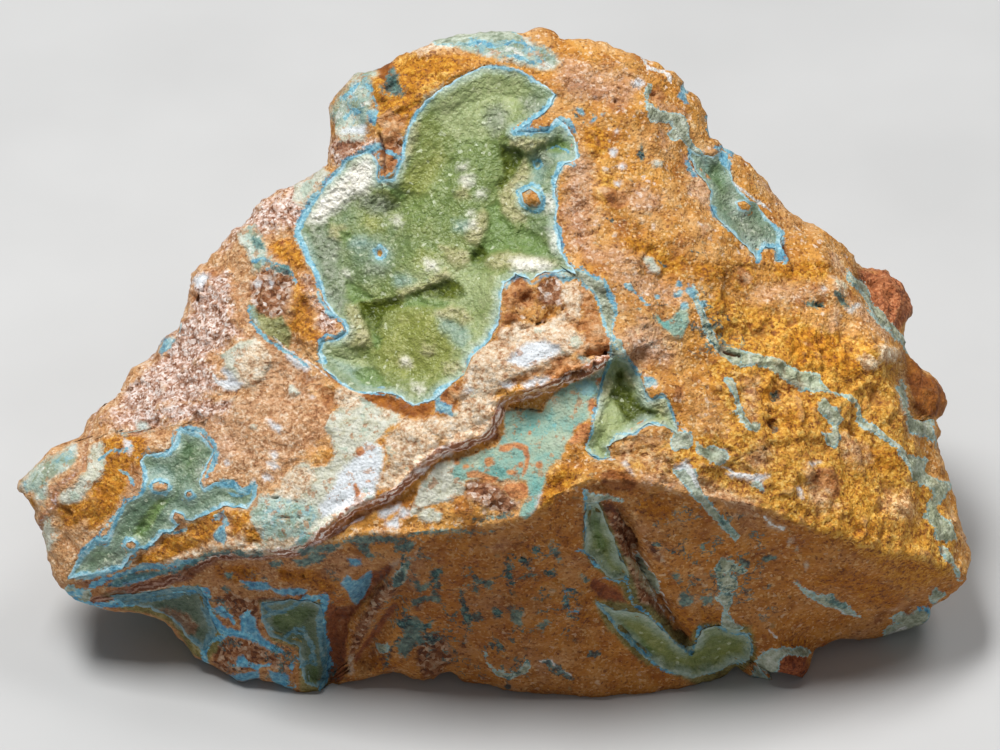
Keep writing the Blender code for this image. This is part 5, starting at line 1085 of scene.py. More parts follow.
        [(847.5, 270), (857, 279), (863, 281), (867.5, 287), (871, 296), (872.5, 304), (878.5, 311.5), (886, 321), (892.5, 328.5), (900, 336), (906,
         344), (906, 353), (900, 348.5), (892.5, 339), (884.5, 330), (877, 321), (871, 311.5), (866, 301), (863, 291.5), (857, 285.5), (851, 282.5),
         (847.5, 276)],
        [(740, 351.5), (755.5, 354.5), (767.5, 356), (780, 362.5), (789, 367), (798.5, 371.5), (807.5, 374.5), (815.5, 373), (820, 377.5), (823, 387),
         (832.5, 393), (844.5, 394.5), (854, 401), (860, 408.5), (863, 417.5), (858.5, 417.5), (855.5, 407), (846, 399), (835.5, 396), (826, 393),
         (817, 390), (812.5, 393), (804.5, 388.5), (792.5, 382.5), (780, 374.5), (767.5, 367), (752.5, 364), (740, 367)],
        [(818.5, 403), (824.5, 400), (829, 407.5), (837, 412.5), (841.5, 420), (837, 424.5), (838.5, 432.5), (840, 438.5), (834, 447.5), (831, 446),
         (826, 438.5), (820, 432.5), (826, 432.5), (834, 432.5), (835.5, 423), (827.5, 417), (820, 409)],
        [(840, 394), (851, 400), (860, 407.5), (861.5, 414), (867.5, 421.5), (875.5, 426), (883, 434), (894, 443), (904.5, 451), (915.5, 458.5), (931,
         458.5), (926, 469), (935.5, 478.5), (951, 486), (943, 495.5), (937, 506), (940, 515.5), (947.5, 521.5), (951, 531), (955.5, 540), (938.5,
         540), (934, 527.5), (927.5, 515.5), (931, 503), (934, 494), (924.5, 484.5), (911, 478.5), (909, 469), (904.5, 458.5), (895.5, 449), (886,
         441.5), (874, 432.5), (863, 427.5), (858.5, 420), (857, 411), (851, 403), (840, 397)],
        [(898.5, 380), (901.5, 380), (904.5, 395.5), (907.5, 411), (915.5, 420), (929, 421.5), (932.5, 438.5), (934, 447.5), (926, 437), (912.5, 434),
         (907.5, 423), (901.5, 407.5), (899, 392.5)],
        [(724.5, 380), (731, 380), (735.5, 392.5), (740, 406), (744.5, 417), (749, 426), (757, 426), (755.5, 431), (746, 431), (741.5, 424.5), (737,
         414), (729, 414), (729, 411), (735.5, 411), (734, 400), (727.5, 391)],
        [(667.5, 423), (677, 432.5), (691, 432.5), (692.5, 444.5), (686, 447.5), (674, 451), (671, 441.5), (674, 432.5)],
        [(695.5, 441.5), (701.5, 449), (714, 446), (726, 451), (727.5, 458.5), (720, 466), (711, 463), (700, 454)],
        [(577.5, 270), (588.5, 273), (596, 277.5), (605.5, 282.5), (611.5, 293), (614.5, 304), (616, 314.5), (613, 322.5), (613, 337.5), (611, 339),
         (607, 331.5), (604, 321), (599, 307), (596, 297.5), (587, 287), (581, 279), (568.5, 277.5), (561, 273)],
        [(611, 340), (620, 340), (621.5, 349), (631, 361.5), (627.5, 363), (618.5, 355.5), (615.5, 360), (611.5, 361.5), (611, 349)],
        [(397, 572.5), (403, 561.5), (411, 557), (409, 566), (404.5, 577), (398.5, 584.5), (394.5, 581.5)],
        [(717, 574.5), (727.5, 571.5), (735.5, 577.5), (735.5, 588.5), (723, 593), (718.5, 587)],
        [(715.5, 565.5), (721.5, 557.5), (732.5, 561), (746, 570), (743, 573), (732.5, 568.5), (723, 571.5), (717, 574.5)],
        [(718.5, 593), (732.5, 593), (731, 601), (727.5, 608.5), (729, 616), (734, 622.5), (743, 627), (738.5, 630), (727.5, 630), (723, 624), (724.5,
         605.5), (715.5, 597.5)],
        [(672.5, 470), (694, 470), (695.5, 479), (703, 493), (712.5, 507), (724.5, 519), (738.5, 536), (735.5, 541), (724.5, 528.5), (712.5, 514.5),
         (701.5, 504), (691, 494.5), (678.5, 479)],
        [(794, 581.5), (800, 580), (801.5, 586), (807.5, 592.5), (817, 595.5), (829, 595.5), (838.5, 601.5), (847.5, 607.5), (857, 614), (861.5,
         615.5), (857, 617), (846, 615.5), (838.5, 609), (831, 607.5), (820, 603), (807.5, 595.5), (798.5, 587.5)],
        [(583, 487), (589, 493), (604.5, 494.5), (615.5, 497.5), (623, 501), (620, 503), (611, 499), (598.5, 501), (589, 504), (584.5, 501)],
        [(889, 618.5), (897, 614), (909, 615.5), (917, 611), (927.5, 609), (929, 615.5), (921.5, 623), (909, 624.5), (898.5, 623)],
        [(929, 595.5), (934, 587.5), (944.5, 594), (937, 601.5), (931, 603)],
        [(940, 546), (946, 549), (951, 560), (960, 575.5), (960, 581.5), (954, 574), (946, 561.5), (941.5, 552.5)],
        [(758.5, 661.5), (771, 649), (783, 651), (777, 664.5), (774, 681.5), (767.5, 681.5), (757, 669)],
        [(484.5, 651.5), (489, 659), (495.5, 668.5), (507.5, 673), (517, 670), (526, 661), (531, 664), (526, 673), (507.5, 679), (495.5, 673), (487.5,
         664)],
        [(377, 643), (387.5, 643), (389, 651), (381.5, 655.5), (377, 652.5)],
        [(751, 486), (755.5, 480), (761.5, 483), (763, 489)],
        [(69, 584.5), (80, 587.5), (89, 587.5), (92.5, 594), (87.5, 600), (80, 601.5), (71, 597), (66, 589)],
        [(637, 556), (647.5, 565.5), (655.5, 576), (660, 588.5), (658.5, 593), (649, 581), (641.5, 568.5)],
    ],
    # blue spots and blobs
    "sky": [
        [(678.5, 92.5), (683, 81.5), (687.5, 92.5), (686, 98.5), (687.5, 106), (683, 106), (680, 100), (676, 97)],
        [(575, 109), (581, 107), (586, 113), (584, 118), (579, 115)],
        [(588, 123), (595, 116), (599, 114), (597, 120), (591, 124)],
        [(604.5, 116), (603, 117.5), (601, 117.5), (600, 115.5), (600.5, 113.5), (602.5, 113), (604.5, 114)],
        [(682, 285), (680, 287.5), (676.5, 287), (675, 284.5), (676, 281.5), (678.5, 280), (681.5, 282)],
        [(689, 284), (694, 288.5), (694, 297.5), (690, 299), (686, 291.5)],
        [(660, 298.5), (658, 301), (655, 300.5), (653.5, 298), (654.5, 295.5), (657, 294.5), (659.5, 296)],
        [(683, 294), (681, 296), (678.5, 296), (676.5, 293.5), (677.5, 291), (680.5, 289.5), (683, 291)],
        [(686.5, 308), (684.5, 310.5), (681, 310), (679.5, 307.5), (680.5, 304.5), (683.5, 303), (686, 305)],
        [(706, 306), (703, 308.5), (699, 308), (697, 305), (698, 302), (702, 300.5), (705.5, 302.5)],
        [(644.5, 377), (652.5, 377), (658.5, 384.5), (652.5, 386), (646, 389), (644, 384.5)],
        [(778.5, 251), (784.5, 249), (784.5, 260), (778.5, 263), (777, 257)],
        [(711, 204.5), (715.5, 207.5), (717, 220), (712.5, 215.5)],
        [(729, 152.5), (727.5, 161.5), (731, 171), (723, 166), (717, 155.5), (720, 152.5)],
        [(214, 534.5), (218.5, 528.5), (224.5, 527), (227.5, 531.5), (227.5, 539), (224.5, 544), (218.5, 542.5), (214.5, 539)],
        [(220, 479), (227.5, 479), (238.5, 483), (240, 487), (232.5, 488.5), (223, 487)],
        [(156, 351), (159, 343), (165.5, 337), (173, 334.5), (171.5, 341.5), (165.5, 347.5), (159, 354)],
        [(176, 331), (181, 324.5), (182.5, 326), (177.5, 332.5)],
        [(504, 287), (510, 279), (516, 274.5), (525.5, 273), (528.5, 279), (531.5, 284), (537.5, 281), (539, 276), (547, 274), (556, 272.5), (562.5,
         276), (568.5, 279), (564, 282.5), (556, 274.5), (547, 277), (541, 279), (537.5, 284.5), (530, 285.5), (524, 279), (522.5, 275.5), (516,
         277.5), (510, 284), (505.5, 290)],
        [(434, 398.5), (440, 394), (441.5, 401.5), (452.5, 406), (452.5, 415.5), (444.5, 414), (435.5, 412.5)],
        [(363, 147), (371.5, 143), (380, 141.5), (382, 148.5), (374.5, 153), (367, 153)],
        [(365.5, 111.5), (374.5, 107), (378, 110), (377, 118.5), (374.5, 125.5), (368.5, 121.5)],
        [(96, 535.5), (101, 534), (102.5, 538.5), (96, 547.5), (77.5, 558.5), (79, 551)],
        [(674, 293), (683, 291.5), (681.5, 297.5), (675.5, 297.5)],
        [(107.5, 584.5), (118.5, 580), (131, 574.5), (146, 575.5), (164.5, 570), (180, 566), (195.5, 560), (192.5, 564.5), (177, 571), (158.5, 575.5),
         (146, 581.5), (127.5, 584.5), (111, 587.5)],
        [(341.5, 581.5), (347.5, 575.5), (354, 580), (363, 577), (371, 569), (372.5, 575.5), (369, 587.5), (363, 598.5), (357, 604), (351, 600), (346,
         589)],
        [(347.5, 558.5), (361.5, 557.5), (361.5, 564.5), (351, 566)],
        [(240, 581.5), (249, 581), (267.5, 582.5), (272.5, 589), (261.5, 592.5), (249, 587.5)],
        [(271, 589), (291, 587.5), (307.5, 590), (304.5, 594), (291, 595.5), (275.5, 595.5)],
        [(212.5, 607.5), (223, 606), (231, 612.5), (227.5, 617), (220, 615.5)],
        [(241.5, 617), (247.5, 611), (255.5, 617), (256, 626), (252.5, 632.5), (260, 638.5), (260, 643), (244.5, 638.5), (229, 635.5), (223, 626),
         (241.5, 631)],
        [(240, 615.5), (247.5, 611), (255.5, 618.5), (255.5, 627.5), (267.5, 641.5), (283, 649), (286, 655.5), (271, 651), (255.5, 643), (240, 637)],
        [(247, 662.5), (243.5, 665.5), (238.5, 665.5), (236, 661.5), (237.5, 657), (242, 655.5), (246.5, 658)],
        [(244.5, 584), (260, 584.5), (260, 591), (249, 589)],
        [(226, 674), (241.5, 672.5), (260, 669), (260, 678.5), (240, 680), (231, 677)],
        [(240, 657), (247.5, 658.5), (249, 666), (240, 667.5)],
        [(267.5, 667.5), (287.5, 674), (291, 683), (278.5, 687.5), (271, 678.5)],
    ],
    # dark blue-green stains
    "dusk": [
        [(386, 74), (394, 69), (400, 75), (398, 84), (406, 90), (402, 97), (390, 96), (384, 88)],
        [(801.5, 300), (812.5, 301), (817, 304.5), (814, 308.5), (806, 306)],
        [(818.5, 303), (827.5, 301), (826, 305.5), (821.5, 308.5), (817.5, 307.5)],
        [(778.5, 396), (776, 397.5), (772.5, 397.5), (770.5, 395.5), (771.5, 393.5), (775, 393), (778, 394)],
        [(641, 146), (644, 146), (643, 160), (641, 160)],
        [(107.5, 587), (120, 577.5), (132.5, 573), (147.5, 573), (166, 570), (178.5, 568.5), (194, 562.5), (206, 553), (224.5, 550), (243, 551.5),
         (261.5, 550), (261.5, 553), (234, 554.5), (212.5, 557.5), (197, 565.5), (172.5, 573), (149, 577.5), (129, 582.5), (114, 587)],
        [(298.5, 547), (317, 545.5), (331, 542.5), (347.5, 536), (360, 533), (375.5, 534.5), (400, 535.5), (400, 544), (377, 541), (369, 547), (347.5,
         542.5), (332.5, 550), (314, 553), (301.5, 554.5)],
        [(474, 518.5), (486, 517), (507.5, 514), (514, 515.5), (498.5, 519), (483, 521.5)],
        [(400, 537), (423, 531.5), (446, 528.5), (469, 531.5), (492.5, 531.5), (486, 534), (446, 532.5), (423, 535.5), (400, 540)],
        [(720, 515.5), (729, 526), (737, 534), (734, 535.5), (724.5, 527.5), (720, 521.5)],
        [(253, 238.5), (261, 238.5), (264, 247.5), (257.5, 249), (254.5, 244.5)],
        [(832.5, 291.5), (846, 297.5), (851, 307), (847.5, 308.5), (838.5, 302.5), (832.5, 297.5)],
        [(270, 266), (285.5, 266), (291.5, 272.5), (288.5, 275.5), (276, 271)],
        [(381.5, 88.5), (385.5, 97), (394.5, 97), (403, 91.5), (405.5, 87), (400, 88.5), (394.5, 94.5), (387, 94.5)],
        [(291, 560), (307.5, 555.5), (314, 551), (329, 551), (327.5, 557), (317, 563), (304.5, 566), (295.5, 563)],
        [(269, 561.5), (283, 560.5), (281.5, 566), (271, 566)],
        [(357, 543), (369, 541.5), (371, 551), (377, 557), (372.5, 558.5), (364.5, 554), (358.5, 549)],
        [(394, 541.5), (412.5, 541.5), (412.5, 549), (395.5, 551)],
        [(415.5, 581.5), (424.5, 584.5), (431, 581.5), (429, 587.5), (421.5, 594), (417, 592.5)],
        [(431, 572.5), (440, 571), (440, 578.5), (432.5, 581.5)],
        [(414, 600), (423, 597), (432.5, 594), (440, 597), (440, 603), (431, 600), (418.5, 603), (411, 607.5)],
        [(397, 621.5), (406, 620), (415.5, 618.5), (421.5, 623), (431, 626), (424.5, 631), (421.5, 637), (426, 643), (418.5, 643), (411, 651), (406,
         658.5), (400, 654), (394, 647.5), (401.5, 637), (406, 627.5), (400, 626)],
        [(415.5, 577.5), (423, 584), (429, 585.5), (426, 591.5), (418.5, 591.5), (415.5, 585.5)],
        [(431, 590), (440, 596), (441.5, 601), (434, 601)],
        [(437, 570), (441.5, 568.5), (440, 577.5), (434, 581)],
        [(474, 584), (477.5, 584.5), (477, 593), (472.5, 591.5)],
        [(466, 604), (469, 611.5), (471, 621), (467.5, 625.5), (463, 617.5)],
        [(481.5, 579), (492.5, 581), (491, 587.5), (484, 585.5)],
        [(507.5, 568.5), (510.5, 568.5), (514, 587), (509.5, 585.5)],
        [(527.5, 573), (536, 574), (534, 577), (528.5, 576)],
        [(543, 571), (551.5, 572), (550, 575.5), (544, 574.5)],
        [(511, 558.5), (509, 559.5), (506.5, 559.5), (504.5, 558.5), (505.5, 556.5), (508.5, 556), (511, 557)],
        [(525.5, 558.5), (524, 559.5), (521.5, 559.5), (520.5, 558.5), (521, 557.5), (523.5, 557), (525.5, 557.5)],
        [(549, 544.5), (555.5, 545.5), (562.5, 559), (558.5, 561.5)],
        [(532.5, 546), (539, 545.5), (538.5, 551.5), (534, 551.5)],
        [(580, 571.5), (589, 581), (586, 585.5), (581.5, 577.5)],
        [(537, 627), (544.5, 617.5), (551.5, 624), (543, 632.5)],
        [(493, 608.5), (501.5, 610), (500, 621), (494.5, 619)],
        [(507.5, 605.5), (523, 608.5), (523, 624), (514, 622.5), (507.5, 613)],
        [(400, 542.5), (412.5, 542.5), (412.5, 549), (400, 550)],
        [(412.5, 617.5), (424.5, 621), (426, 630), (418.5, 636), (414, 630)],
        [(671, 570), (675.5, 571.5), (681.5, 581), (678.5, 584), (672.5, 576)],
        [(681.5, 593), (694, 593), (692.5, 601), (684.5, 608.5), (680, 604)],
        [(701.5, 594.5), (711, 593), (711.5, 602.5), (703, 605.5)],
        [(764, 556), (775.5, 557.5), (761.5, 562.5)],
        [(826, 598.5), (835.5, 598.5), (844.5, 606), (847.5, 611), (835.5, 606)],
        [(230, 576), (228.5, 578), (226.5, 577.5), (225, 576), (226, 573.5), (228, 573), (230, 574)],
        [(229, 590.5), (227, 592), (223.5, 592), (221.5, 590), (222.5, 587.5), (225.5, 587), (228.5, 588)],
        [(403, 556), (411, 559), (409, 568.5), (403, 565.5)],
    ],
    # ground where dark blue-green specks gather
    "specks": [
        [(380, 540), (480, 536), (570, 540), (580, 600), (570, 650), (540, 690), (480, 680), (400, 672), (370, 640), (384, 590)],
        [(640, 500), (700, 505), (760, 520), (780, 560), (770, 620), (700, 620), (670, 580), (650, 540)],
        [(630, 290), (720, 290), (760, 340), (700, 360), (640, 340)],
        [(180, 580), (340, 570), (340, 690), (220, 680)],
    ],
    # islands of rock that stand inside the pockets
    "island": [
        [(522, 193), (530, 189), (537, 194), (541, 203), (538, 208), (530, 207), (524, 202)],
        [(377, 250), (381, 249), (383, 253), (381, 257), (377, 256)],
        [(152, 484), (160, 481), (168, 484), (168, 490), (160, 492), (153, 490)],
        [(187, 492), (191, 491), (193, 495), (189, 498), (186, 496)],
        [(127, 543), (132, 541), (136, 544), (135, 548), (130, 549), (126, 546)],
        [(175, 512), (183, 515), (186, 522), (178, 524), (173, 518)],
        [(736, 203), (744, 201), (751, 206), (748, 211), (740, 210)],
        [(728, 233), (733, 232), (734, 237), (729, 238)],
        [(288, 642), (294, 637), (302, 640), (305, 650), (298, 657), (290, 654)],
    ],
}

# Blue-green stains that run as short strokes over the lower front: (path, half width).
TEALS = [
    ([(437, 568), (434, 580), (440, 590)], 2.5),
    ([(460, 590), (464, 606), (466, 622)], 3.0),
    ([(508, 566), (511, 580), (512, 594)], 2.2),
    ([(533, 548), (540, 550)], 2.6),
    ([(498, 612), (501, 620)], 3.4),
    ([(578, 590), (568, 592), (566, 604), (570, 614), (578, 618)], 2.6),
    ([(490, 644), (502, 648)], 2.0),
    ([(508, 676), (509, 688)], 3.0),
    ([(545, 662), (556, 668), (566, 676), (574, 678)], 2.6),
    ([(590, 654), (598, 652), (606, 642)], 2.6),
    ([(430, 622), (424, 632), (434, 642), (440, 638)], 3.2),
    ([(398, 640), (390, 652), (386, 668)], 2.6),
    ([(400, 625), (408, 618)], 2.6),
    ([(470, 615), (484, 618)], 1.8),
    ([(514, 556), (508, 552)], 2.0),
    ([(546, 572), (556, 574)], 1.8),
    ([(524, 560), (532, 570)], 2.0),
    ([(474, 578), (482, 582)], 2.4),
    ([(398, 566), (404, 560), (402, 574), (396, 584)], 3.0),
    ([(672, 552), (684, 548)], 2.0),
    ([(716, 560), (722, 568)], 2.4),
    ([(740, 560), (748, 566)], 2.0),
    ([(656, 540), (662, 548)], 2.0),
    ([(690, 576), (700, 580)], 2.2),
    ([(702, 546), (708, 540)], 1.8),
    ([(640, 152), (645, 158)], 2.4),
    ([(694, 251), (700, 254)], 1.6),
    ([(816, 304), (824, 307)], 2.6),
    ([(806, 301), (812, 303)], 2.0),
    ([(774, 394), (779, 400)], 2.2),
    ([(771, 424), (775, 429)], 2.2),
    ([(610, 220), (614, 222)], 1.6),
    ([(660, 262), (666, 266)], 1.6),
    ([(724, 316), (728, 320)], 1.6),
    ([(590, 118), (606, 112)], 2.2),
    ([(576, 116), (584, 122)], 2.4),
]

# Thin bright white and pink layers: (path, half width).
LAYERS = [
    ([(300, 552), (318, 542), (334, 534), (350, 524), (366, 516)], 1.6),
    ([(541.5, 392.5), (538.5, 395.5), (527.5, 398.5), (517, 397.5), (507.5, 400), (501.5, 403), (497.5, 409), (497, 417), (496, 424.5), (494.5, 434),
     (486, 440)], 1.6),
    ([(486, 440), (471, 443), (454, 446.5), (446, 447.5)], 0.5),
    ([(437, 452.5), (429, 460), (418.5, 467.5), (409, 476), (403, 486), (400, 497)], 0.7),
    ([(108.5, 400), (96, 411), (93, 420), (90, 431), (87, 441.5), (85.5, 452.5), (84, 461.5), (84.5, 467.5), (76, 472.5), (71.5, 478.5), (64, 483),
     (57.5, 487.5), (56, 495.5), (56, 504.5), (48.5, 511), (42.5, 520), (41, 531), (41.5, 538.5)], 0.9),
    ([(52.5, 486), (51.5, 495.5), (53, 501.5)], 0.8),
    ([(307.5, 551.5), (323, 541), (338.5, 530), (351, 522.5)], 0.5),
    ([(166, 584), (184.5, 577.5), (203, 569), (212.5, 562.5)], 0.35),
    ([(117, 594.5), (141.5, 588.5), (166, 582.5)], 0.35),
]

# Dark cracks and small holes: (path, half width).
CRACKS = [
    ([(783, 240), (787, 250), (790, 262), (794, 272)], 1.5),
    ([(724, 352), (732, 355), (742, 356)], 1.6),
    ([(818, 305), (821, 307)], 0.6),
    ([(776, 396), (777, 398)], 0.3),
    ([(773, 425), (774, 427)], 0.3),
    ([(643, 154), (644, 157)], 0.2),
    ([(694, 252), (696, 253)], 0.2),
    ([(507, 556), (509, 559)], 0.5),
    ([(545, 572), (547, 574)], 0.4),
    ([(521, 556), (524, 558)], 0.2),
    ([(302, 575), (304, 577)], 0.2),
    ([(378, 130), (382, 150), (384, 176)], 1.6),
    ([(720, 463), (735.5, 460), (751, 452.5), (766, 449)], 0.5),
    ([(610, 351.5), (596, 357.5), (593, 367), (581, 373), (568.5, 376), (556, 381)], 1.2),
    ([(614, 101.5), (626, 92.5), (640, 81.5)], 0.5),
    ([(519, 314.5), (528.5, 319), (536, 324), (547, 321.5), (561, 314), (564, 304)], 0.5),
    ([(740, 270), (740, 270)], 0.1),
    ([(781.5, 241.5), (786, 251), (791, 263)], 0.8),
    ([(514, 407.5), (526, 409), (541.5, 411.5)], 0.5),
    ([(560, 381.5), (575.5, 371), (595.5, 367.5)], 1.0),
    ([(266, 499), (283, 497.5), (298.5, 502.5), (307.5, 504)], 0.25),
    ([(280, 517.5), (301.5, 517.5)], 0.3),
    ([(479, 356), (482.5, 347), (494.5, 339), (502.5, 331.5)], 0.3),
    ([(569, 231.5), (584.5, 234.5), (600, 227)], 0.35),
    ([(637, 556), (641.5, 568.5), (649, 581), (657, 593), (663, 605.5), (671, 617.5)], 1.1),
    ([(618.5, 510), (626, 525.5), (634, 537.5), (637, 547)], 0.6),
    ([(672.5, 617.5), (678.5, 628.5), (687.5, 644), (691, 651.5)], 0.7),
    ([(301.5, 597), (307.5, 594.5)], 0.5),
    ([(341.5, 664.5), (344.5, 674)], 1.6),
]

STRATA = [(606, 362), (590, 369), (575, 375), (560, 383), (550, 389), (520, 397), (506, 401), (500, 412), (496, 428), (480, 441), (465, 445), (450,
 449), (437, 454), (428, 462), (418, 472), (408, 482), (393, 496), (380, 501), (365, 505), (352, 511), (342, 520), (330, 528), (318, 538), (305, 547),
 (285, 553), (262, 554), (240, 555), (215, 560), (195, 568), (180, 577), (160, 585), (140, 590), (120, 596), (100, 602), (84, 606)]


def box_grid(n, front_rows, back_rows):
    """The surface of a cube as quads: points from -1 to 1, faces, and each point's row counted down from the top.

    The first `front_rows` rows of the sides lie on the stone's front and the rest on its back.
    """
    rows = front_rows + back_rows
    size = (n, n, rows)
    corners, faces = [], []
    base = 0
    for axis in range(3):
        p, q = [k for k in range(3) if k != axis] if axis != 1 else (2, 0)
        u, v = np.meshgrid(np.arange(size[p] + 1), np.arange(size[q] + 1), indexing="ij")
        for end, flip in ((0, True), (size[axis], False)):
            grid = np.empty(u.shape + (3,), int)
            grid[..., axis] = end
            grid[..., p], grid[..., q] = u, v
            corners.append(grid.reshape(-1, 3))
            i = base + (u[:-1, :-1] * (size[q] + 1) + v[:-1, :-1]).reshape(-1)
            quad = np.stack([i, i + size[q] + 1, i + size[q] + 2, i + 1], axis=1)
            faces.append(quad[:, ::-1] if flip else quad)
            base += u.size
    corners, faces = np.vstack(corners), np.vstack(faces)
    code = (corners[:, 0] * (n + 1) + corners[:, 1]) * (rows + 1) + corners[:, 2]
    _, first, index = np.unique(code, return_index=True, return_inverse=True)
    corners = corners[first]
    row = rows - corners[:, 2]
    share = 2.0 * ROCK_FRONT
    c = np.where(row <= front_rows, 1 - share * row / front_rows, (1 - share) - (2 - share) * (row - front_rows) / back_rows)
    c = np.where(row == rows, -1.0, c)
    cube = np.stack([corners[:, 0] * 2.0 / n - 1.0, corners[:, 1] * 2.0 / n - 1.0, c], axis=1)
    return cube, index.reshape(-1)[faces], row


def normals_of(points, faces):
    a, b, c = (points[faces[:, k]] for k in (0, 1, 2))
    normal = np.cross(b - a, c - a)
    if faces.shape[1] == 4:
        d = points[faces[:, 3]]
        normal = np.cross(c - a, d - b)
    total = np.zeros_like(points)
    for k in range(faces.shape[1]):
        for axis in range(3):
            total[:, axis] += np.bincount(faces[:, k], normal[:, axis], len(points))
    return total / np.maximum(np.linalg.norm(total, axis=1), 1e-12)[:, None]


def cells(p, size, seed):
    """The two nearest scattered points of a jittered lattice: their distances and whole-number names."""
    q = p / size + 500.0
    base = np.floor(q).astype(np.int64)
    d1 = np.full(len(q), 9.0)
    d2 = np.full(len(q), 9.0)
    n1 = np.zeros(len(q), np.uint32)
    n2 = np.zeros(len(q), np.uint32)
    o1 = np.zeros_like(q)
    o2 = np.zeros_like(q)
    for dx in (-1, 0, 1):
        for dy in (-1, 0, 1):
            for dz in (-1, 0, 1):
                cx, cy, cz = base[:, 0] + dx, base[:, 1] + dy, base[:, 2] + dz
                h = lattice(cx, cy, cz, seed)
                jitter = np.stack([h & np.uint32(1023), (h >> np.uint32(10)) & np.uint32(1023), (h >> np.uint32(20)) & np.uint32(1023)], axis=1) / 1023.0
                off = q - (np.stack([cx, cy, cz], axis=1) + jitter)
                d = np.sqrt((off * off).sum(axis=1))
                closer = d < d1
                second = (~closer) & (d < d2)
                d2 = np.where(closer, d1, np.where(second, d, d2))
                n2 = np.where(closer, n1, np.where(second, h, n2))
                o2 = np.where(closer[:, None], o1, np.where(second[:, None], off, o2))
                d1 = np.where(closer, d, d1)
                n1 = np.where(closer, h, n1)
                o1 = np.where(closer[:, None], off, o1)
    return d1, d2, n1, n2, o1, o2


def chips(p, size, seed, tilt=0.34, blend=0.16):
    """Height of a surface broken into small flat chips at random slants, about -0.5 to 0.5 of `size` times tilt."""
    d1, d2, n1, n2, o1, o2 = cells(p, size, seed)

    def plane(name, offset):
        g = np.stack([(name * np.uint32(k)) >> np.uint32(12) & np.uint32(1023) for k in (7919, 104729, 1299709)], axis=1) / 511.5 - 1.0
        h = ((name * np.uint32(15485863)) >> np.uint32(14) & np.uint32(1023)) / 511.5 - 1.0
        return tilt * (g * offset).sum(axis=1) + 0.12 * h

    t = 0.5 + 0.5 * smooth(0.0, blend, d2 - d1)
    return size * (plane(n1, o1) * t + plane(n2, o2) * (1 - t))


def close_to(x, y, path, room):
    """The points within `room` of a path's bounding box."""
    pts = np.array(path, float)
    low, high = pts.min(axis=0) - room, pts.max(axis=0) + room
    return np.nonzero((x > low[0]) & (x < high[0]) & (y > low[1]) & (y < high[1]))[0]


def zone(x, y, loops, room=26.0):
    """Signed distance into the nearest of several loops, positive inside, and no lower than -room."""
    best = np.full(x.shape, -room)
    for loop in loops:
        near = close_to(x, y, loop, room)
        if len(near):
            best[near] = np.maximum(best[near], depth_in(x[near], y[near], loop))
    return best


def lines(x, y, paths, room=16.0):
    """How far inside the nearest line of given half widths each point is, in sheet units, positive inside."""
    best = np.full(x.shape, -room)
    for path, half in paths:
        near = close_to(x, y, path, room + half)
        if not len(near):
            continue
        d, _, share = path_distance(x[near], y[near], path)
        taper = np.clip(np.minimum(share, 1 - share) * 8 + 0.4, 0.4, 1)
        best[near] = np.maximum(best[near], half * taper - d)
    return best


def mesh_object(name, points_mm, faces, attributes=None, smooth_shade=True):
    mesh = bpy.data.meshes.new(name)
    mesh.from_pydata([], [], [])
    mesh.vertices.add(len(points_mm))
    mesh.vertices.foreach_set("co", (points_mm / 1000.0).astype(np.float32).reshape(-1))
    width = faces.shape[1]
    mesh.loops.add(faces.size)
    mesh.loops.foreach_set("vertex_index", faces.astype(np.int32).reshape(-1))
    mesh.polygons.add(len(faces))
    mesh.polygons.foreach_set("loop_start", (np.arange(len(faces)) * width).astype(np.int32))
    mesh.update(calc_edges=True)
    mesh.polygons.foreach_set("use_smooth", np.full(len(faces), smooth_shade))
    for key, values in (attributes or {}).items():
        layer = mesh.attributes.new(key, "FLOAT", "POINT")
        layer.data.foreach_set("value", values.astype(np.float32))
    mesh.validate()
    obj = bpy.data.objects.new(name, mesh)
    bpy.context.scene.collection.objects.link(obj)
    return obj


ROCK_FRONT = 0.79
ROCK_CUTS, FRONT_ROWS, BACK_ROWS = ((200, 158, 30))


def open_rim(x, y):
    """Distance into the nearest pocket, islands left out: positive inside."""
    best = zone(x, y, list(POCKETS.values()), 40.0)
    for loop in ZONES["island"]:
        best = np.minimum(best, -depth_in(x, y, loop))
    return best


SOFT_GROOVES = 5      # how many of the first grooves lie in the crusts, where the finished surface is gentler


def groove_depth(x, y):
    """The grooves of the crusts on their own, in millimetres."""
    total = np.zeros(x.shape)
    for path, width, height in GROOVES[:SOFT_GROOVES]:
        d, _, share = path_distance(x, y, path)
        taper = np.clip(np.minimum(share, 1 - share) * 6 + 0.35, 0, 1)
        total += 0.8 * height * taper * np.exp(-((d / (width * taper + 1e-6)) ** 2))
    return total


RAISED = {"main_druse": 0.25, "centre_druse": 0.35, "left_druse": 0.75, "upper_right_druse": 0.7}


def raised(x, y):
    """How far the finished surface stands above the plain bowl of each pocket, in millimetres."""
    total = np.zeros(x.shape)
    for name, share in RAISED.items():
        sink, width, _ = BOWLS[name]
        near = close_to(x, y, POCKETS[name], 6.0)
        total[near] += share * sink * smooth(-3.0, width, depth_in(x[near], y[near], POCKETS[name]))
    return total


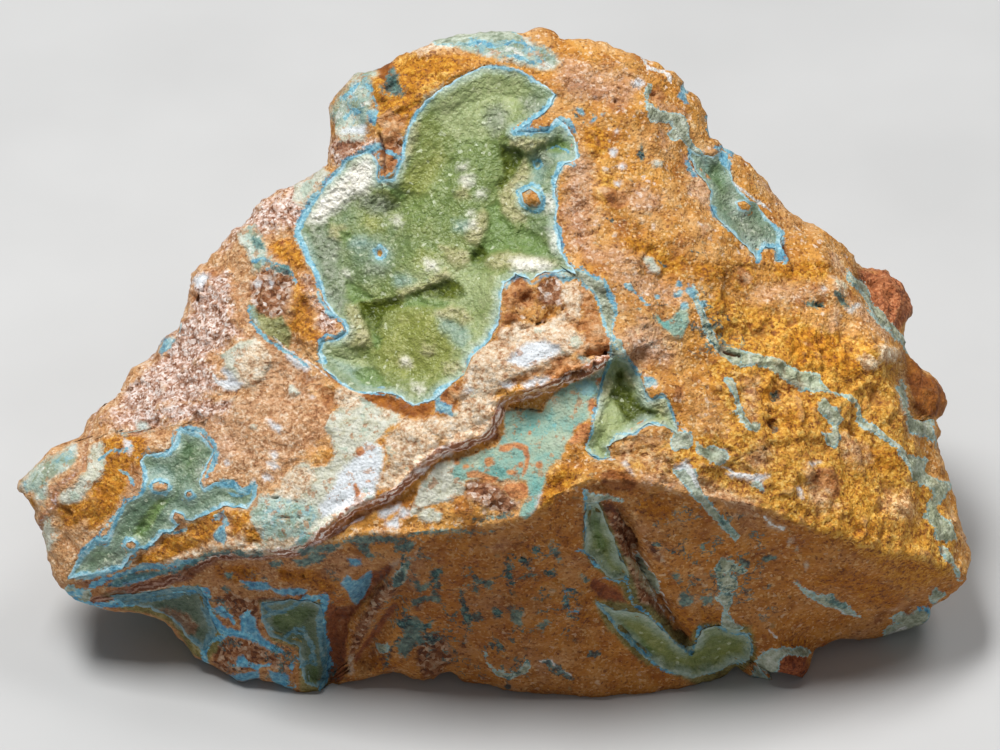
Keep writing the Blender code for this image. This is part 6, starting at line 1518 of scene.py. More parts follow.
def rock_visual():
    cube, faces, row = box_grid(ROCK_CUTS, FRONT_ROWS, BACK_ROWS)
    base = stone_points(cube, ROCK_FRONT)
    x, y, depth = from_world(base)
    behind = np.where(cube[:, 2] <= -1, 1.0, np.clip((row - FRONT_ROWS) / BACK_ROWS, 0, 1))
    front = 1 - smooth(0.03, 0.45, behind)
    corners = base[faces]
    volume = np.einsum("ij,ij->i", corners[:, 0], np.cross(corners[:, 1], corners[:, 2])) + np.einsum(
        "ij,ij->i", corners[:, 0], np.cross(corners[:, 2], corners[:, 3]))
    if volume.sum() < 0:
        faces = faces[:, ::-1]
    normal = normals_of(base, faces)

    zones = {key: zone(x, y, loops) for key, loops in ZONES.items()}
    rim = np.where(behind > 0, -1e3, open_rim(x, y))
    under = smooth(5.0, 10.0, rim)                    # the rock lies lower under each crust
    rough = 1 - smooth(-3.5, 1.5, rim)
    zones["vein"] = np.maximum(zones["vein"], lines(x, y, VEINS))
    chalk = np.max([zones[k] for k in ("pale", "white", "cyan", "turquoise")], axis=0)
    chalk = smooth(-4, 5, chalk + 4 * sheet_noise(x, y, 14.0, 3, 301)) * front
    hackly = smooth(-10, 12, np.max([zones[k] for k in ("ochre", "orange", "brown", "red")], axis=0)) * front
    grainy = smooth(-6, 6, np.maximum(zones["sugar"], zones["speckled"])) * front
    lower = smooth(4.0, -10.0, above_brow(x, y)) * front
    calm = (1 - 0.78 * chalk) * rough * (1 - 0.45 * lower)
    warped = base + 0.5 * np.stack([noise(base, 2.0, k) for k in (401, 402, 403)], axis=1)
    height = 0.55 * chips(warped, 7.0, 3) * 0.5 * calm * (0.62 + 0.25 * hackly)
    mid = 0.62 * chips(warped, 2.8, 8) * (0.5 + 0.25 * hackly + 0.1 * grainy)
    small = 0.60 * chips(warped, 1.25, 21) * (0.6 + 0.5 * hackly + 0.5 * grainy)
    tiny = 0.55 * chips(base, 0.55, 33) * (0.8 + 0.3 * hackly + 0.6 * grainy)
    mid *= calm
    small *= 0.25 * rough + 0.75 * calm
    tiny *= 0.45 * rough + 0.55 * calm
    height = height + mid + small + tiny
    height += 0.07 * fractal(base, 0.9, 2, 91) * rough
    pits = np.clip(noise(base, 1.7, 77) - 0.42, 0, 1) * smooth(-0.1, 0.35, noise(base, 9.0, 78) + 0.3 * hackly)
    height -= 0.45 * pits * calm
    ridge = 1 - np.abs(noise(base, 7.0, 141))
    height += 0.20 * (ridge - 0.7) * calm
    crack = smooth(-0.8, 1.6, lines(x, y, CRACKS) + 1.5 * sheet_noise(x, y, 6.0, 2, 17)) * front * rough
    height -= 0.75 * crack
    chalk_edge = smooth(-3.0, 2.0, np.maximum(zones["cream"], np.maximum(zones["pale"], zones["turquoise"])) + 4 * sheet_noise(x, y, 9.0, 3, 55))
    height += 0.22 * chalk_edge * front * rough
    layers = lines(x, y, LAYERS)
    height -= 0.06 * smooth(-2.0, 3.0, zones["rust"]) * front * rough
    height += 0.16 * smooth(-2.0, 1.5, zones["vein"]) * front * rough
    points = base + normal * height[:, None]
    toward = np.array([0.0, -COS, SIN])
    points += toward * (np.where(behind > 0, 0, raised(x, y)) - 1.5 * under - 0.16 * smooth(-1.0, 2.0, rim))[:, None]
    points[:, 2] = np.maximum(points[:, 2], 0.0)

    strata, side, along = path_distance(x, y, STRATA)
    # how sunk each point is among the grains; the material paints shade in the hollows and highlight on the high points
    # from it
    low = -(small + tiny + 0.6 * mid) / 0.30 + 3.0 * pits + 2.0 * crack
    attributes = {
        "front": front, "rim": -rim, "blue": lines(x, y, BLUES), "fine_white": lines(x, y, WHITES), "teal": lines(x, y, TEALS),
        "layer": layers, "crack": crack, "strata": strata * side, "along": along, "brow": above_brow(x, y), "low": low,
    }
    attributes.update(zones)
    # painted shade along the deeper grooves
    groove_painted_shade = np.zeros(x.shape)
    for path, width, deep in GROOVES:
        if deep < -1.0:
            d, _, _ = path_distance(x, y, path)
            groove_painted_shade = np.maximum(groove_painted_shade, np.exp(-((d / width) ** 2)))
    attributes["groove_painted_shade"] = groove_painted_shade * front
    attributes["peach"] = smooth(345, 270, x) * front
    # painted light: soft brighter patches on the right face and the lower front
    attributes["painted_light"] = np.clip(np.exp(-(((x - 820) / 70) ** 2) - ((y - 345) / 60) ** 2) + np.exp(-(((x - 895) / 60) ** 2) - ((y - 515) / 40) ** 2)
                                 + 0.6 * np.exp(-(((x - 690) / 90) ** 2) - ((y - 560) / 26) ** 2), 0, 1) * front
    # painted shade: a soft dark patch over the middle of the lower front
    attributes["painted_front_shade"] = np.exp(-(((x - 480) / 110) ** 2) - (((y - 605) / 80) ** 2))

    normal = normals_of(points, faces)
    on_back = (row[faces] > FRONT_ROWS).any(axis=1)
    middle_x, brow = x[faces].mean(axis=1), above_brow(x[faces].mean(axis=1), y[faces].mean(axis=1))
    groups = {
        "rock_back": on_back,
        "rock_front": ~on_back & (brow < 0),
        "rock_left": ~on_back & (brow >= 0) & (middle_x < 520),
        "rock_right": ~on_back & (brow >= 0) & (middle_x >= 520),
    }
    pieces = []
    for name, chosen in groups.items():
        used, index = np.unique(faces[chosen], return_inverse=True)
        piece = mesh_object(name, points[used], index.reshape(-1, 4), {k: v[used] for k, v in attributes.items()})
        piece.data.normals_split_custom_set_from_vertices(normal[used].tolist())
        pieces.append(piece)
        print(name, 2 * int(chosen.sum()), "triangles")
    return pieces


# ---------------------------------------------------------------------------
# Crystal crusts
# ---------------------------------------------------------------------------
def draped_points(loop, holes, spacing):
    """Points and triangles that fill a sheet loop around its holes."""
    rings = []
    for outline in [loop] + holes:
        ring = []
        for (ax, ay), (bx, by) in zip(outline, np.roll(outline, -1, axis=0)):
            parts = max(1, int(round(math.hypot(bx - ax, by - ay) / spacing)))
            ring += [(ax + (bx - ax) * i / parts, ay + (by - ay) * i / parts) for i in range(parts)]
        rings.append(np.array(ring))
    low, high = rings[0].min(axis=0), rings[0].max(axis=0)
    j, i = np.mgrid[0 : int((high[1] - low[1]) / (spacing * 0.866)) + 1, 0 : int((high[0] - low[0]) / spacing) + 2]
    spots = np.stack([low[0] + (i + 0.5 * (j % 2)) * spacing, low[1] + j * spacing * 0.866], axis=-1).reshape(-1, 2)
    room = depth_in(spots[:, 0], spots[:, 1], rings[0])
    for ring in rings[1:]:
        room = np.minimum(room, -depth_in(spots[:, 0], spots[:, 1], ring))
    spots = spots[room > 0.55 * spacing]
    flat, cycles = [], []
    for ring in rings:
        cycles.append(list(range(len(flat), len(flat) + len(ring))))
        flat += [Vector(p) for p in ring]
    flat += [Vector(p) for p in spots]
    edges = [(a, b) for cycle in cycles[1:] for a, b in zip(cycle, cycle[1:] + cycle[:1])]
    points, _, faces, _, _, _ = delaunay_2d_cdt(flat, edges, [cycles[0]], 1, 1e-4)
    points, faces = np.array([p[:] for p in points]), np.array([list(f) for f in faces], int)
    centre = points[faces].mean(axis=1)
    keep = np.ones(len(faces), bool)
    for ring in rings[1:]:
        keep &= ~inside(centre[:, 0], centre[:, 1], ring)
    faces = faces[keep]
    used, index = np.unique(faces, return_inverse=True)
    return points[used], index.reshape(-1, 3)


def ragged(loop, seed, step=3.0, size=2.4):
    """A loop with more points, each moved a little, so its edge looks grown rather than drawn."""
    out = []
    pts = np.array(loop, float)
    for a, b in zip(pts, np.roll(pts, -1, axis=0)):
        parts = max(1, int(round(np.linalg.norm(b - a) / step)))
        out += [a + (b - a) * i / parts for i in range(parts)]
    out = np.array(out)
    move = np.stack([sheet_noise(out[:, 0], out[:, 1], 11.0, 2, seed), sheet_noise(out[:, 0], out[:, 1], 11.0, 2, seed + 9)], axis=1)
    fine = np.stack([sheet_noise(out[:, 0], out[:, 1], 4.5, 2, seed + 3), sheet_noise(out[:, 0], out[:, 1], 4.5, 2, seed + 12)], axis=1)
    return out + size * move + 1.0 * fine


def blot(x, y, marks):
    """The strongest of several soft oval marks: (x, y, half width, half height, strength, slant in degrees)."""
    best = np.zeros(x.shape)
    for mx, my, rx, ry, much, slant in marks:
        c, s = math.cos(math.radians(slant)), math.sin(math.radians(slant))
        dx, dy = x - mx, y - my
        best = np.maximum(best, much * np.exp(-(((dx * c + dy * s) / rx) ** 2) - ((dy * c - dx * s) / ry) ** 2))
    return best


# Areas on the crusts' sheet, and soft blots (x, y, half width, half height, strength, slant).
AREAS = {
    # crevices of the crusts, sunk and coloured dark as painted shade
    "deep": [
        [(501, 147), (511, 149), (520, 149), (523, 156), (521, 163), (518, 168), (514, 175), (510, 180), (506, 184), (502, 189), (497, 187),
         (501, 181), (505, 176), (505, 170), (503, 163), (501, 155)],
        [(484, 249), (487, 253), (484, 259), (479, 262), (472, 262), (470, 257), (475, 251), (479, 246)],
        [(425, 289), (435, 285), (443, 282), (451, 280), (459, 282), (463, 288), (465, 295), (457, 300), (448, 299), (440, 298), (429, 297), (422, 295), (414, 298), (412, 294)],
        [(359, 302), (368, 303), (377, 302), (389, 300), (397, 298), (402, 303), (396, 309), (386, 311), (382, 318), (380, 328), (377, 334), (371, 330), (366, 323), (361, 314)],
        [(616, 374), (621, 370), (624, 376), (622, 384), (630, 388), (633, 396), (640, 400), (645, 408), (656, 412), (658, 417), (648, 418), (640, 422), (630, 425), (624, 416), (614, 402), (610, 394), (616, 386)],
        [(186, 443), (192, 446), (192, 460), (187, 467), (182, 460), (182, 450)],
        [(137, 526), (144, 523), (151, 528), (148, 534), (140, 533)],
        [(716, 164), (724, 168), (726, 180), (720, 188), (712, 178), (711, 168)],
    ],
    "basin": [
        [(497, 200), (490, 204), (485, 207), (489, 213), (488, 227), (484, 237), (481, 244), (478, 250), (471, 256), (473, 262), (484, 257), (491, 253),
         (501, 251), (509, 248), (514, 253), (519, 251), (516, 241), (518, 234), (513, 226), (507, 219), (501, 214), (500, 205)],
        [(547, 144), (554, 142), (566, 140), (574, 143), (571, 150), (560, 152), (549, 151)],
        [(343, 275), (350, 278), (357, 285), (369, 294), (378, 297), (361, 303), (353, 303), (349, 295), (344, 285)],
        [(372, 330), (378, 334), (381, 340), (378, 349), (374, 346), (371, 338)],
        [(386, 183), (396, 186), (407, 196), (401, 200), (390, 193), (384, 187)],
        [(339, 231), (350, 230), (352, 238), (344, 242), (339, 238)],
        [(512, 232), (524, 228), (540, 236), (548, 246), (552, 254), (540, 256), (524, 254), (516, 244)],
        [(406, 296), (420, 290), (424, 298), (440, 300), (452, 302), (444, 308), (424, 306), (404, 306)],
        [(352, 372), (366, 366), (380, 372), (390, 384), (376, 388), (360, 382)],
        [(168, 500), (160, 512), (152, 526), (140, 538), (132, 536), (140, 520), (150, 508), (160, 498)],
        [(276, 612), (290, 608), (306, 606), (314, 612), (300, 624), (284, 630), (272, 624)], [(304, 664), (316, 660), (320, 680), (308, 684)],
        [(590, 500), (598, 520), (606, 548), (600, 552), (592, 530), (588, 510)], [(616, 620), (634, 632), (656, 652), (650, 662), (626, 642), (612, 626)],
    ],
    "cream": [
        [(511, 137), (520, 136), (532, 138), (546, 138), (547, 144), (537, 147), (527, 153), (520, 149), (511, 146)],
        [(509, 177), (517, 168), (524, 158), (530, 168), (531, 178), (521, 186), (517, 197), (521, 206), (527, 214), (524, 222), (514, 222), (507, 217), (501, 210), (500, 193), (504, 184)],
        [(484, 209), (488, 214), (489, 222), (484, 236), (478, 245), (470, 242), (463, 239), (468, 230), (474, 221), (477, 213)],
        [(440, 246), (454, 248), (466, 251), (471, 259), (466, 265), (458, 269), (448, 260)],
        [(488, 258), (497, 252), (508, 253), (520, 254), (531, 256), (543, 258), (556, 261), (560, 265), (549, 272), (531, 272), (517, 272), (506, 268), (494, 268), (486, 264)],
        [(397, 292), (406, 288), (414, 286), (423, 283), (431, 280), (440, 276), (449, 273), (445, 280), (433, 286), (426, 290), (415, 296), (406, 299), (399, 296)],
        [(347, 306), (357, 304), (361, 312), (365, 322), (370, 333), (373, 344), (364, 346), (354, 347), (343, 342), (349, 330), (347, 317)],
        [(433, 313), (450, 305), (464, 309), (472, 319), (463, 326), (454, 319), (440, 318)],
        [(443, 361), (459, 360), (466, 368), (456, 375), (444, 373)], [(400, 356), (410, 358), (412, 366), (402, 368), (396, 362)],
        [(424, 346), (433, 347), (436, 354), (428, 357), (422, 352)], [(352, 338), (360, 340), (360, 346), (350, 346)],
        [(430, 276), (446, 268), (452, 276), (440, 284), (428, 284)], [(405, 128), (414, 118), (420, 124), (414, 150), (406, 160), (400, 148)],
        [(330, 224), (344, 226), (350, 232), (340, 240), (330, 236)], [(454, 190), (466, 186), (470, 196), (458, 200)],
        [(602, 380), (610, 376), (614, 384), (608, 396), (602, 408), (598, 420), (594, 412), (598, 394)], [(626, 372), (634, 376), (638, 388), (630, 386), (624, 378)],
        [(640, 392), (652, 390), (664, 398), (672, 410), (664, 416), (652, 408), (642, 400)], [(632, 428), (650, 422), (668, 420), (664, 428), (648, 432), (634, 436)],
    ],
    "white": [
        [(334, 180), (347, 168), (360, 158), (372, 155), (378, 162), (378, 174), (374, 184), (366, 192), (354, 196), (344, 204), (334, 212), (322, 222), (312, 226), (307, 222), (310, 214), (318, 200), (326, 190)],
        [(462, 177), (470, 175), (473, 181), (466, 184)], [(459, 166), (464, 165), (466, 169), (460, 170)], [(478, 192), (483, 192), (483, 196), (478, 196)],
        [(395, 218), (400, 218), (401, 223), (396, 224)], [(415, 384), (421, 385), (420, 391), (414, 390)], [(403, 359), (408, 360), (408, 364), (403, 364)],
        [(470, 214), (475, 216), (475, 226), (470, 226)], [(546, 198), (556, 196), (558, 212), (552, 214), (546, 206)], [(550, 230), (557, 228), (559, 248), (552, 250)],
        [(512, 260), (526, 258), (544, 262), (552, 266), (540, 270), (520, 270)], [(344, 272), (349, 274), (350, 282), (344, 284)], [(428, 262), (436, 262), (437, 270), (428, 270)],
    ],
    "lilac": [
        [(722, 196), (730, 190), (744, 206), (758, 226), (774, 246), (762, 256), (744, 240), (730, 214)],
        [(311, 231), (322, 230), (336, 236), (341, 248), (338, 262), (337, 280), (330, 286), (323, 276), (318, 256), (312, 242)],
        [(322, 290), (334, 284), (342, 292), (346, 304), (340, 312), (332, 304)], [(536, 150), (548, 152), (552, 164), (544, 168), (536, 160)],
        [(356, 196), (370, 192), (384, 196), (396, 206), (386, 216), (372, 214), (360, 206)], [(366, 262), (388, 268), (384, 276), (366, 272)],
        [(486, 108), (500, 104), (510, 112), (506, 128), (494, 136), (484, 126)], [(520, 100), (536, 96), (548, 108), (540, 114), (524, 112)],
        [(100, 562), (120, 552), (128, 560), (112, 572), (98, 572)], [(200, 460), (206, 468), (200, 486), (194, 480)],
    ],
    "aqua": [
        [(372, 246), (380, 243), (388, 247), (390, 256), (384, 263), (376, 262), (371, 256)], [(394, 277), (406, 274), (416, 279), (412, 285), (400, 287), (393, 284)],
        [(349, 238), (366, 237), (372, 245), (360, 250), (350, 246)], [(530, 158), (540, 156), (548, 162), (546, 176), (544, 184), (530, 184), (526, 176), (532, 168)],
        [(436, 312), (452, 318), (466, 326), (472, 336), (464, 350), (450, 340), (440, 328)],
        [(454, 220), (468, 218), (474, 226), (466, 234), (454, 230)], [(540, 108), (552, 98), (560, 108), (554, 120), (544, 118)], [(300, 232), (308, 236), (318, 260), (322, 284), (314, 280), (306, 260)],
        [(546, 154), (560, 152), (572, 150), (576, 156), (566, 160), (552, 160)], [(462, 362), (480, 350), (492, 336), (500, 318), (498, 340), (486, 360), (468, 376)],
        [(372, 372), (380, 388), (370, 392), (352, 382), (340, 370), (330, 358), (344, 362)], [(146, 470), (160, 466), (174, 478), (170, 492), (154, 498), (142, 488)],
        [(700, 152), (708, 150), (708, 170), (702, 168)], [(742, 232), (770, 240), (780, 256), (764, 262), (746, 250)],
    ],
    "olive": [
        [(400, 312), (426, 308), (444, 318), (452, 336), (448, 360), (430, 372), (404, 374), (386, 366), (378, 350), (384, 330)],
        [(402, 178), (420, 160), (440, 150), (446, 160), (436, 180), (420, 196), (406, 196)],
        [(364, 214), (380, 218), (384, 232), (372, 234), (362, 224)], [(420, 250), (440, 256), (446, 268), (430, 276), (414, 270)],
        [(590, 418), (606, 412), (622, 416), (624, 432), (610, 446), (592, 446)], [(614, 618), (640, 624), (660, 646), (650, 660), (624, 640)],
    ],
    "light": [
        [(448, 74), (460, 66), (480, 62), (504, 64), (522, 74), (528, 90), (520, 110), (506, 126), (486, 136), (462, 140), (446, 132), (436, 118), (436, 100), (440, 84)],
        [(300, 286), (320, 296), (340, 322), (350, 350), (372, 372), (360, 384), (340, 372), (326, 350), (318, 326), (306, 306)],
        [(404, 270), (440, 262), (500, 276), (540, 280), (520, 300), (480, 312), (440, 306), (410, 300)],
        [(470, 320), (500, 300), (512, 310), (500, 340), (480, 366), (458, 384), (440, 388), (452, 360)],
        [(594, 374), (610, 362), (624, 370), (642, 388), (672, 404), (670, 424), (644, 432), (618, 446), (598, 458), (588, 450), (590, 414)],
    ],
    "rust": [
        [(143, 612), (156, 609), (168, 608), (180, 611), (189, 614), (198, 626), (195, 635), (180, 638), (171, 629), (160, 623), (146, 618)],
        [(526, 194), (530, 192), (534, 196), (532, 202), (527, 201)],
    ],
    "green": [
        [(400, 186), (420, 160), (445, 140), (470, 128), (495, 134), (504, 148), (502, 170), (492, 198), (474, 214), (455, 232), (432, 232), (410, 222), (396, 206)],
        [(420, 236), (450, 240), (440, 262), (420, 270), (400, 262), (404, 246)],
    ],
}
BROAD = {
    "main_druse": [(554, 108, 12, 12, 1.0, 0), (300, 244, 8, 16, 1.0, -20), (312, 274, 7, 14, 1.0, -20), (321, 299, 6, 10, 0.8, 0), (343, 324, 6, 5, 0.5, 0), (400, 152, 6, 20, 0.5, 20),
                   (414, 112, 10, 6, 0.5, -40), (379, 396, 16, 4, 0.4, 0), (470, 352, 22, 10, 0.7, -45), (440, 392, 14, 8, 0.8, 0), (516, 131, 12, 8, 0.7, -20), (560, 168, 5, 12, 0.8, 0), (384, 184, 10, 8, 0.7, 0)],
    "left_druse": [(240, 494, 34, 24, 0.8, 0), (110, 556, 60, 30, 0.55, -20), (190, 450, 40, 30, 0.5, 0)], "upper_right_druse": [(768, 250, 24, 12, 0.6, 30)],
    "lower_left_druse": [(204, 620, 10, 30, 1.0, 0)], "foot_druse": [(268, 630, 8, 16, 1.0, 0), (322, 640, 7, 50, 0.9, 0)],
}


def druse_zones(name, x, y, edge):
    """Signed distances into the areas of a crust, and its broad shifts of colour, 0 to 1."""
    found = {key: zone(x, y, loops, 20.0) for key, loops in AREAS.items()}
    found["broad"] = blot(x, y, BROAD.get(name, []))
    found["blue"] = lines(x, y, BLUES)
    found["sky"] = zone(x, y, ZONES["sky"], 20.0)
    warm = {"main_druse": 0.2, "centre_druse": 0.35, "left_druse": 0.0, "upper_right_druse": 0.0, "front_band_druse": 0.3,
            "lower_right_druse": 0.6, "lower_left_druse": 0.2, "foot_druse": 0.1}[name] + np.zeros(x.shape)
    cool = {"left_druse": 0.85, "upper_right_druse": 0.8, "foot_druse": 0.6, "lower_left_druse": 0.9}.get(name, 0.0) + np.zeros(x.shape)
    if name == "main_druse":
        warm = 0.10 + 0.55 * smooth(276, 330, y) * smooth(335, 380, x) * smooth(490, 440, x) + 0.35 * np.exp(-(((x - 420) / 50) ** 2) - ((y - 170) / 50) ** 2)
        cool = 0.45 * smooth(380, 320, x) + 0.35 * smooth(350, 410, y) + 0.35 * smooth(505, 545, x) + 0.55 * np.exp(-(((x - 375) / 34) ** 2) - ((y - 255) / 26) ** 2)
    found["warm"] = np.clip(warm + 0.2 * sheet_noise(x, y, 30.0, 3, 41), 0, 1)
    found["cool"] = np.clip(cool + 0.25 * sheet_noise(x, y, 26.0, 3, 43), 0, 1)
    found["bluish"] = {"upper_right_druse": 0.75, "centre_druse": 0.2, "front_band_druse": 0.12, "lower_right_druse": 0.12}.get(name, 1.0) + np.zeros(x.shape)
    # painted shade: how much the crusts on the front below the brow are darkened
    found["crust_painted_shade"] = {"front_band_druse": 0.25, "lower_right_druse": 0.2, "lower_left_druse": 0.7, "foot_druse": 0.7}.get(name, 0.0) + np.zeros(x.shape)
    return found


def druse_visual(name, seed, spacing, size):
    """One crust: lumps covered by small flat-faced crystals that stand at random slants, as one closed mesh."""
    pocket = POCKETS[name]
    loop = ragged(pocket, seed)
    holes = []
    for island in ZONES["island"]:
        cx, cy = np.mean(island, axis=0)
        if depth_in(np.array([cx]), np.array([cy]), pocket)[0] > 3:
            holes.append(np.array(island, float))
    flat, faces = draped_points(loop, holes, spacing)
    x, y = flat.T
    a, b, c = (flat[faces[:, k]] for k in (0, 1, 2))
    turn = (b[:, 0] - a[:, 0]) * (c[:, 1] - a[:, 1]) - (b[:, 1] - a[:, 1]) * (c[:, 0] - a[:, 0])
    faces = np.where((turn > 0)[:, None], faces[:, ::-1], faces)  # y runs down the sheet, so this turns the faces to its front

    def edge_at(px, py):
        edge = depth_in(px, py, loop)
        for hole in holes:
            edge = np.minimum(edge, -depth_in(px, py, hole))
        return np.maximum(edge, 0)

    edge = edge_at(x, y)
    wave = [3.0 * sheet_noise(x, y, 14.0, 3, k) for k in (71, 73)]
    depth = front_depth(x, y) + raised(x, y)
    if name in ("main_druse", "centre_druse"):
        depth -= groove_depth(x, y) * smooth(1.0, 9.0, edge)
    top = to_world(x, y, depth)
    normal = normals_of(top, faces)
    zones = druse_zones(name, x + wave[0], y + wave[1], edge)
    _, _, crystal, _, _, _ = cells(top, size, seed + 2)
    d1, _, _, _, _, _ = cells(top, 2.1, seed)
    d3, _, _, _, _, _ = cells(top, 4.6, seed + 5)
    coarse = np.max([smooth(-4, 4, zones[k]) for k in ("cream", "white", "lilac")], axis=0)
    swell = (1 + 1.1 * coarse) * (chips(top, size, seed + 2, 0.13, 0.5) + 0.7 * chips(top, 0.5 * size, seed + 3, 0.16, 0.4))
    swell += 0.05 * (0.55 - d1) + 0.22 * (0.5 - d3) + 0.16 * noise(top, 2.6, seed + 6) + 0.08 * fractal(top, 1.2, 2, seed) + 0.028 * noise(top, 0.34, seed + 7)
    swell += 0.25 * smooth(-4, 4, zones["cream"]) + 0.2 * smooth(-6, 6, zones["white"]) - 0.38 * smooth(-3, 6, zones["deep"]) - 0.28 * smooth(-3, 5, zones["basin"]) - 0.05
    rise = smooth(0.0, 5.0, edge)
    thick = BOWLS[name][2]
    top = top + normal * (swell * rise + 0.04)[:, None]
    count = len(x)
    directed = np.concatenate([faces[:, [0, 1]], faces[:, [1, 2]], faces[:, [2, 0]]])
    _, index, times = np.unique(np.sort(directed, axis=1), axis=0, return_inverse=True, return_counts=True)
    border = directed[times[index.reshape(-1)] == 1]
    # the underside is coarser but has the same edge points, so a wall joins the two
    ring = np.unique(border)
    slot = np.full(count, -1)
    slot[ring] = np.arange(len(ring))
    chosen_flat = np.vstack([flat[ring], inner_spots(loop, holes, spacing * 3.5)])
    under_points, under_faces = under_sheet(chosen_flat, border, slot, loop, holes)
    low = to_world(under_points[:, 0], under_points[:, 1], front_depth(under_points[:, 0], under_points[:, 1]) + raised(under_points[:, 0], under_points[:, 1]) - thick)
    walls = np.vstack([
        np.stack([border[:, 1], border[:, 0], slot[border[:, 0]] + count], axis=1),
        np.stack([border[:, 1], slot[border[:, 0]] + count, slot[border[:, 1]] + count], axis=1),
    ])
    points = [np.vstack([top, low])]
    parts = [np.vstack([faces, under_faces + count, walls])]
    base_count = count + len(low)
    tone = [np.concatenate([((crystal >> np.uint32(7)) & np.uint32(255)) / 255.0, np.full(len(low), 0.3)])]
    points = np.vstack(points)
    px, py, _ = from_world(points)
    attributes = {"tone": np.concatenate(tone), "edge": edge_at(px, py)}
    attributes.update(druse_zones(name, px, py, attributes["edge"]))
    attributes["brow"] = above_brow(px, py)
    faces = np.vstack(parts)
    print(name, len(faces), "triangles")
    obj = mesh_object(name + "_crystals", points, faces, attributes, smooth_shade=False)
    return obj


def inner_spots(loop, holes, spacing):
    low, high = np.min(loop, axis=0), np.max(loop, axis=0)
    j, i = np.mgrid[0 : int((high[1] - low[1]) / (spacing * 0.866)) + 1, 0 : int((high[0] - low[0]) / spacing) + 2]
    spots = np.stack([low[0] + (i + 0.5 * (j % 2)) * spacing, low[1] + j * spacing * 0.866], axis=-1).reshape(-1, 2)
    room = depth_in(spots[:, 0], spots[:, 1], loop)
    for hole in holes:
        room = np.minimum(room, -depth_in(spots[:, 0], spots[:, 1], hole))
    return spots[room > 0.4 * spacing]


def under_sheet(spots, border, slot, loop, holes):
    """A coarse sheet on the same edge points as the top, its faces turned to the back."""
    edges = [(int(slot[a]), int(slot[b])) for a, b in border]
    points, _, faces, origin, _, _ = delaunay_2d_cdt([Vector(p) for p in spots], edges, [], 0, 1e-5)
    points, faces = np.array([p[:] for p in points]), np.array([list(f) for f in faces], int)
    if len(points) != len(spots):
        raise ValueError("the underside gained or lost points")
    order = np.array([o[0] for o in origin])
    faces = order[faces]
    points = spots
    centre = points[faces].mean(axis=1)
    keep = inside(centre[:, 0], centre[:, 1], loop)
    for hole in holes:
        keep &= ~inside(centre[:, 0], centre[:, 1], hole)
    faces = faces[keep]
    a, b, c = (points[faces[:, k]] for k in (0, 1, 2))
    turn = (b[:, 0] - a[:, 0]) * (c[:, 1] - a[:, 1]) - (b[:, 1] - a[:, 1]) * (c[:, 0] - a[:, 0])
    return points, np.where((turn < 0)[:, None], faces[:, ::-1], faces)


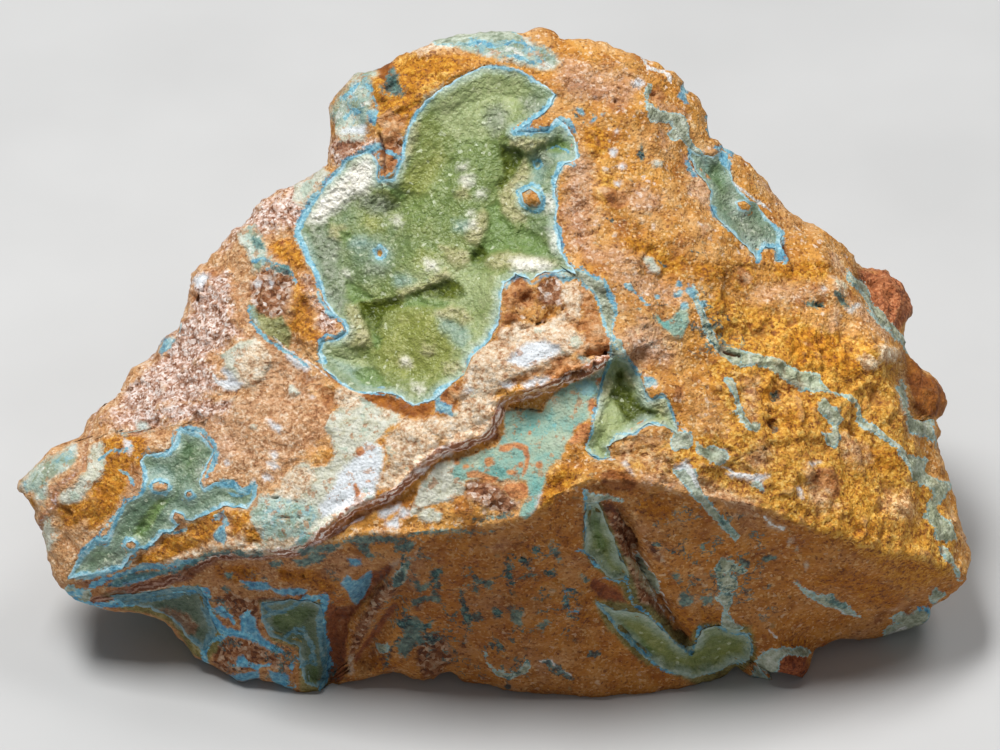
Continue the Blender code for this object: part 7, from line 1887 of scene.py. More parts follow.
# ---------------------------------------------------------------------------
# Materials
# ---------------------------------------------------------------------------
class Nodes:
    """Small helpers that add nodes to one material and link them."""

    def __init__(self, name):
        self.material = bpy.data.materials.new(name)
        self.material.use_nodes = True
        self.tree = self.material.node_tree
        self.shader = self.tree.nodes["Principled BSDF"]
        self.output = self.tree.nodes["Material Output"]
        self.place = self.add("ShaderNodeTexCoord").outputs["Object"]

    def add(self, kind):
        return self.tree.nodes.new(kind)

    def feed(self, socket, value):
        if isinstance(value, bpy.types.NodeSocket):
            self.tree.links.new(value, socket)
        elif isinstance(value, (tuple, list)):
            socket.default_value = tuple(value) + (1.0,) if len(value) == 3 and socket.type == "RGBA" else value
        else:
            socket.default_value = value

    def attr(self, name):
        node = self.add("ShaderNodeAttribute")
        node.attribute_name = name
        return node.outputs["Fac"]

    def math(self, operation, a, b=0.0, c=0.0, clamp=False):
        node = self.add("ShaderNodeMath")
        node.operation = operation
        node.use_clamp = clamp
        for socket, value in zip(node.inputs, (a, b, c)):
            self.feed(socket, value)
        return node.outputs[0]

    def moved(self, offset):
        move = self.add("ShaderNodeMapping")
        self.feed(move.inputs["Vector"], self.place)
        move.inputs["Location"].default_value = (offset, offset * 0.7, -offset * 1.3)
        return move.outputs[0]

    def noise(self, grain, detail=2.0, rough=0.5, offset=0.0, warp=0.0):
        """Fractal noise in about 0 to 1; grain is its coarsest wavelength in millimetres."""
        node = self.add("ShaderNodeTexNoise")
        self.feed(node.inputs["Vector"], self.moved(offset))
        node.inputs["Scale"].default_value = 1000.0 / grain
        node.inputs["Detail"].default_value = detail
        node.inputs["Roughness"].default_value = rough
        node.inputs["Distortion"].default_value = warp
        return node.outputs["Fac"]

    def voronoi(self, grain, feature="F1", output="Distance", offset=0.0):
        node = self.add("ShaderNodeTexVoronoi")
        node.feature = feature
        self.feed(node.inputs["Vector"], self.moved(offset))
        node.inputs["Scale"].default_value = 1000.0 / grain
        return node.outputs[output]

    def grains(self, grain, offset=0.0):
        """A random value for each cell of a broken surface."""
        split = self.add("ShaderNodeSeparateColor")
        self.feed(split.inputs[0], self.voronoi(grain, output="Color", offset=offset))
        return split.outputs[0]

    def step(self, value, low, high, out_low=0.0, out_high=1.0):
        node = self.add("ShaderNodeMapRange")
        node.interpolation_type = "SMOOTHSTEP"
        self.feed(node.inputs["Value"], value)
        node.inputs["From Min"].default_value = low
        node.inputs["From Max"].default_value = high
        node.inputs["To Min"].default_value = out_low
        node.inputs["To Max"].default_value = out_high
        return node.outputs["Result"]

    def both(self, *values):
        total = values[0]
        for value in values[1:]:
            total = self.math("MULTIPLY", total, value)
        return total

    def mix(self, share, a, b, blend="MIX"):
        node = self.add("ShaderNodeMix")
        node.data_type = "RGBA"
        node.blend_type = blend
        node.clamp_result = False
        self.feed(node.inputs[0], share)
        sockets = [socket for socket in node.inputs if socket.type == "RGBA"]
        self.feed(sockets[0], a)
        self.feed(sockets[1], b)
        return [socket for socket in node.outputs if socket.type == "RGBA"][0]

    def ramp(self, value, *stops):
        node = self.add("ShaderNodeValToRGB")
        self.feed(node.inputs["Fac"], value)
        band = node.color_ramp
        while len(band.elements) < len(stops):
            band.elements.new(0.5)
        for element, (at, colour) in zip(band.elements, stops):
            element.position = at
            element.color = (*colour, 1.0)
        return node.outputs["Color"]


def lin(r, g, b):
    """A colour given as 0-255 display values, as the linear values a shader takes."""
    return tuple(((v / 255) / 12.92 if v / 255 <= 0.04045 else ((v / 255 + 0.055) / 1.055) ** 2.4) for v in (r, g, b))


def rock_material():
    n = Nodes("rock")
    front = n.attr("front")
    low = n.attr("low")                              # above 0 in hollows between grains, below 0 on high points
    huge = n.noise(16.0, 3, 0.5, 1.1)
    big = n.noise(6.0, 4, 0.55, 2.9)
    mid = n.noise(2.2, 4, 0.6, 3.7)
    fine = n.noise(0.7, 4, 0.65, 7.3)
    grit = n.noise(0.24, 2, 0.6, 2.2)
    grain = n.grains(0.26, 1.0)
    grain2 = n.grains(0.5, 3.0)
    warp = n.math("SUBTRACT", n.noise(1.4, 4, 0.62, 5.5), 0.5)
    warp_fine = n.math("SUBTRACT", n.noise(0.36, 3, 0.6, 9.1), 0.5)
    warp_wide = n.math("SUBTRACT", n.noise(3.6, 3, 0.55, 15.5), 0.5)
    speckle = n.math("ADD", n.math("MULTIPLY", grain, 0.6), n.math("MULTIPLY", fine, 0.6))

    def zone_mask(name, low_at, high_at, strength=1.0, wide=8.0, sway=10.0, fine_sway=8.0):
        """How much of a zone shows here, with its edge broken up at three scales."""
        value = n.math("MULTIPLY_ADD", warp_wide, wide, n.attr(name))
        value = n.math("MULTIPLY_ADD", warp, sway, value)
        value = n.math("MULTIPLY_ADD", warp_fine, fine_sway, value)
        return n.both(n.step(value, low_at, high_at, 0.0, strength), front)

    # tan ground, pinker or yellower from place to place, with pale and brown grains
    tan = n.ramp(mid, (0.30, lin(160, 102, 46)), (0.44, lin(190, 134, 68)), (0.56, lin(204, 150, 86)), (0.72, lin(214, 168, 112)))
    colour = n.mix(n.step(big, 0.42, 0.60, 0.0, 0.70), tan, n.ramp(mid, (0.34, lin(170, 102, 26)), (0.5, lin(200, 134, 42)), (0.68, lin(214, 156, 66))))
    colour = n.mix(n.step(big, 0.44, 0.32, 0.0, 0.45), colour, n.ramp(fine, (0.36, lin(150, 106, 80)), (0.50, lin(196, 158, 136)), (0.64, lin(222, 198, 184))))
    colour = n.mix(n.step(speckle, 0.46, 0.24, 0.0, 0.80), colour, lin(120, 66, 24))
    colour = n.mix(n.step(speckle, 0.74, 0.94, 0.0, 0.65), colour, lin(236, 206, 160))
    colour = n.mix(n.both(n.step(grain2, 0.94, 0.98), n.step(fine, 0.45, 0.6), 0.6), colour, lin(232, 220, 210))
    colour = n.mix(n.step(n.noise(1.1, 3, 0.6, 33.0), 0.65, 0.72, 0.0, 0.45), colour, lin(146, 146, 120))

    yellow = n.ramp(n.math("MULTIPLY_ADD", n.math("SUBTRACT", grain, 0.5), 0.30, fine), (0.28, lin(124, 70, 12)), (0.42, lin(182, 120, 30)), (0.56, lin(210, 153, 52)), (0.74, lin(228, 184, 92)))
    colour = n.mix(zone_mask("ochre", -6.0, 7.0, 0.86, 20, 20, 14), colour, yellow)
    orange = n.ramp(n.math("MULTIPLY_ADD", n.math("SUBTRACT", grain, 0.5), 0.30, fine), (0.28, lin(118, 64, 6)), (0.42, lin(166, 102, 10)), (0.56, lin(190, 124, 20)), (0.74, lin(212, 156, 52)))
    colour = n.mix(zone_mask("orange", -3.0, 4.0, 0.85, 10, 12, 10), colour, orange)
    colour = n.mix(n.both(n.step(huge, 0.52, 0.64, 0.0, 0.7), n.math("SUBTRACT", 1.0, front)), colour, yellow)
    rosy = n.ramp(n.math("MULTIPLY_ADD", n.math("SUBTRACT", grain, 0.5), 0.35, fine), (0.26, lin(148, 104, 74)), (0.44, lin(186, 144, 116)), (0.58, lin(204, 170, 150)), (0.76, lin(228, 208, 196)))
    colour = n.mix(zone_mask("rose", -9.0, 9.0, 0.5, 24, 24, 16), colour, rosy)
    pinkish = n.ramp(n.math("MULTIPLY_ADD", n.math("SUBTRACT", grain, 0.5), 0.45, fine), (0.24, lin(122, 78, 56)), (0.38, lin(170, 130, 110)), (0.52, lin(202, 172, 158)), (0.64, lin(224, 206, 198)), (0.80, lin(240, 232, 228)))
    colour = n.mix(zone_mask("sugar", -9.0, 9.0, 0.9, 30, 24, 16), colour, pinkish)
    dotted = n.ramp(n.math("MULTIPLY_ADD", n.math("SUBTRACT", grain2, 0.5), 0.50, fine), (0.26, lin(82, 38, 16)), (0.38, lin(124, 72, 40)), (0.50, lin(152, 106, 76)), (0.64, lin(180, 150, 130)), (0.82, lin(216, 204, 196)))
    colour = n.mix(zone_mask("speckled", -2.5, 3.0, 0.92, 5, 8, 8), colour, dotted)
    under_brow = n.both(n.step(n.attr("brow"), 2.0, -8.0), front)
    broken = n.math("MAXIMUM", n.math("MAXIMUM", n.attr("peach"), under_brow), n.step(n.noise(2.0, 3, 0.6, 88.0), 0.46, 0.58, 0.10, 0.85))
    colour = n.mix(n.both(zone_mask("rust", -1.6, 2.0, 0.94, 4, 6, 5), broken), colour, n.ramp(n.math("MULTIPLY_ADD", n.math("SUBTRACT", mid, 0.5), 0.6, fine), (0.28, lin(108, 52, 28)), (0.5, lin(154, 88, 52)), (0.66, lin(184, 122, 82)), (0.80, lin(214, 176, 154))))
    redden = n.ramp(n.math("MULTIPLY_ADD", n.math("SUBTRACT", grain, 0.5), 0.3, fine), (0.30, lin(104, 46, 22)), (0.5, lin(160, 88, 52)), (0.7, lin(192, 124, 84)))
    colour = n.mix(zone_mask("red", -2.5, 3.0, 0.9, 4, 6, 5), colour, redden)
    umber = n.ramp(n.math("MULTIPLY_ADD", n.math("SUBTRACT", grain2, 0.5), 0.25, mid), (0.28, lin(112, 58, 24)), (0.44, lin(158, 98, 48)), (0.56, lin(186, 130, 80)), (0.74, lin(210, 172, 134)))
    colour = n.mix(zone_mask("brown", -2.0, 2.5, 0.92, 4, 7, 6), colour, umber)
    amber = n.ramp(mid, (0.28, lin(84, 36, 6)), (0.46, lin(132, 70, 14)), (0.60, lin(166, 98, 26)), (0.78, lin(196, 134, 60)))
    colour = n.mix(zone_mask("amber", -2.5, 3.0, 0.92, 4, 7, 6), colour, amber)
    peach = n.ramp(n.math("MULTIPLY_ADD", n.math("SUBTRACT", grain, 0.5), 0.3, fine), (0.26, lin(142, 96, 62)), (0.42, lin(184, 138, 98)), (0.56, lin(204, 164, 126)), (0.76, lin(230, 208, 180)))
    stone = n.math("SUBTRACT", 1.0, n.math("MAXIMUM", zone_mask("sugar", -9.0, 9.0, 1.0, 30, 24, 16), zone_mask("speckled", -2.5, 3.0, 1.0, 5, 8, 8)))
    stone = n.both(stone, n.math("SUBTRACT", 1.0, zone_mask("orange", -3.0, 4.0, 1.0, 10, 12, 10)))
    colour = n.mix(n.both(n.attr("peach"), stone, n.step(big, 0.34, 0.50, 0.35, 0.9), 0.8), colour, peach)
    olive = n.ramp(n.math("MULTIPLY_ADD", n.math("SUBTRACT", grain, 0.5), 0.2, mid), (0.3, lin(84, 92, 48)), (0.5, lin(126, 138, 86)), (0.7, lin(168, 176, 130)))
    colour = n.mix(zone_mask("green", -2.5, 3.0, 0.85, 4, 8, 6), colour, olive)
    chalk = n.ramp(fine, (0.26, lin(166, 160, 126)), (0.44, lin(194, 196, 176)), (0.66, lin(214, 216, 204)))
    pale_mask = zone_mask("pale", -2.0, 2.5, 0.95, 6, 9, 7)
    colour = n.mix(pale_mask, colour, chalk)
    sea = n.ramp(n.math("MULTIPLY_ADD", n.math("SUBTRACT", fine, 0.5), 0.5, mid), (0.28, lin(104, 148, 146)), (0.42, lin(144, 174, 162)), (0.56, lin(168, 190, 178)), (0.72, lin(204, 212, 200)))
    cyan_mask = zone_mask("cyan", -3.0, 5.0, 0.88, 9, 11, 8)
    colour = n.mix(cyan_mask, colour, sea)
    creamy = n.ramp(n.math("MULTIPLY_ADD", n.math("SUBTRACT", grain, 0.5), 0.18, fine), (0.26, lin(142, 94, 60)), (0.38, lin(194, 156, 120)), (0.52, lin(220, 198, 168)), (0.72, lin(236, 226, 210)))
    cream_mask = zone_mask("cream", -3.0, 3.5, 0.93, 9, 12, 9)
    colour = n.mix(cream_mask, colour, creamy)
    snow = n.ramp(fine, (0.3, lin(196, 202, 204)), (0.6, lin(224, 229, 234)))
    colour = n.mix(zone_mask("white", -3.0, 3.5, 0.95, 6, 8, 6), colour, snow)
    turquoise = n.ramp(n.math("MULTIPLY_ADD", n.math("SUBTRACT", big, 0.5), 0.8, mid), (0.30, lin(104, 166, 158)), (0.46, lin(134, 174, 160)), (0.60, lin(156, 180, 158)), (0.76, lin(176, 192, 172)))
    turquoise_mask = zone_mask("turquoise", -1.8, 2.2, 0.94, 5, 8, 7)
    colour = n.mix(turquoise_mask, colour, turquoise)

    colour = n.mix(n.both(n.step(n.noise(1.0, 4, 0.65, 92.5), 0.60, 0.66), turquoise_mask, 0.6), colour, lin(104, 178, 184))
    colour = n.mix(zone_mask("islet", -1.4, 1.4, 0.95, 2, 4, 4), colour, n.ramp(fine, (0.34, lin(160, 88, 44)), (0.6, lin(206, 140, 84))))

    # olive and blue mottling in the sea-green chalk
    colour = n.mix(n.both(n.step(n.noise(1.6, 4, 0.65, 82.5), 0.53, 0.58), cyan_mask, 0.7), colour, lin(124, 132, 96))
    colour = n.mix(n.both(n.step(n.noise(1.9, 4, 0.65, 84.5), 0.54, 0.59), cyan_mask, 0.65), colour, lin(126, 172, 184))
    colour = n.mix(n.both(n.step(n.noise(1.7, 4, 0.65, 86.5), 0.57, 0.62), cyan_mask, 0.7), colour, lin(220, 222, 214))

    # brown flecks that break through the chalk and the turquoise
    chalky = n.math("MAXIMUM", n.math("MAXIMUM", pale_mask, cyan_mask), n.math("MAXIMUM", turquoise_mask, cream_mask))
    fleck = n.step(n.noise(1.3, 5, 0.72, 12.5), 0.55, 0.61)
    colour = n.mix(n.both(fleck, chalky, 0.7), colour, n.ramp(fine, (0.4, lin(150, 92, 46)), (0.6, lin(196, 146, 100))))
    colour = n.mix(n.both(n.step(n.noise(2.4, 4, 0.6, 52.5), 0.58, 0.64), n.math("MAXIMUM", cream_mask, pale_mask), 0.5), colour, lin(160, 188, 172))

    # the layered ledge: brown bands with thin pink and white lines
    band = n.math("MULTIPLY_ADD", warp, 12.0, n.attr("strata"))
    inside_band = n.both(n.step(band, -4.5, -2.5), n.step(band, 6.5, 4.5), front)
    stripe = n.math("SINE", n.math("MULTIPLY_ADD", band, 1.3, n.math("MULTIPLY", warp_fine, 4.0)))
    layered = n.ramp(n.math("MULTIPLY_ADD", stripe, 0.5, n.math("MULTIPLY", fine, 0.9)), (0.18, lin(140, 88, 62)), (0.38, lin(184, 138, 112)), (0.66, lin(220, 196, 184)), (0.92, lin(248, 238, 236)))
    colour = n.mix(n.both(inside_band, n.step(n.noise(2.4, 3, 0.6, 60.0), 0.38, 0.52, 0.25, 0.95)), colour, layered)
    layer = n.math("MULTIPLY_ADD", warp, 3.5, n.math("MULTIPLY_ADD", warp_fine, 3.0, n.attr("layer")))
    colour = n.mix(n.both(n.step(layer, -2.4, -0.8, 0.0, 0.30), front), colour, lin(148, 96, 72))
    colour = n.mix(n.both(n.step(layer, -0.2, 0.9, 0.0, 0.9), n.step(n.noise(1.7, 3, 0.6, 64.0), 0.44, 0.54), front), colour, n.ramp(fine, (0.32, lin(168, 130, 122)), (0.5, lin(222, 204, 202)), (0.7, lin(240, 234, 236))))

    red_band = n.both(zone_mask("rust", -1.6, 2.0, 1.0, 4, 6, 5), n.attr("peach"), 0.8)
    colour = n.mix(red_band, colour, (0.50, 0.36, 0.34), "MULTIPLY")
    # painted light: the face of the layered ledge is lightened against the shade it lies in
    ledge = n.both(n.step(n.attr("strata"), -8.0, -3.0), n.step(n.attr("strata"), 16.0, 9.0), front, n.math("SUBTRACT", 1.0, n.attr("peach")))
    colour = n.mix(ledge, colour, (1.40, 1.36, 1.34), "MULTIPLY")

    # painted shade: the front face below the brow is darkened and turned browner, in place of the shade under the brow
    lower = n.both(n.step(n.attr("brow"), 2.0, -8.0), front)
    colour = n.mix(n.both(lower, FRONT_PAINTED_SHADE), colour, lin(203, 150, 10), "MULTIPLY")

    # turquoise round the pockets, veins with bright edges, and blue lines
    rim = n.math("MULTIPLY_ADD", warp, 6.0, n.math("MULTIPLY_ADD", warp_fine, 5.0, n.attr("rim")))
    halo = n.both(n.step(rim, 4.0, 1.0, 0.0, 0.5), front, n.step(n.noise(4.4, 3, 0.6, 4.4), 0.56, 0.64))
    colour = n.mix(halo, colour, n.ramp(fine, (0.3, lin(136, 160, 146)), (0.6, lin(172, 190, 180))))
    edge = n.both(n.step(rim, 1.0, 0.2, 0.0, 0.85), front, n.step(n.noise(3.2, 3, 0.6, 8.8), 0.46, 0.56, 0.0, 1.0))
    colour = n.mix(edge, colour, n.ramp(mid, (0.30, lin(92, 146, 164)), (0.5, lin(126, 176, 188)), (0.68, lin(166, 196, 198))))
    vein = n.math("MULTIPLY_ADD", warp_wide, 5.0, n.math("MULTIPLY_ADD", warp, 8.0, n.math("MULTIPLY_ADD", warp_fine, 7.0, n.attr("vein"))))
    colour = n.mix(n.both(n.step(vein, -0.9, 0.6, 0.0, 0.93), front), colour, n.ramp(n.math("MULTIPLY_ADD", n.math("SUBTRACT", mid, 0.5), 0.7, fine), (0.26, lin(96, 108, 84)), (0.42, lin(140, 152, 130)), (0.56, lin(172, 182, 162)), (0.74, lin(206, 214, 202))))
    colour = n.mix(n.both(n.step(vein, -1.4, -0.4), n.step(vein, 1.3, 0.3), front, n.step(mid, 0.38, 0.52, 0.25, 0.95)), colour, n.ramp(fine, (0.35, lin(112, 158, 164)), (0.6, lin(182, 208, 204))))
    sky = n.ramp(n.math("MULTIPLY_ADD", n.math("SUBTRACT", mid, 0.5), 0.7, fine), (0.28, lin(44, 98, 130)), (0.44, lin(92, 148, 170)), (0.58, lin(132, 180, 190)), (0.74, lin(188, 212, 212)))
    colour = n.mix(zone_mask("sky", -1.2, 1.4, 0.92, 3, 5, 5), colour, n.mix(n.both(under_brow, 0.8), sky, n.ramp(fine, (0.3, lin(36, 110, 150)), (0.5, lin(80, 158, 194)), (0.7, lin(140, 196, 214)))))
    blue = n.math("MULTIPLY_ADD", warp, 9.0, n.math("MULTIPLY_ADD", warp_fine, 7.0, n.attr("blue")))
    blue_paint = n.ramp(n.math("MULTIPLY_ADD", n.math("SUBTRACT", mid, 0.5), 0.6, fine), (0.28, lin(60, 120, 152)), (0.44, lin(98, 158, 182)), (0.58, lin(136, 186, 196)), (0.74, lin(184, 210, 210)))
    deep_blue = n.ramp(n.math("MULTIPLY_ADD", n.math("SUBTRACT", mid, 0.5), 0.6, fine), (0.28, lin(30, 104, 146)), (0.44, lin(70, 150, 190)), (0.58, lin(118, 190, 214)), (0.74, lin(184, 216, 220)))
    colour = n.mix(n.both(n.step(blue, -0.6, 0.9, 0.0, 0.92), front), colour, n.mix(n.both(under_brow, 0.85), blue_paint, deep_blue))
    white_line = n.math("MULTIPLY_ADD", warp, 4.0, n.math("MULTIPLY_ADD", warp_fine, 4.0, n.attr("fine_white")))
    colour = n.mix(n.both(n.step(white_line, -0.6, 0.6, 0.0, 0.9), front), colour, n.ramp(fine, (0.32, lin(186, 192, 184)), (0.6, lin(232, 232, 232))))
    dusk = n.ramp(n.math("MULTIPLY_ADD", n.math("SUBTRACT", mid, 0.5), 0.6, fine), (0.30, lin(28, 58, 62)), (0.46, lin(64, 104, 104)), (0.60, lin(104, 142, 136)), (0.76, lin(160, 180, 168)))
    colour = n.mix(zone_mask("dusk", -2.2, 2.0, 0.88, 6, 12, 12), colour, dusk)
    teal = n.math("MULTIPLY_ADD", warp_wide, 10.0, n.math("MULTIPLY_ADD", warp, 20.0, n.math("MULTIPLY_ADD", warp_fine, 14.0, n.attr("teal"))))
    colour = n.mix(n.both(n.step(teal, -0.6, 1.8, 0.0, 0.85), front), colour, n.ramp(fine, (0.38, lin(12, 34, 42)), (0.50, lin(44, 84, 90)), (0.64, lin(112, 152, 146))))

    # the back and sides: the same veins and chalk as free-running marks
    back = n.math("SUBTRACT", 1.0, front)
    seam = n.math("ABSOLUTE", n.math("SUBTRACT", n.noise(13.0, 4, 0.6, 21.0), 0.5))
    colour = n.mix(n.both(n.step(seam, 0.016, 0.010, 0.0, 0.9), back), colour, n.ramp(fine, (0.35, lin(128, 140, 114)), (0.6, lin(170, 180, 160))))
    colour = n.mix(n.both(n.step(seam, 0.022, 0.017), n.step(seam, 0.010, 0.014), n.step(big, 0.42, 0.55), back), colour, blue_paint)
    colour = n.mix(n.both(n.step(n.noise(16.0, 4, 0.6, 31.0), 0.59, 0.64, 0.0, 0.85), back), colour, sea)
    colour = n.mix(n.both(n.step(n.noise(14.0, 4, 0.6, 41.0), 0.58, 0.66, 0.0, 0.8), back), colour, umber)
    colour = n.mix(n.both(n.step(n.noise(18.0, 4, 0.6, 51.0), 0.58, 0.66, 0.0, 0.8), back), colour, pinkish)

    # dark blue-green specks in strings, dark cracks, and painted shade in the hollows between the grains
    strings = n.math("ABSOLUTE", n.math("SUBTRACT", n.noise(2.6, 4, 0.65, 71.0), 0.5))
    speck = n.both(n.step(strings, 0.030, 0.012), n.step(n.noise(3.4, 3, 0.6, 17.0), 0.50, 0.58), n.step(n.attr("specks"), -10.0, 8.0, 0.10, 1.0))
    colour = n.mix(n.both(speck, 0.8), colour, n.ramp(fine, (0.38, lin(22, 52, 58)), (0.55, lin(74, 116, 116)), (0.7, lin(130, 160, 150))))
    colour = n.mix(n.both(n.attr("crack"), 0.85), colour, lin(44, 22, 12))
    stony = n.math("SUBTRACT", 1.0, n.both(chalky, 0.6))
    # painted shade: brown darkening in the hollows between the grains
    colour = n.mix(n.both(n.step(low, 0.35, 1.5, 0.0, 0.72), stony), colour, lin(112, 62, 22))
    # painted highlight: the high points of the grains are lightened
    colour = n.mix(n.both(n.step(low, -0.5, -1.5, 0.0, 0.35), stony), colour, lin(226, 186, 136))
    colour = n.mix(n.step(grit, 0.68, 0.76, 0.0, 0.28), colour, lin(240, 222, 192))
    colour = n.mix(n.step(grit, 0.36, 0.28, 0.0, 0.55), colour, lin(84, 44, 16))
    # painted shade: brown darkening along the deep grooves
    colour = n.mix(n.both(n.attr("groove_painted_shade"), 0.2), colour, lin(70, 36, 14))
    # painted shade on the middle of the lower front
    colour = n.mix(n.both(n.attr("painted_front_shade"), lower), colour, lin(222, 214, 204), "MULTIPLY")
    # painted light: the patches are brightened
    colour = n.mix(n.attr("painted_light"), colour, (1.26, 1.24, 1.08), "MULTIPLY")

    n.feed(n.shader.inputs["Base Color"], colour)
    n.feed(n.shader.inputs["Roughness"], n.step(fine, 0.3, 0.7, 0.60, 0.92))
    n.shader.inputs["Specular IOR Level"].default_value = 0.35

    lumps = n.math("ADD", n.noise(0.8, 4, 0.70, 6.0), n.math("MULTIPLY", n.noise(0.22, 2, 0.6, 16.0), 0.5))
    lumps = n.math("SUBTRACT", lumps, n.math("MULTIPLY", n.voronoi(0.36), 0.5))
    bump = n.add("ShaderNodeBump")
    bump.inputs["Strength"].default_value = 0.8
    bump.inputs["Distance"].default_value = 0.00028
    n.feed(bump.inputs["Height"], lumps)
    n.feed(n.shader.inputs["Normal"], bump.outputs["Normal"])
    return n.material


def druse_material():
    n = Nodes("senegalite")
    tone, warm, cool, edge, crust_painted_shade = (n.attr(k) for k in ("tone", "warm", "cool", "edge", "crust_painted_shade"))
    grit = n.noise(0.22, 2, 0.6, 2.0)
    fine = n.noise(0.55, 3, 0.6, 4.0)
    mid = n.noise(2.0, 4, 0.6, 14.0)
    big = n.noise(6.0, 3, 0.5, 24.0)
    warp = n.math("SUBTRACT", n.noise(1.5, 4, 0.62, 34.0), 0.5)
    warp_fine = n.math("SUBTRACT", n.noise(0.38, 3, 0.6, 36.0), 0.5)
    vary = n.math("ADD", n.math("MULTIPLY", n.math("SUBTRACT", fine, 0.5), 0.55), n.math("MULTIPLY", n.math("SUBTRACT", mid, 0.5), 0.70))
    vary = n.math("MULTIPLY_ADD", n.math("SUBTRACT", grit, 0.5), 0.35, vary)
    mood = n.math("ADD", n.math("MULTIPLY_ADD", n.math("SUBTRACT", tone, 0.5), 0.28, 0.48), vary)

    def area(name, low_at, high_at, strength, sway=8.0, fine_sway=8.0):
        value = n.math("MULTIPLY_ADD", warp, sway, n.attr(name))
        value = n.math("MULTIPLY_ADD", warp_fine, fine_sway, value)
        return n.step(value, low_at, high_at, 0.0, strength)

    green = n.ramp(mood, (0.15, lin(108, 130, 70)), (0.42, lin(124, 145, 84)), (0.60, lin(138, 156, 96)), (0.85, lin(166, 180, 124)))
    yellow = n.ramp(mood, (0.15, lin(132, 142, 66)), (0.42, lin(148, 158, 80)), (0.60, lin(162, 170, 94)), (0.85, lin(188, 192, 126)))
    aqua = n.ramp(mood, (0.15, lin(90, 118, 96)), (0.42, lin(106, 134, 110)), (0.60, lin(122, 148, 124)), (0.85, lin(158, 176, 152)))
    leaf = n.ramp(mood, (0.15, lin(100, 126, 64)), (0.42, lin(116, 140, 76)), (0.60, lin(130, 152, 88)), (0.85, lin(160, 176, 118)))
    colour = n.mix(n.math("ADD", warm, n.math("MULTIPLY", n.math("SUBTRACT", big, 0.5), 0.7), clamp=True), green, yellow)
    colour = n.mix(cool, colour, aqua)
    colour = n.mix(area("green", -10.0, 10.0, 0.75, 14, 6), colour, leaf)
    colour = n.mix(area("olive", -8.0, 8.0, 0.8, 14, 6), colour, yellow)
    colour = n.mix(area("light", -7.0, 7.0, 0.85, 12, 6), colour, n.ramp(mood, (0.15, lin(152, 172, 116)), (0.5, lin(170, 186, 130)), (0.85, lin(192, 202, 154))))
    colour = n.mix(area("aqua", -6.0, 6.0, 0.6, 9, 6), colour, n.ramp(fine, (0.3, lin(130, 170, 166)), (0.55, lin(156, 188, 180)), (0.75, lin(184, 206, 196))))
    lilac = n.ramp(n.math("MULTIPLY_ADD", n.math("SUBTRACT", tone, 0.5), 0.32, fine), (0.3, lin(134, 148, 122)), (0.5, lin(150, 162, 140)), (0.72, lin(178, 186, 170)))
    colour = n.mix(area("lilac", -7.0, 7.0, 0.75), colour, lilac)
    cream = n.ramp(n.math("MULTIPLY_ADD", n.math("SUBTRACT", tone, 0.5), 0.40, fine), (0.25, lin(164, 164, 112)), (0.48, lin(184, 184, 134)), (0.75, lin(206, 202, 158)))
    colour = n.mix(area("cream", -5.0, 4.5, 0.85), colour, cream)
    colour = n.mix(1.0, colour, (0.81, 0.77, 0.77), "MULTIPLY")
    snow = n.ramp(n.math("MULTIPLY_ADD", n.math("SUBTRACT", tone, 0.5), 0.15, fine), (0.25, lin(214, 208, 192)), (0.48, lin(236, 232, 220)), (0.75, lin(248, 246, 240)))
    colour = n.mix(area("white", -8.0, 8.0, 0.95, 16, 10), colour, snow)
    colour = n.mix(area("basin", -3.0, 3.0, 0.85, 6, 7), colour, n.ramp(mood, (0.15, lin(92, 116, 60)), (0.45, lin(106, 130, 72)), (0.65, lin(120, 142, 86)), (0.9, lin(150, 164, 110))))
    # painted shade: the crevices of the crust are coloured dark green, in place of the shade that falls in them
    deep = n.ramp(mood, (0.15, lin(48, 58, 4)), (0.42, lin(72, 82, 12)), (0.62, lin(92, 102, 24)), (0.9, lin(136, 140, 64)))
    colour = n.mix(n.both(area("deep", -3.4, 2.2, 0.94, 5, 7), n.math("MULTIPLY_ADD", cool, -0.65, 1.0)), colour, n.mix(cool, deep, lin(84, 116, 76)))
    colour = n.mix(area("rust", -3.0, 3.0, 0.85, 8, 9), colour, n.ramp(mood, (0.2, lin(120, 62, 24)), (0.5, lin(168, 110, 70)), (0.8, lin(214, 186, 156))))
    # painted glints: scattered bright specks in place of light caught by crystal faces
    painted_glint = n.grains(0.34, 6.0)
    colour = n.mix(n.both(n.step(painted_glint, 0.972, 0.99), 0.42), colour, lin(222, 228, 200))

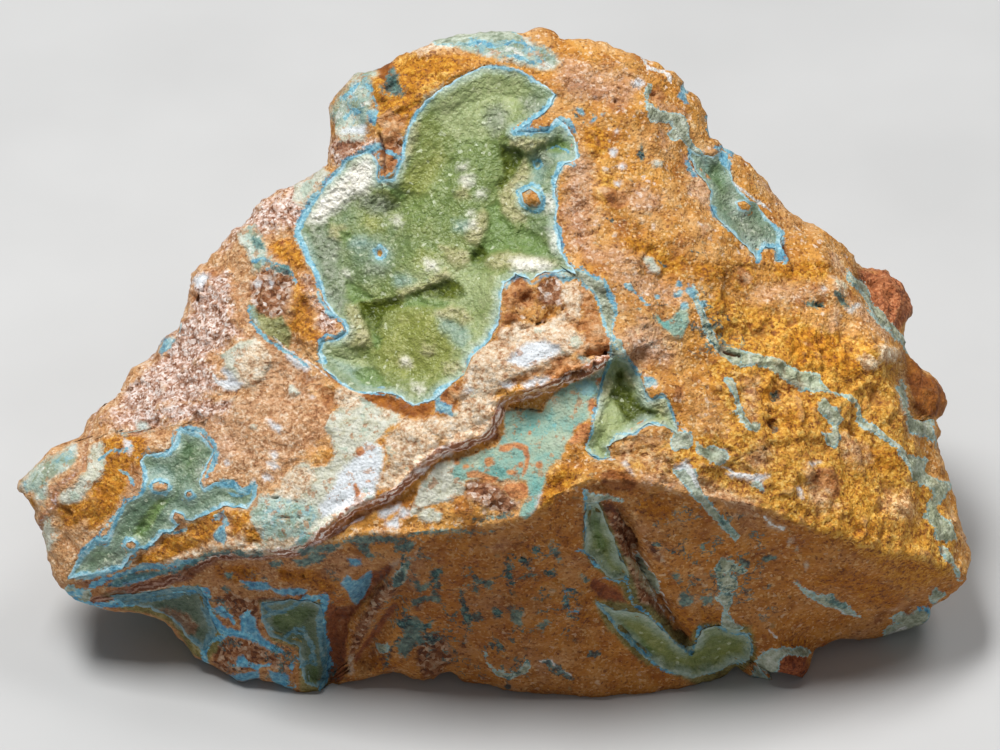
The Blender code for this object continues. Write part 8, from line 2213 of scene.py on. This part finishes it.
    # the blue border: a bright thread at the very edge, a blue band of changing width, then a pale haze
    wander = n.math("MULTIPLY_ADD", warp, 6.0, n.math("MULTIPLY_ADD", warp_fine, 5.0, edge))
    wide = n.math("MULTIPLY_ADD", n.math("SUBTRACT", n.noise(4.0, 3, 0.6, 38.0), 0.5), 13.0, n.math("MULTIPLY_ADD", n.attr("broad"), 4.5, 1.0))
    inner = n.math("SUBTRACT", wander, wide)
    haze = n.both(n.step(inner, 11.0, 0.0, 0.0, 0.75), n.math("MULTIPLY_ADD", cool, -0.45, 1.0), n.step(n.noise(4.0, 3, 0.5, 66.0), 0.36, 0.56, 0.35, 1.0))
    colour = n.mix(haze, colour, n.ramp(fine, (0.3, lin(150, 174, 160)), (0.6, lin(184, 200, 186)), (0.8, lin(216, 222, 214))))
    band = n.step(inner, 2.0, -0.8, 0.0, 0.85)
    blue_band = n.ramp(n.math("MULTIPLY_ADD", n.math("SUBTRACT", mid, 0.5), 0.8, fine), (0.26, lin(92, 148, 170)), (0.44, lin(120, 176, 196)), (0.58, lin(152, 198, 212)), (0.76, lin(198, 220, 226)))
    grey_band = n.ramp(fine, (0.3, lin(138, 156, 134)), (0.5, lin(166, 180, 158)), (0.7, lin(200, 208, 192)))
    colour = n.mix(band, colour, n.mix(n.attr("bluish"), grey_band, blue_band))
    thread = n.both(n.step(wander, 1.9, 0.7, 0.0, 0.8), n.attr("bluish"), n.step(mid, 0.44, 0.54, 0.2, 1.0))
    colour = n.mix(thread, colour, lin(176, 208, 218))
    blue = n.math("MULTIPLY_ADD", warp, 7.0, n.math("MULTIPLY_ADD", warp_fine, 6.0, n.attr("blue")))
    sky = n.math("MULTIPLY_ADD", warp, 7.0, n.math("MULTIPLY_ADD", warp_fine, 6.0, n.attr("sky")))
    colour = n.mix(n.math("MAXIMUM", n.step(blue, -0.8, 0.9, 0.0, 0.9), n.step(sky, -1.2, 1.4, 0.0, 0.9)), colour, n.ramp(n.math("MULTIPLY_ADD", n.math("SUBTRACT", mid, 0.5), 0.7, fine), (0.26, lin(66, 124, 152)), (0.44, lin(98, 158, 182)), (0.58, lin(136, 186, 200)), (0.76, lin(190, 214, 218))))
    # painted shade: the crusts under the brow are darkened by their share
    n.feed(n.shader.inputs["Base Color"], n.mix(crust_painted_shade, colour, n.mix(1.0, colour, lin(160, 158, 150), "MULTIPLY")))
    n.shader.inputs["Roughness"].default_value = 0.31
    n.shader.inputs["IOR"].default_value = 1.57
    n.shader.inputs["Specular IOR Level"].default_value = 0.22
    n.shader.inputs["Transmission Weight"].default_value = 0.0
    bump = n.add("ShaderNodeBump")
    bump.inputs["Strength"].default_value = 0.5
    bump.inputs["Distance"].default_value = 0.00011
    n.feed(bump.inputs["Height"], n.math("SUBTRACT", grit, n.voronoi(0.26, offset=2.0)))
    n.feed(n.shader.inputs["Normal"], bump.outputs["Normal"])
    return n.material


# strength of the painted shade on the front face below the brow
FRONT_PAINTED_SHADE = 0.5
ROCK = rock_material()
for piece in rock_visual():
    piece.data.materials.append(ROCK)
    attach(piece, "root")
    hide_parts("matrix")

GREEN = druse_material()
COARSE = 1.0
for number, (name, spacing, size) in enumerate((
    ("main_druse", 0.91, 0.48), ("centre_druse", 0.9, 0.50), ("left_druse", 0.9, 0.42),
    ("upper_right_druse", 0.9, 0.42), ("front_band_druse", 1.0, 0.60), ("lower_right_druse", 1.0, 0.62),
    ("lower_left_druse", 1.0, 0.60), ("foot_druse", 1.0, 0.60),
)):
    crust = druse_visual(name, 100 + 13 * number, spacing * COARSE, size)
    crust.data.materials.append(GREEN)
    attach(crust, "root")
    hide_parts(name)


# ---------------------------------------------------------------------------
# Studio: pale floor, soft lights, and a camera on the sheet's line of convergence
# ---------------------------------------------------------------------------
def studio():
    scene = bpy.context.scene
    floor_mesh = bpy.data.meshes.new("floor")
    bm = bmesh.new()
    bmesh.ops.create_grid(bm, x_segments=1, y_segments=1, size=3.0)
    bm.to_mesh(floor_mesh)
    bm.free()
    floor = bpy.data.objects.new("floor", floor_mesh)
    scene.collection.objects.link(floor)
    n = Nodes("floor")
    n.feed(n.shader.inputs["Base Color"], n.ramp(n.noise(30.0, 3, 0.5, 2.0), (0.3, (0.50, 0.50, 0.495)), (0.7, (0.54, 0.54, 0.535))))
    n.shader.inputs["Roughness"].default_value = 0.8
    floor.data.materials.append(n.material)

    world = bpy.data.worlds.new("studio")
    world.use_nodes = True
    world.node_tree.nodes["Background"].inputs["Color"].default_value = (0.93, 0.96, 1.0, 1.0)
    world.node_tree.nodes["Background"].inputs["Strength"].default_value = 0.14
    scene.world = world

    def softbox(name, at, size, power, colour=(1.0, 1.0, 1.0)):
        lamp = bpy.data.lights.new(name, "AREA")
        lamp.shape = "RECTANGLE"
        lamp.size, lamp.size_y = size
        lamp.energy = power
        lamp.color = colour
        obj = bpy.data.objects.new(name, lamp)
        obj.location = at
        obj.rotation_euler = (Vector((0, 0, 0.03)) - Vector(at)).to_track_quat("-Z", "Y").to_euler()
        scene.collection.objects.link(obj)

    softbox("key", (-0.18, 0.02, 0.64), (0.24, 0.18), 4.6)
    softbox("top", (0.28, 0.12, 0.56), (0.22, 0.22), 1.3)
    softbox("fill", (0.05, -0.70, 0.35), (0.5, 0.3), 0.22)

    camera = bpy.data.cameras.new("camera")
    camera.sensor_width = 36.0
    camera.lens = 36.0 * REACH / (1000 * UNIT_MM)
    camera.clip_start, camera.clip_end = 0.01, 20.0
    eye = bpy.data.objects.new("camera", camera)
    at = to_world(np.array(CENTRE[0]), np.array(CENTRE[1]), np.array(MID))
    toward = np.array([0.0, -COS, SIN])
    eye.location = Vector((at + toward * REACH) / 1000.0)
    eye.rotation_euler = (math.pi / 2 - TILT, 0.0, 0.0)
    scene.collection.objects.link(eye)
    scene.camera = eye
    scene.view_settings.view_transform = "Standard"


studio()
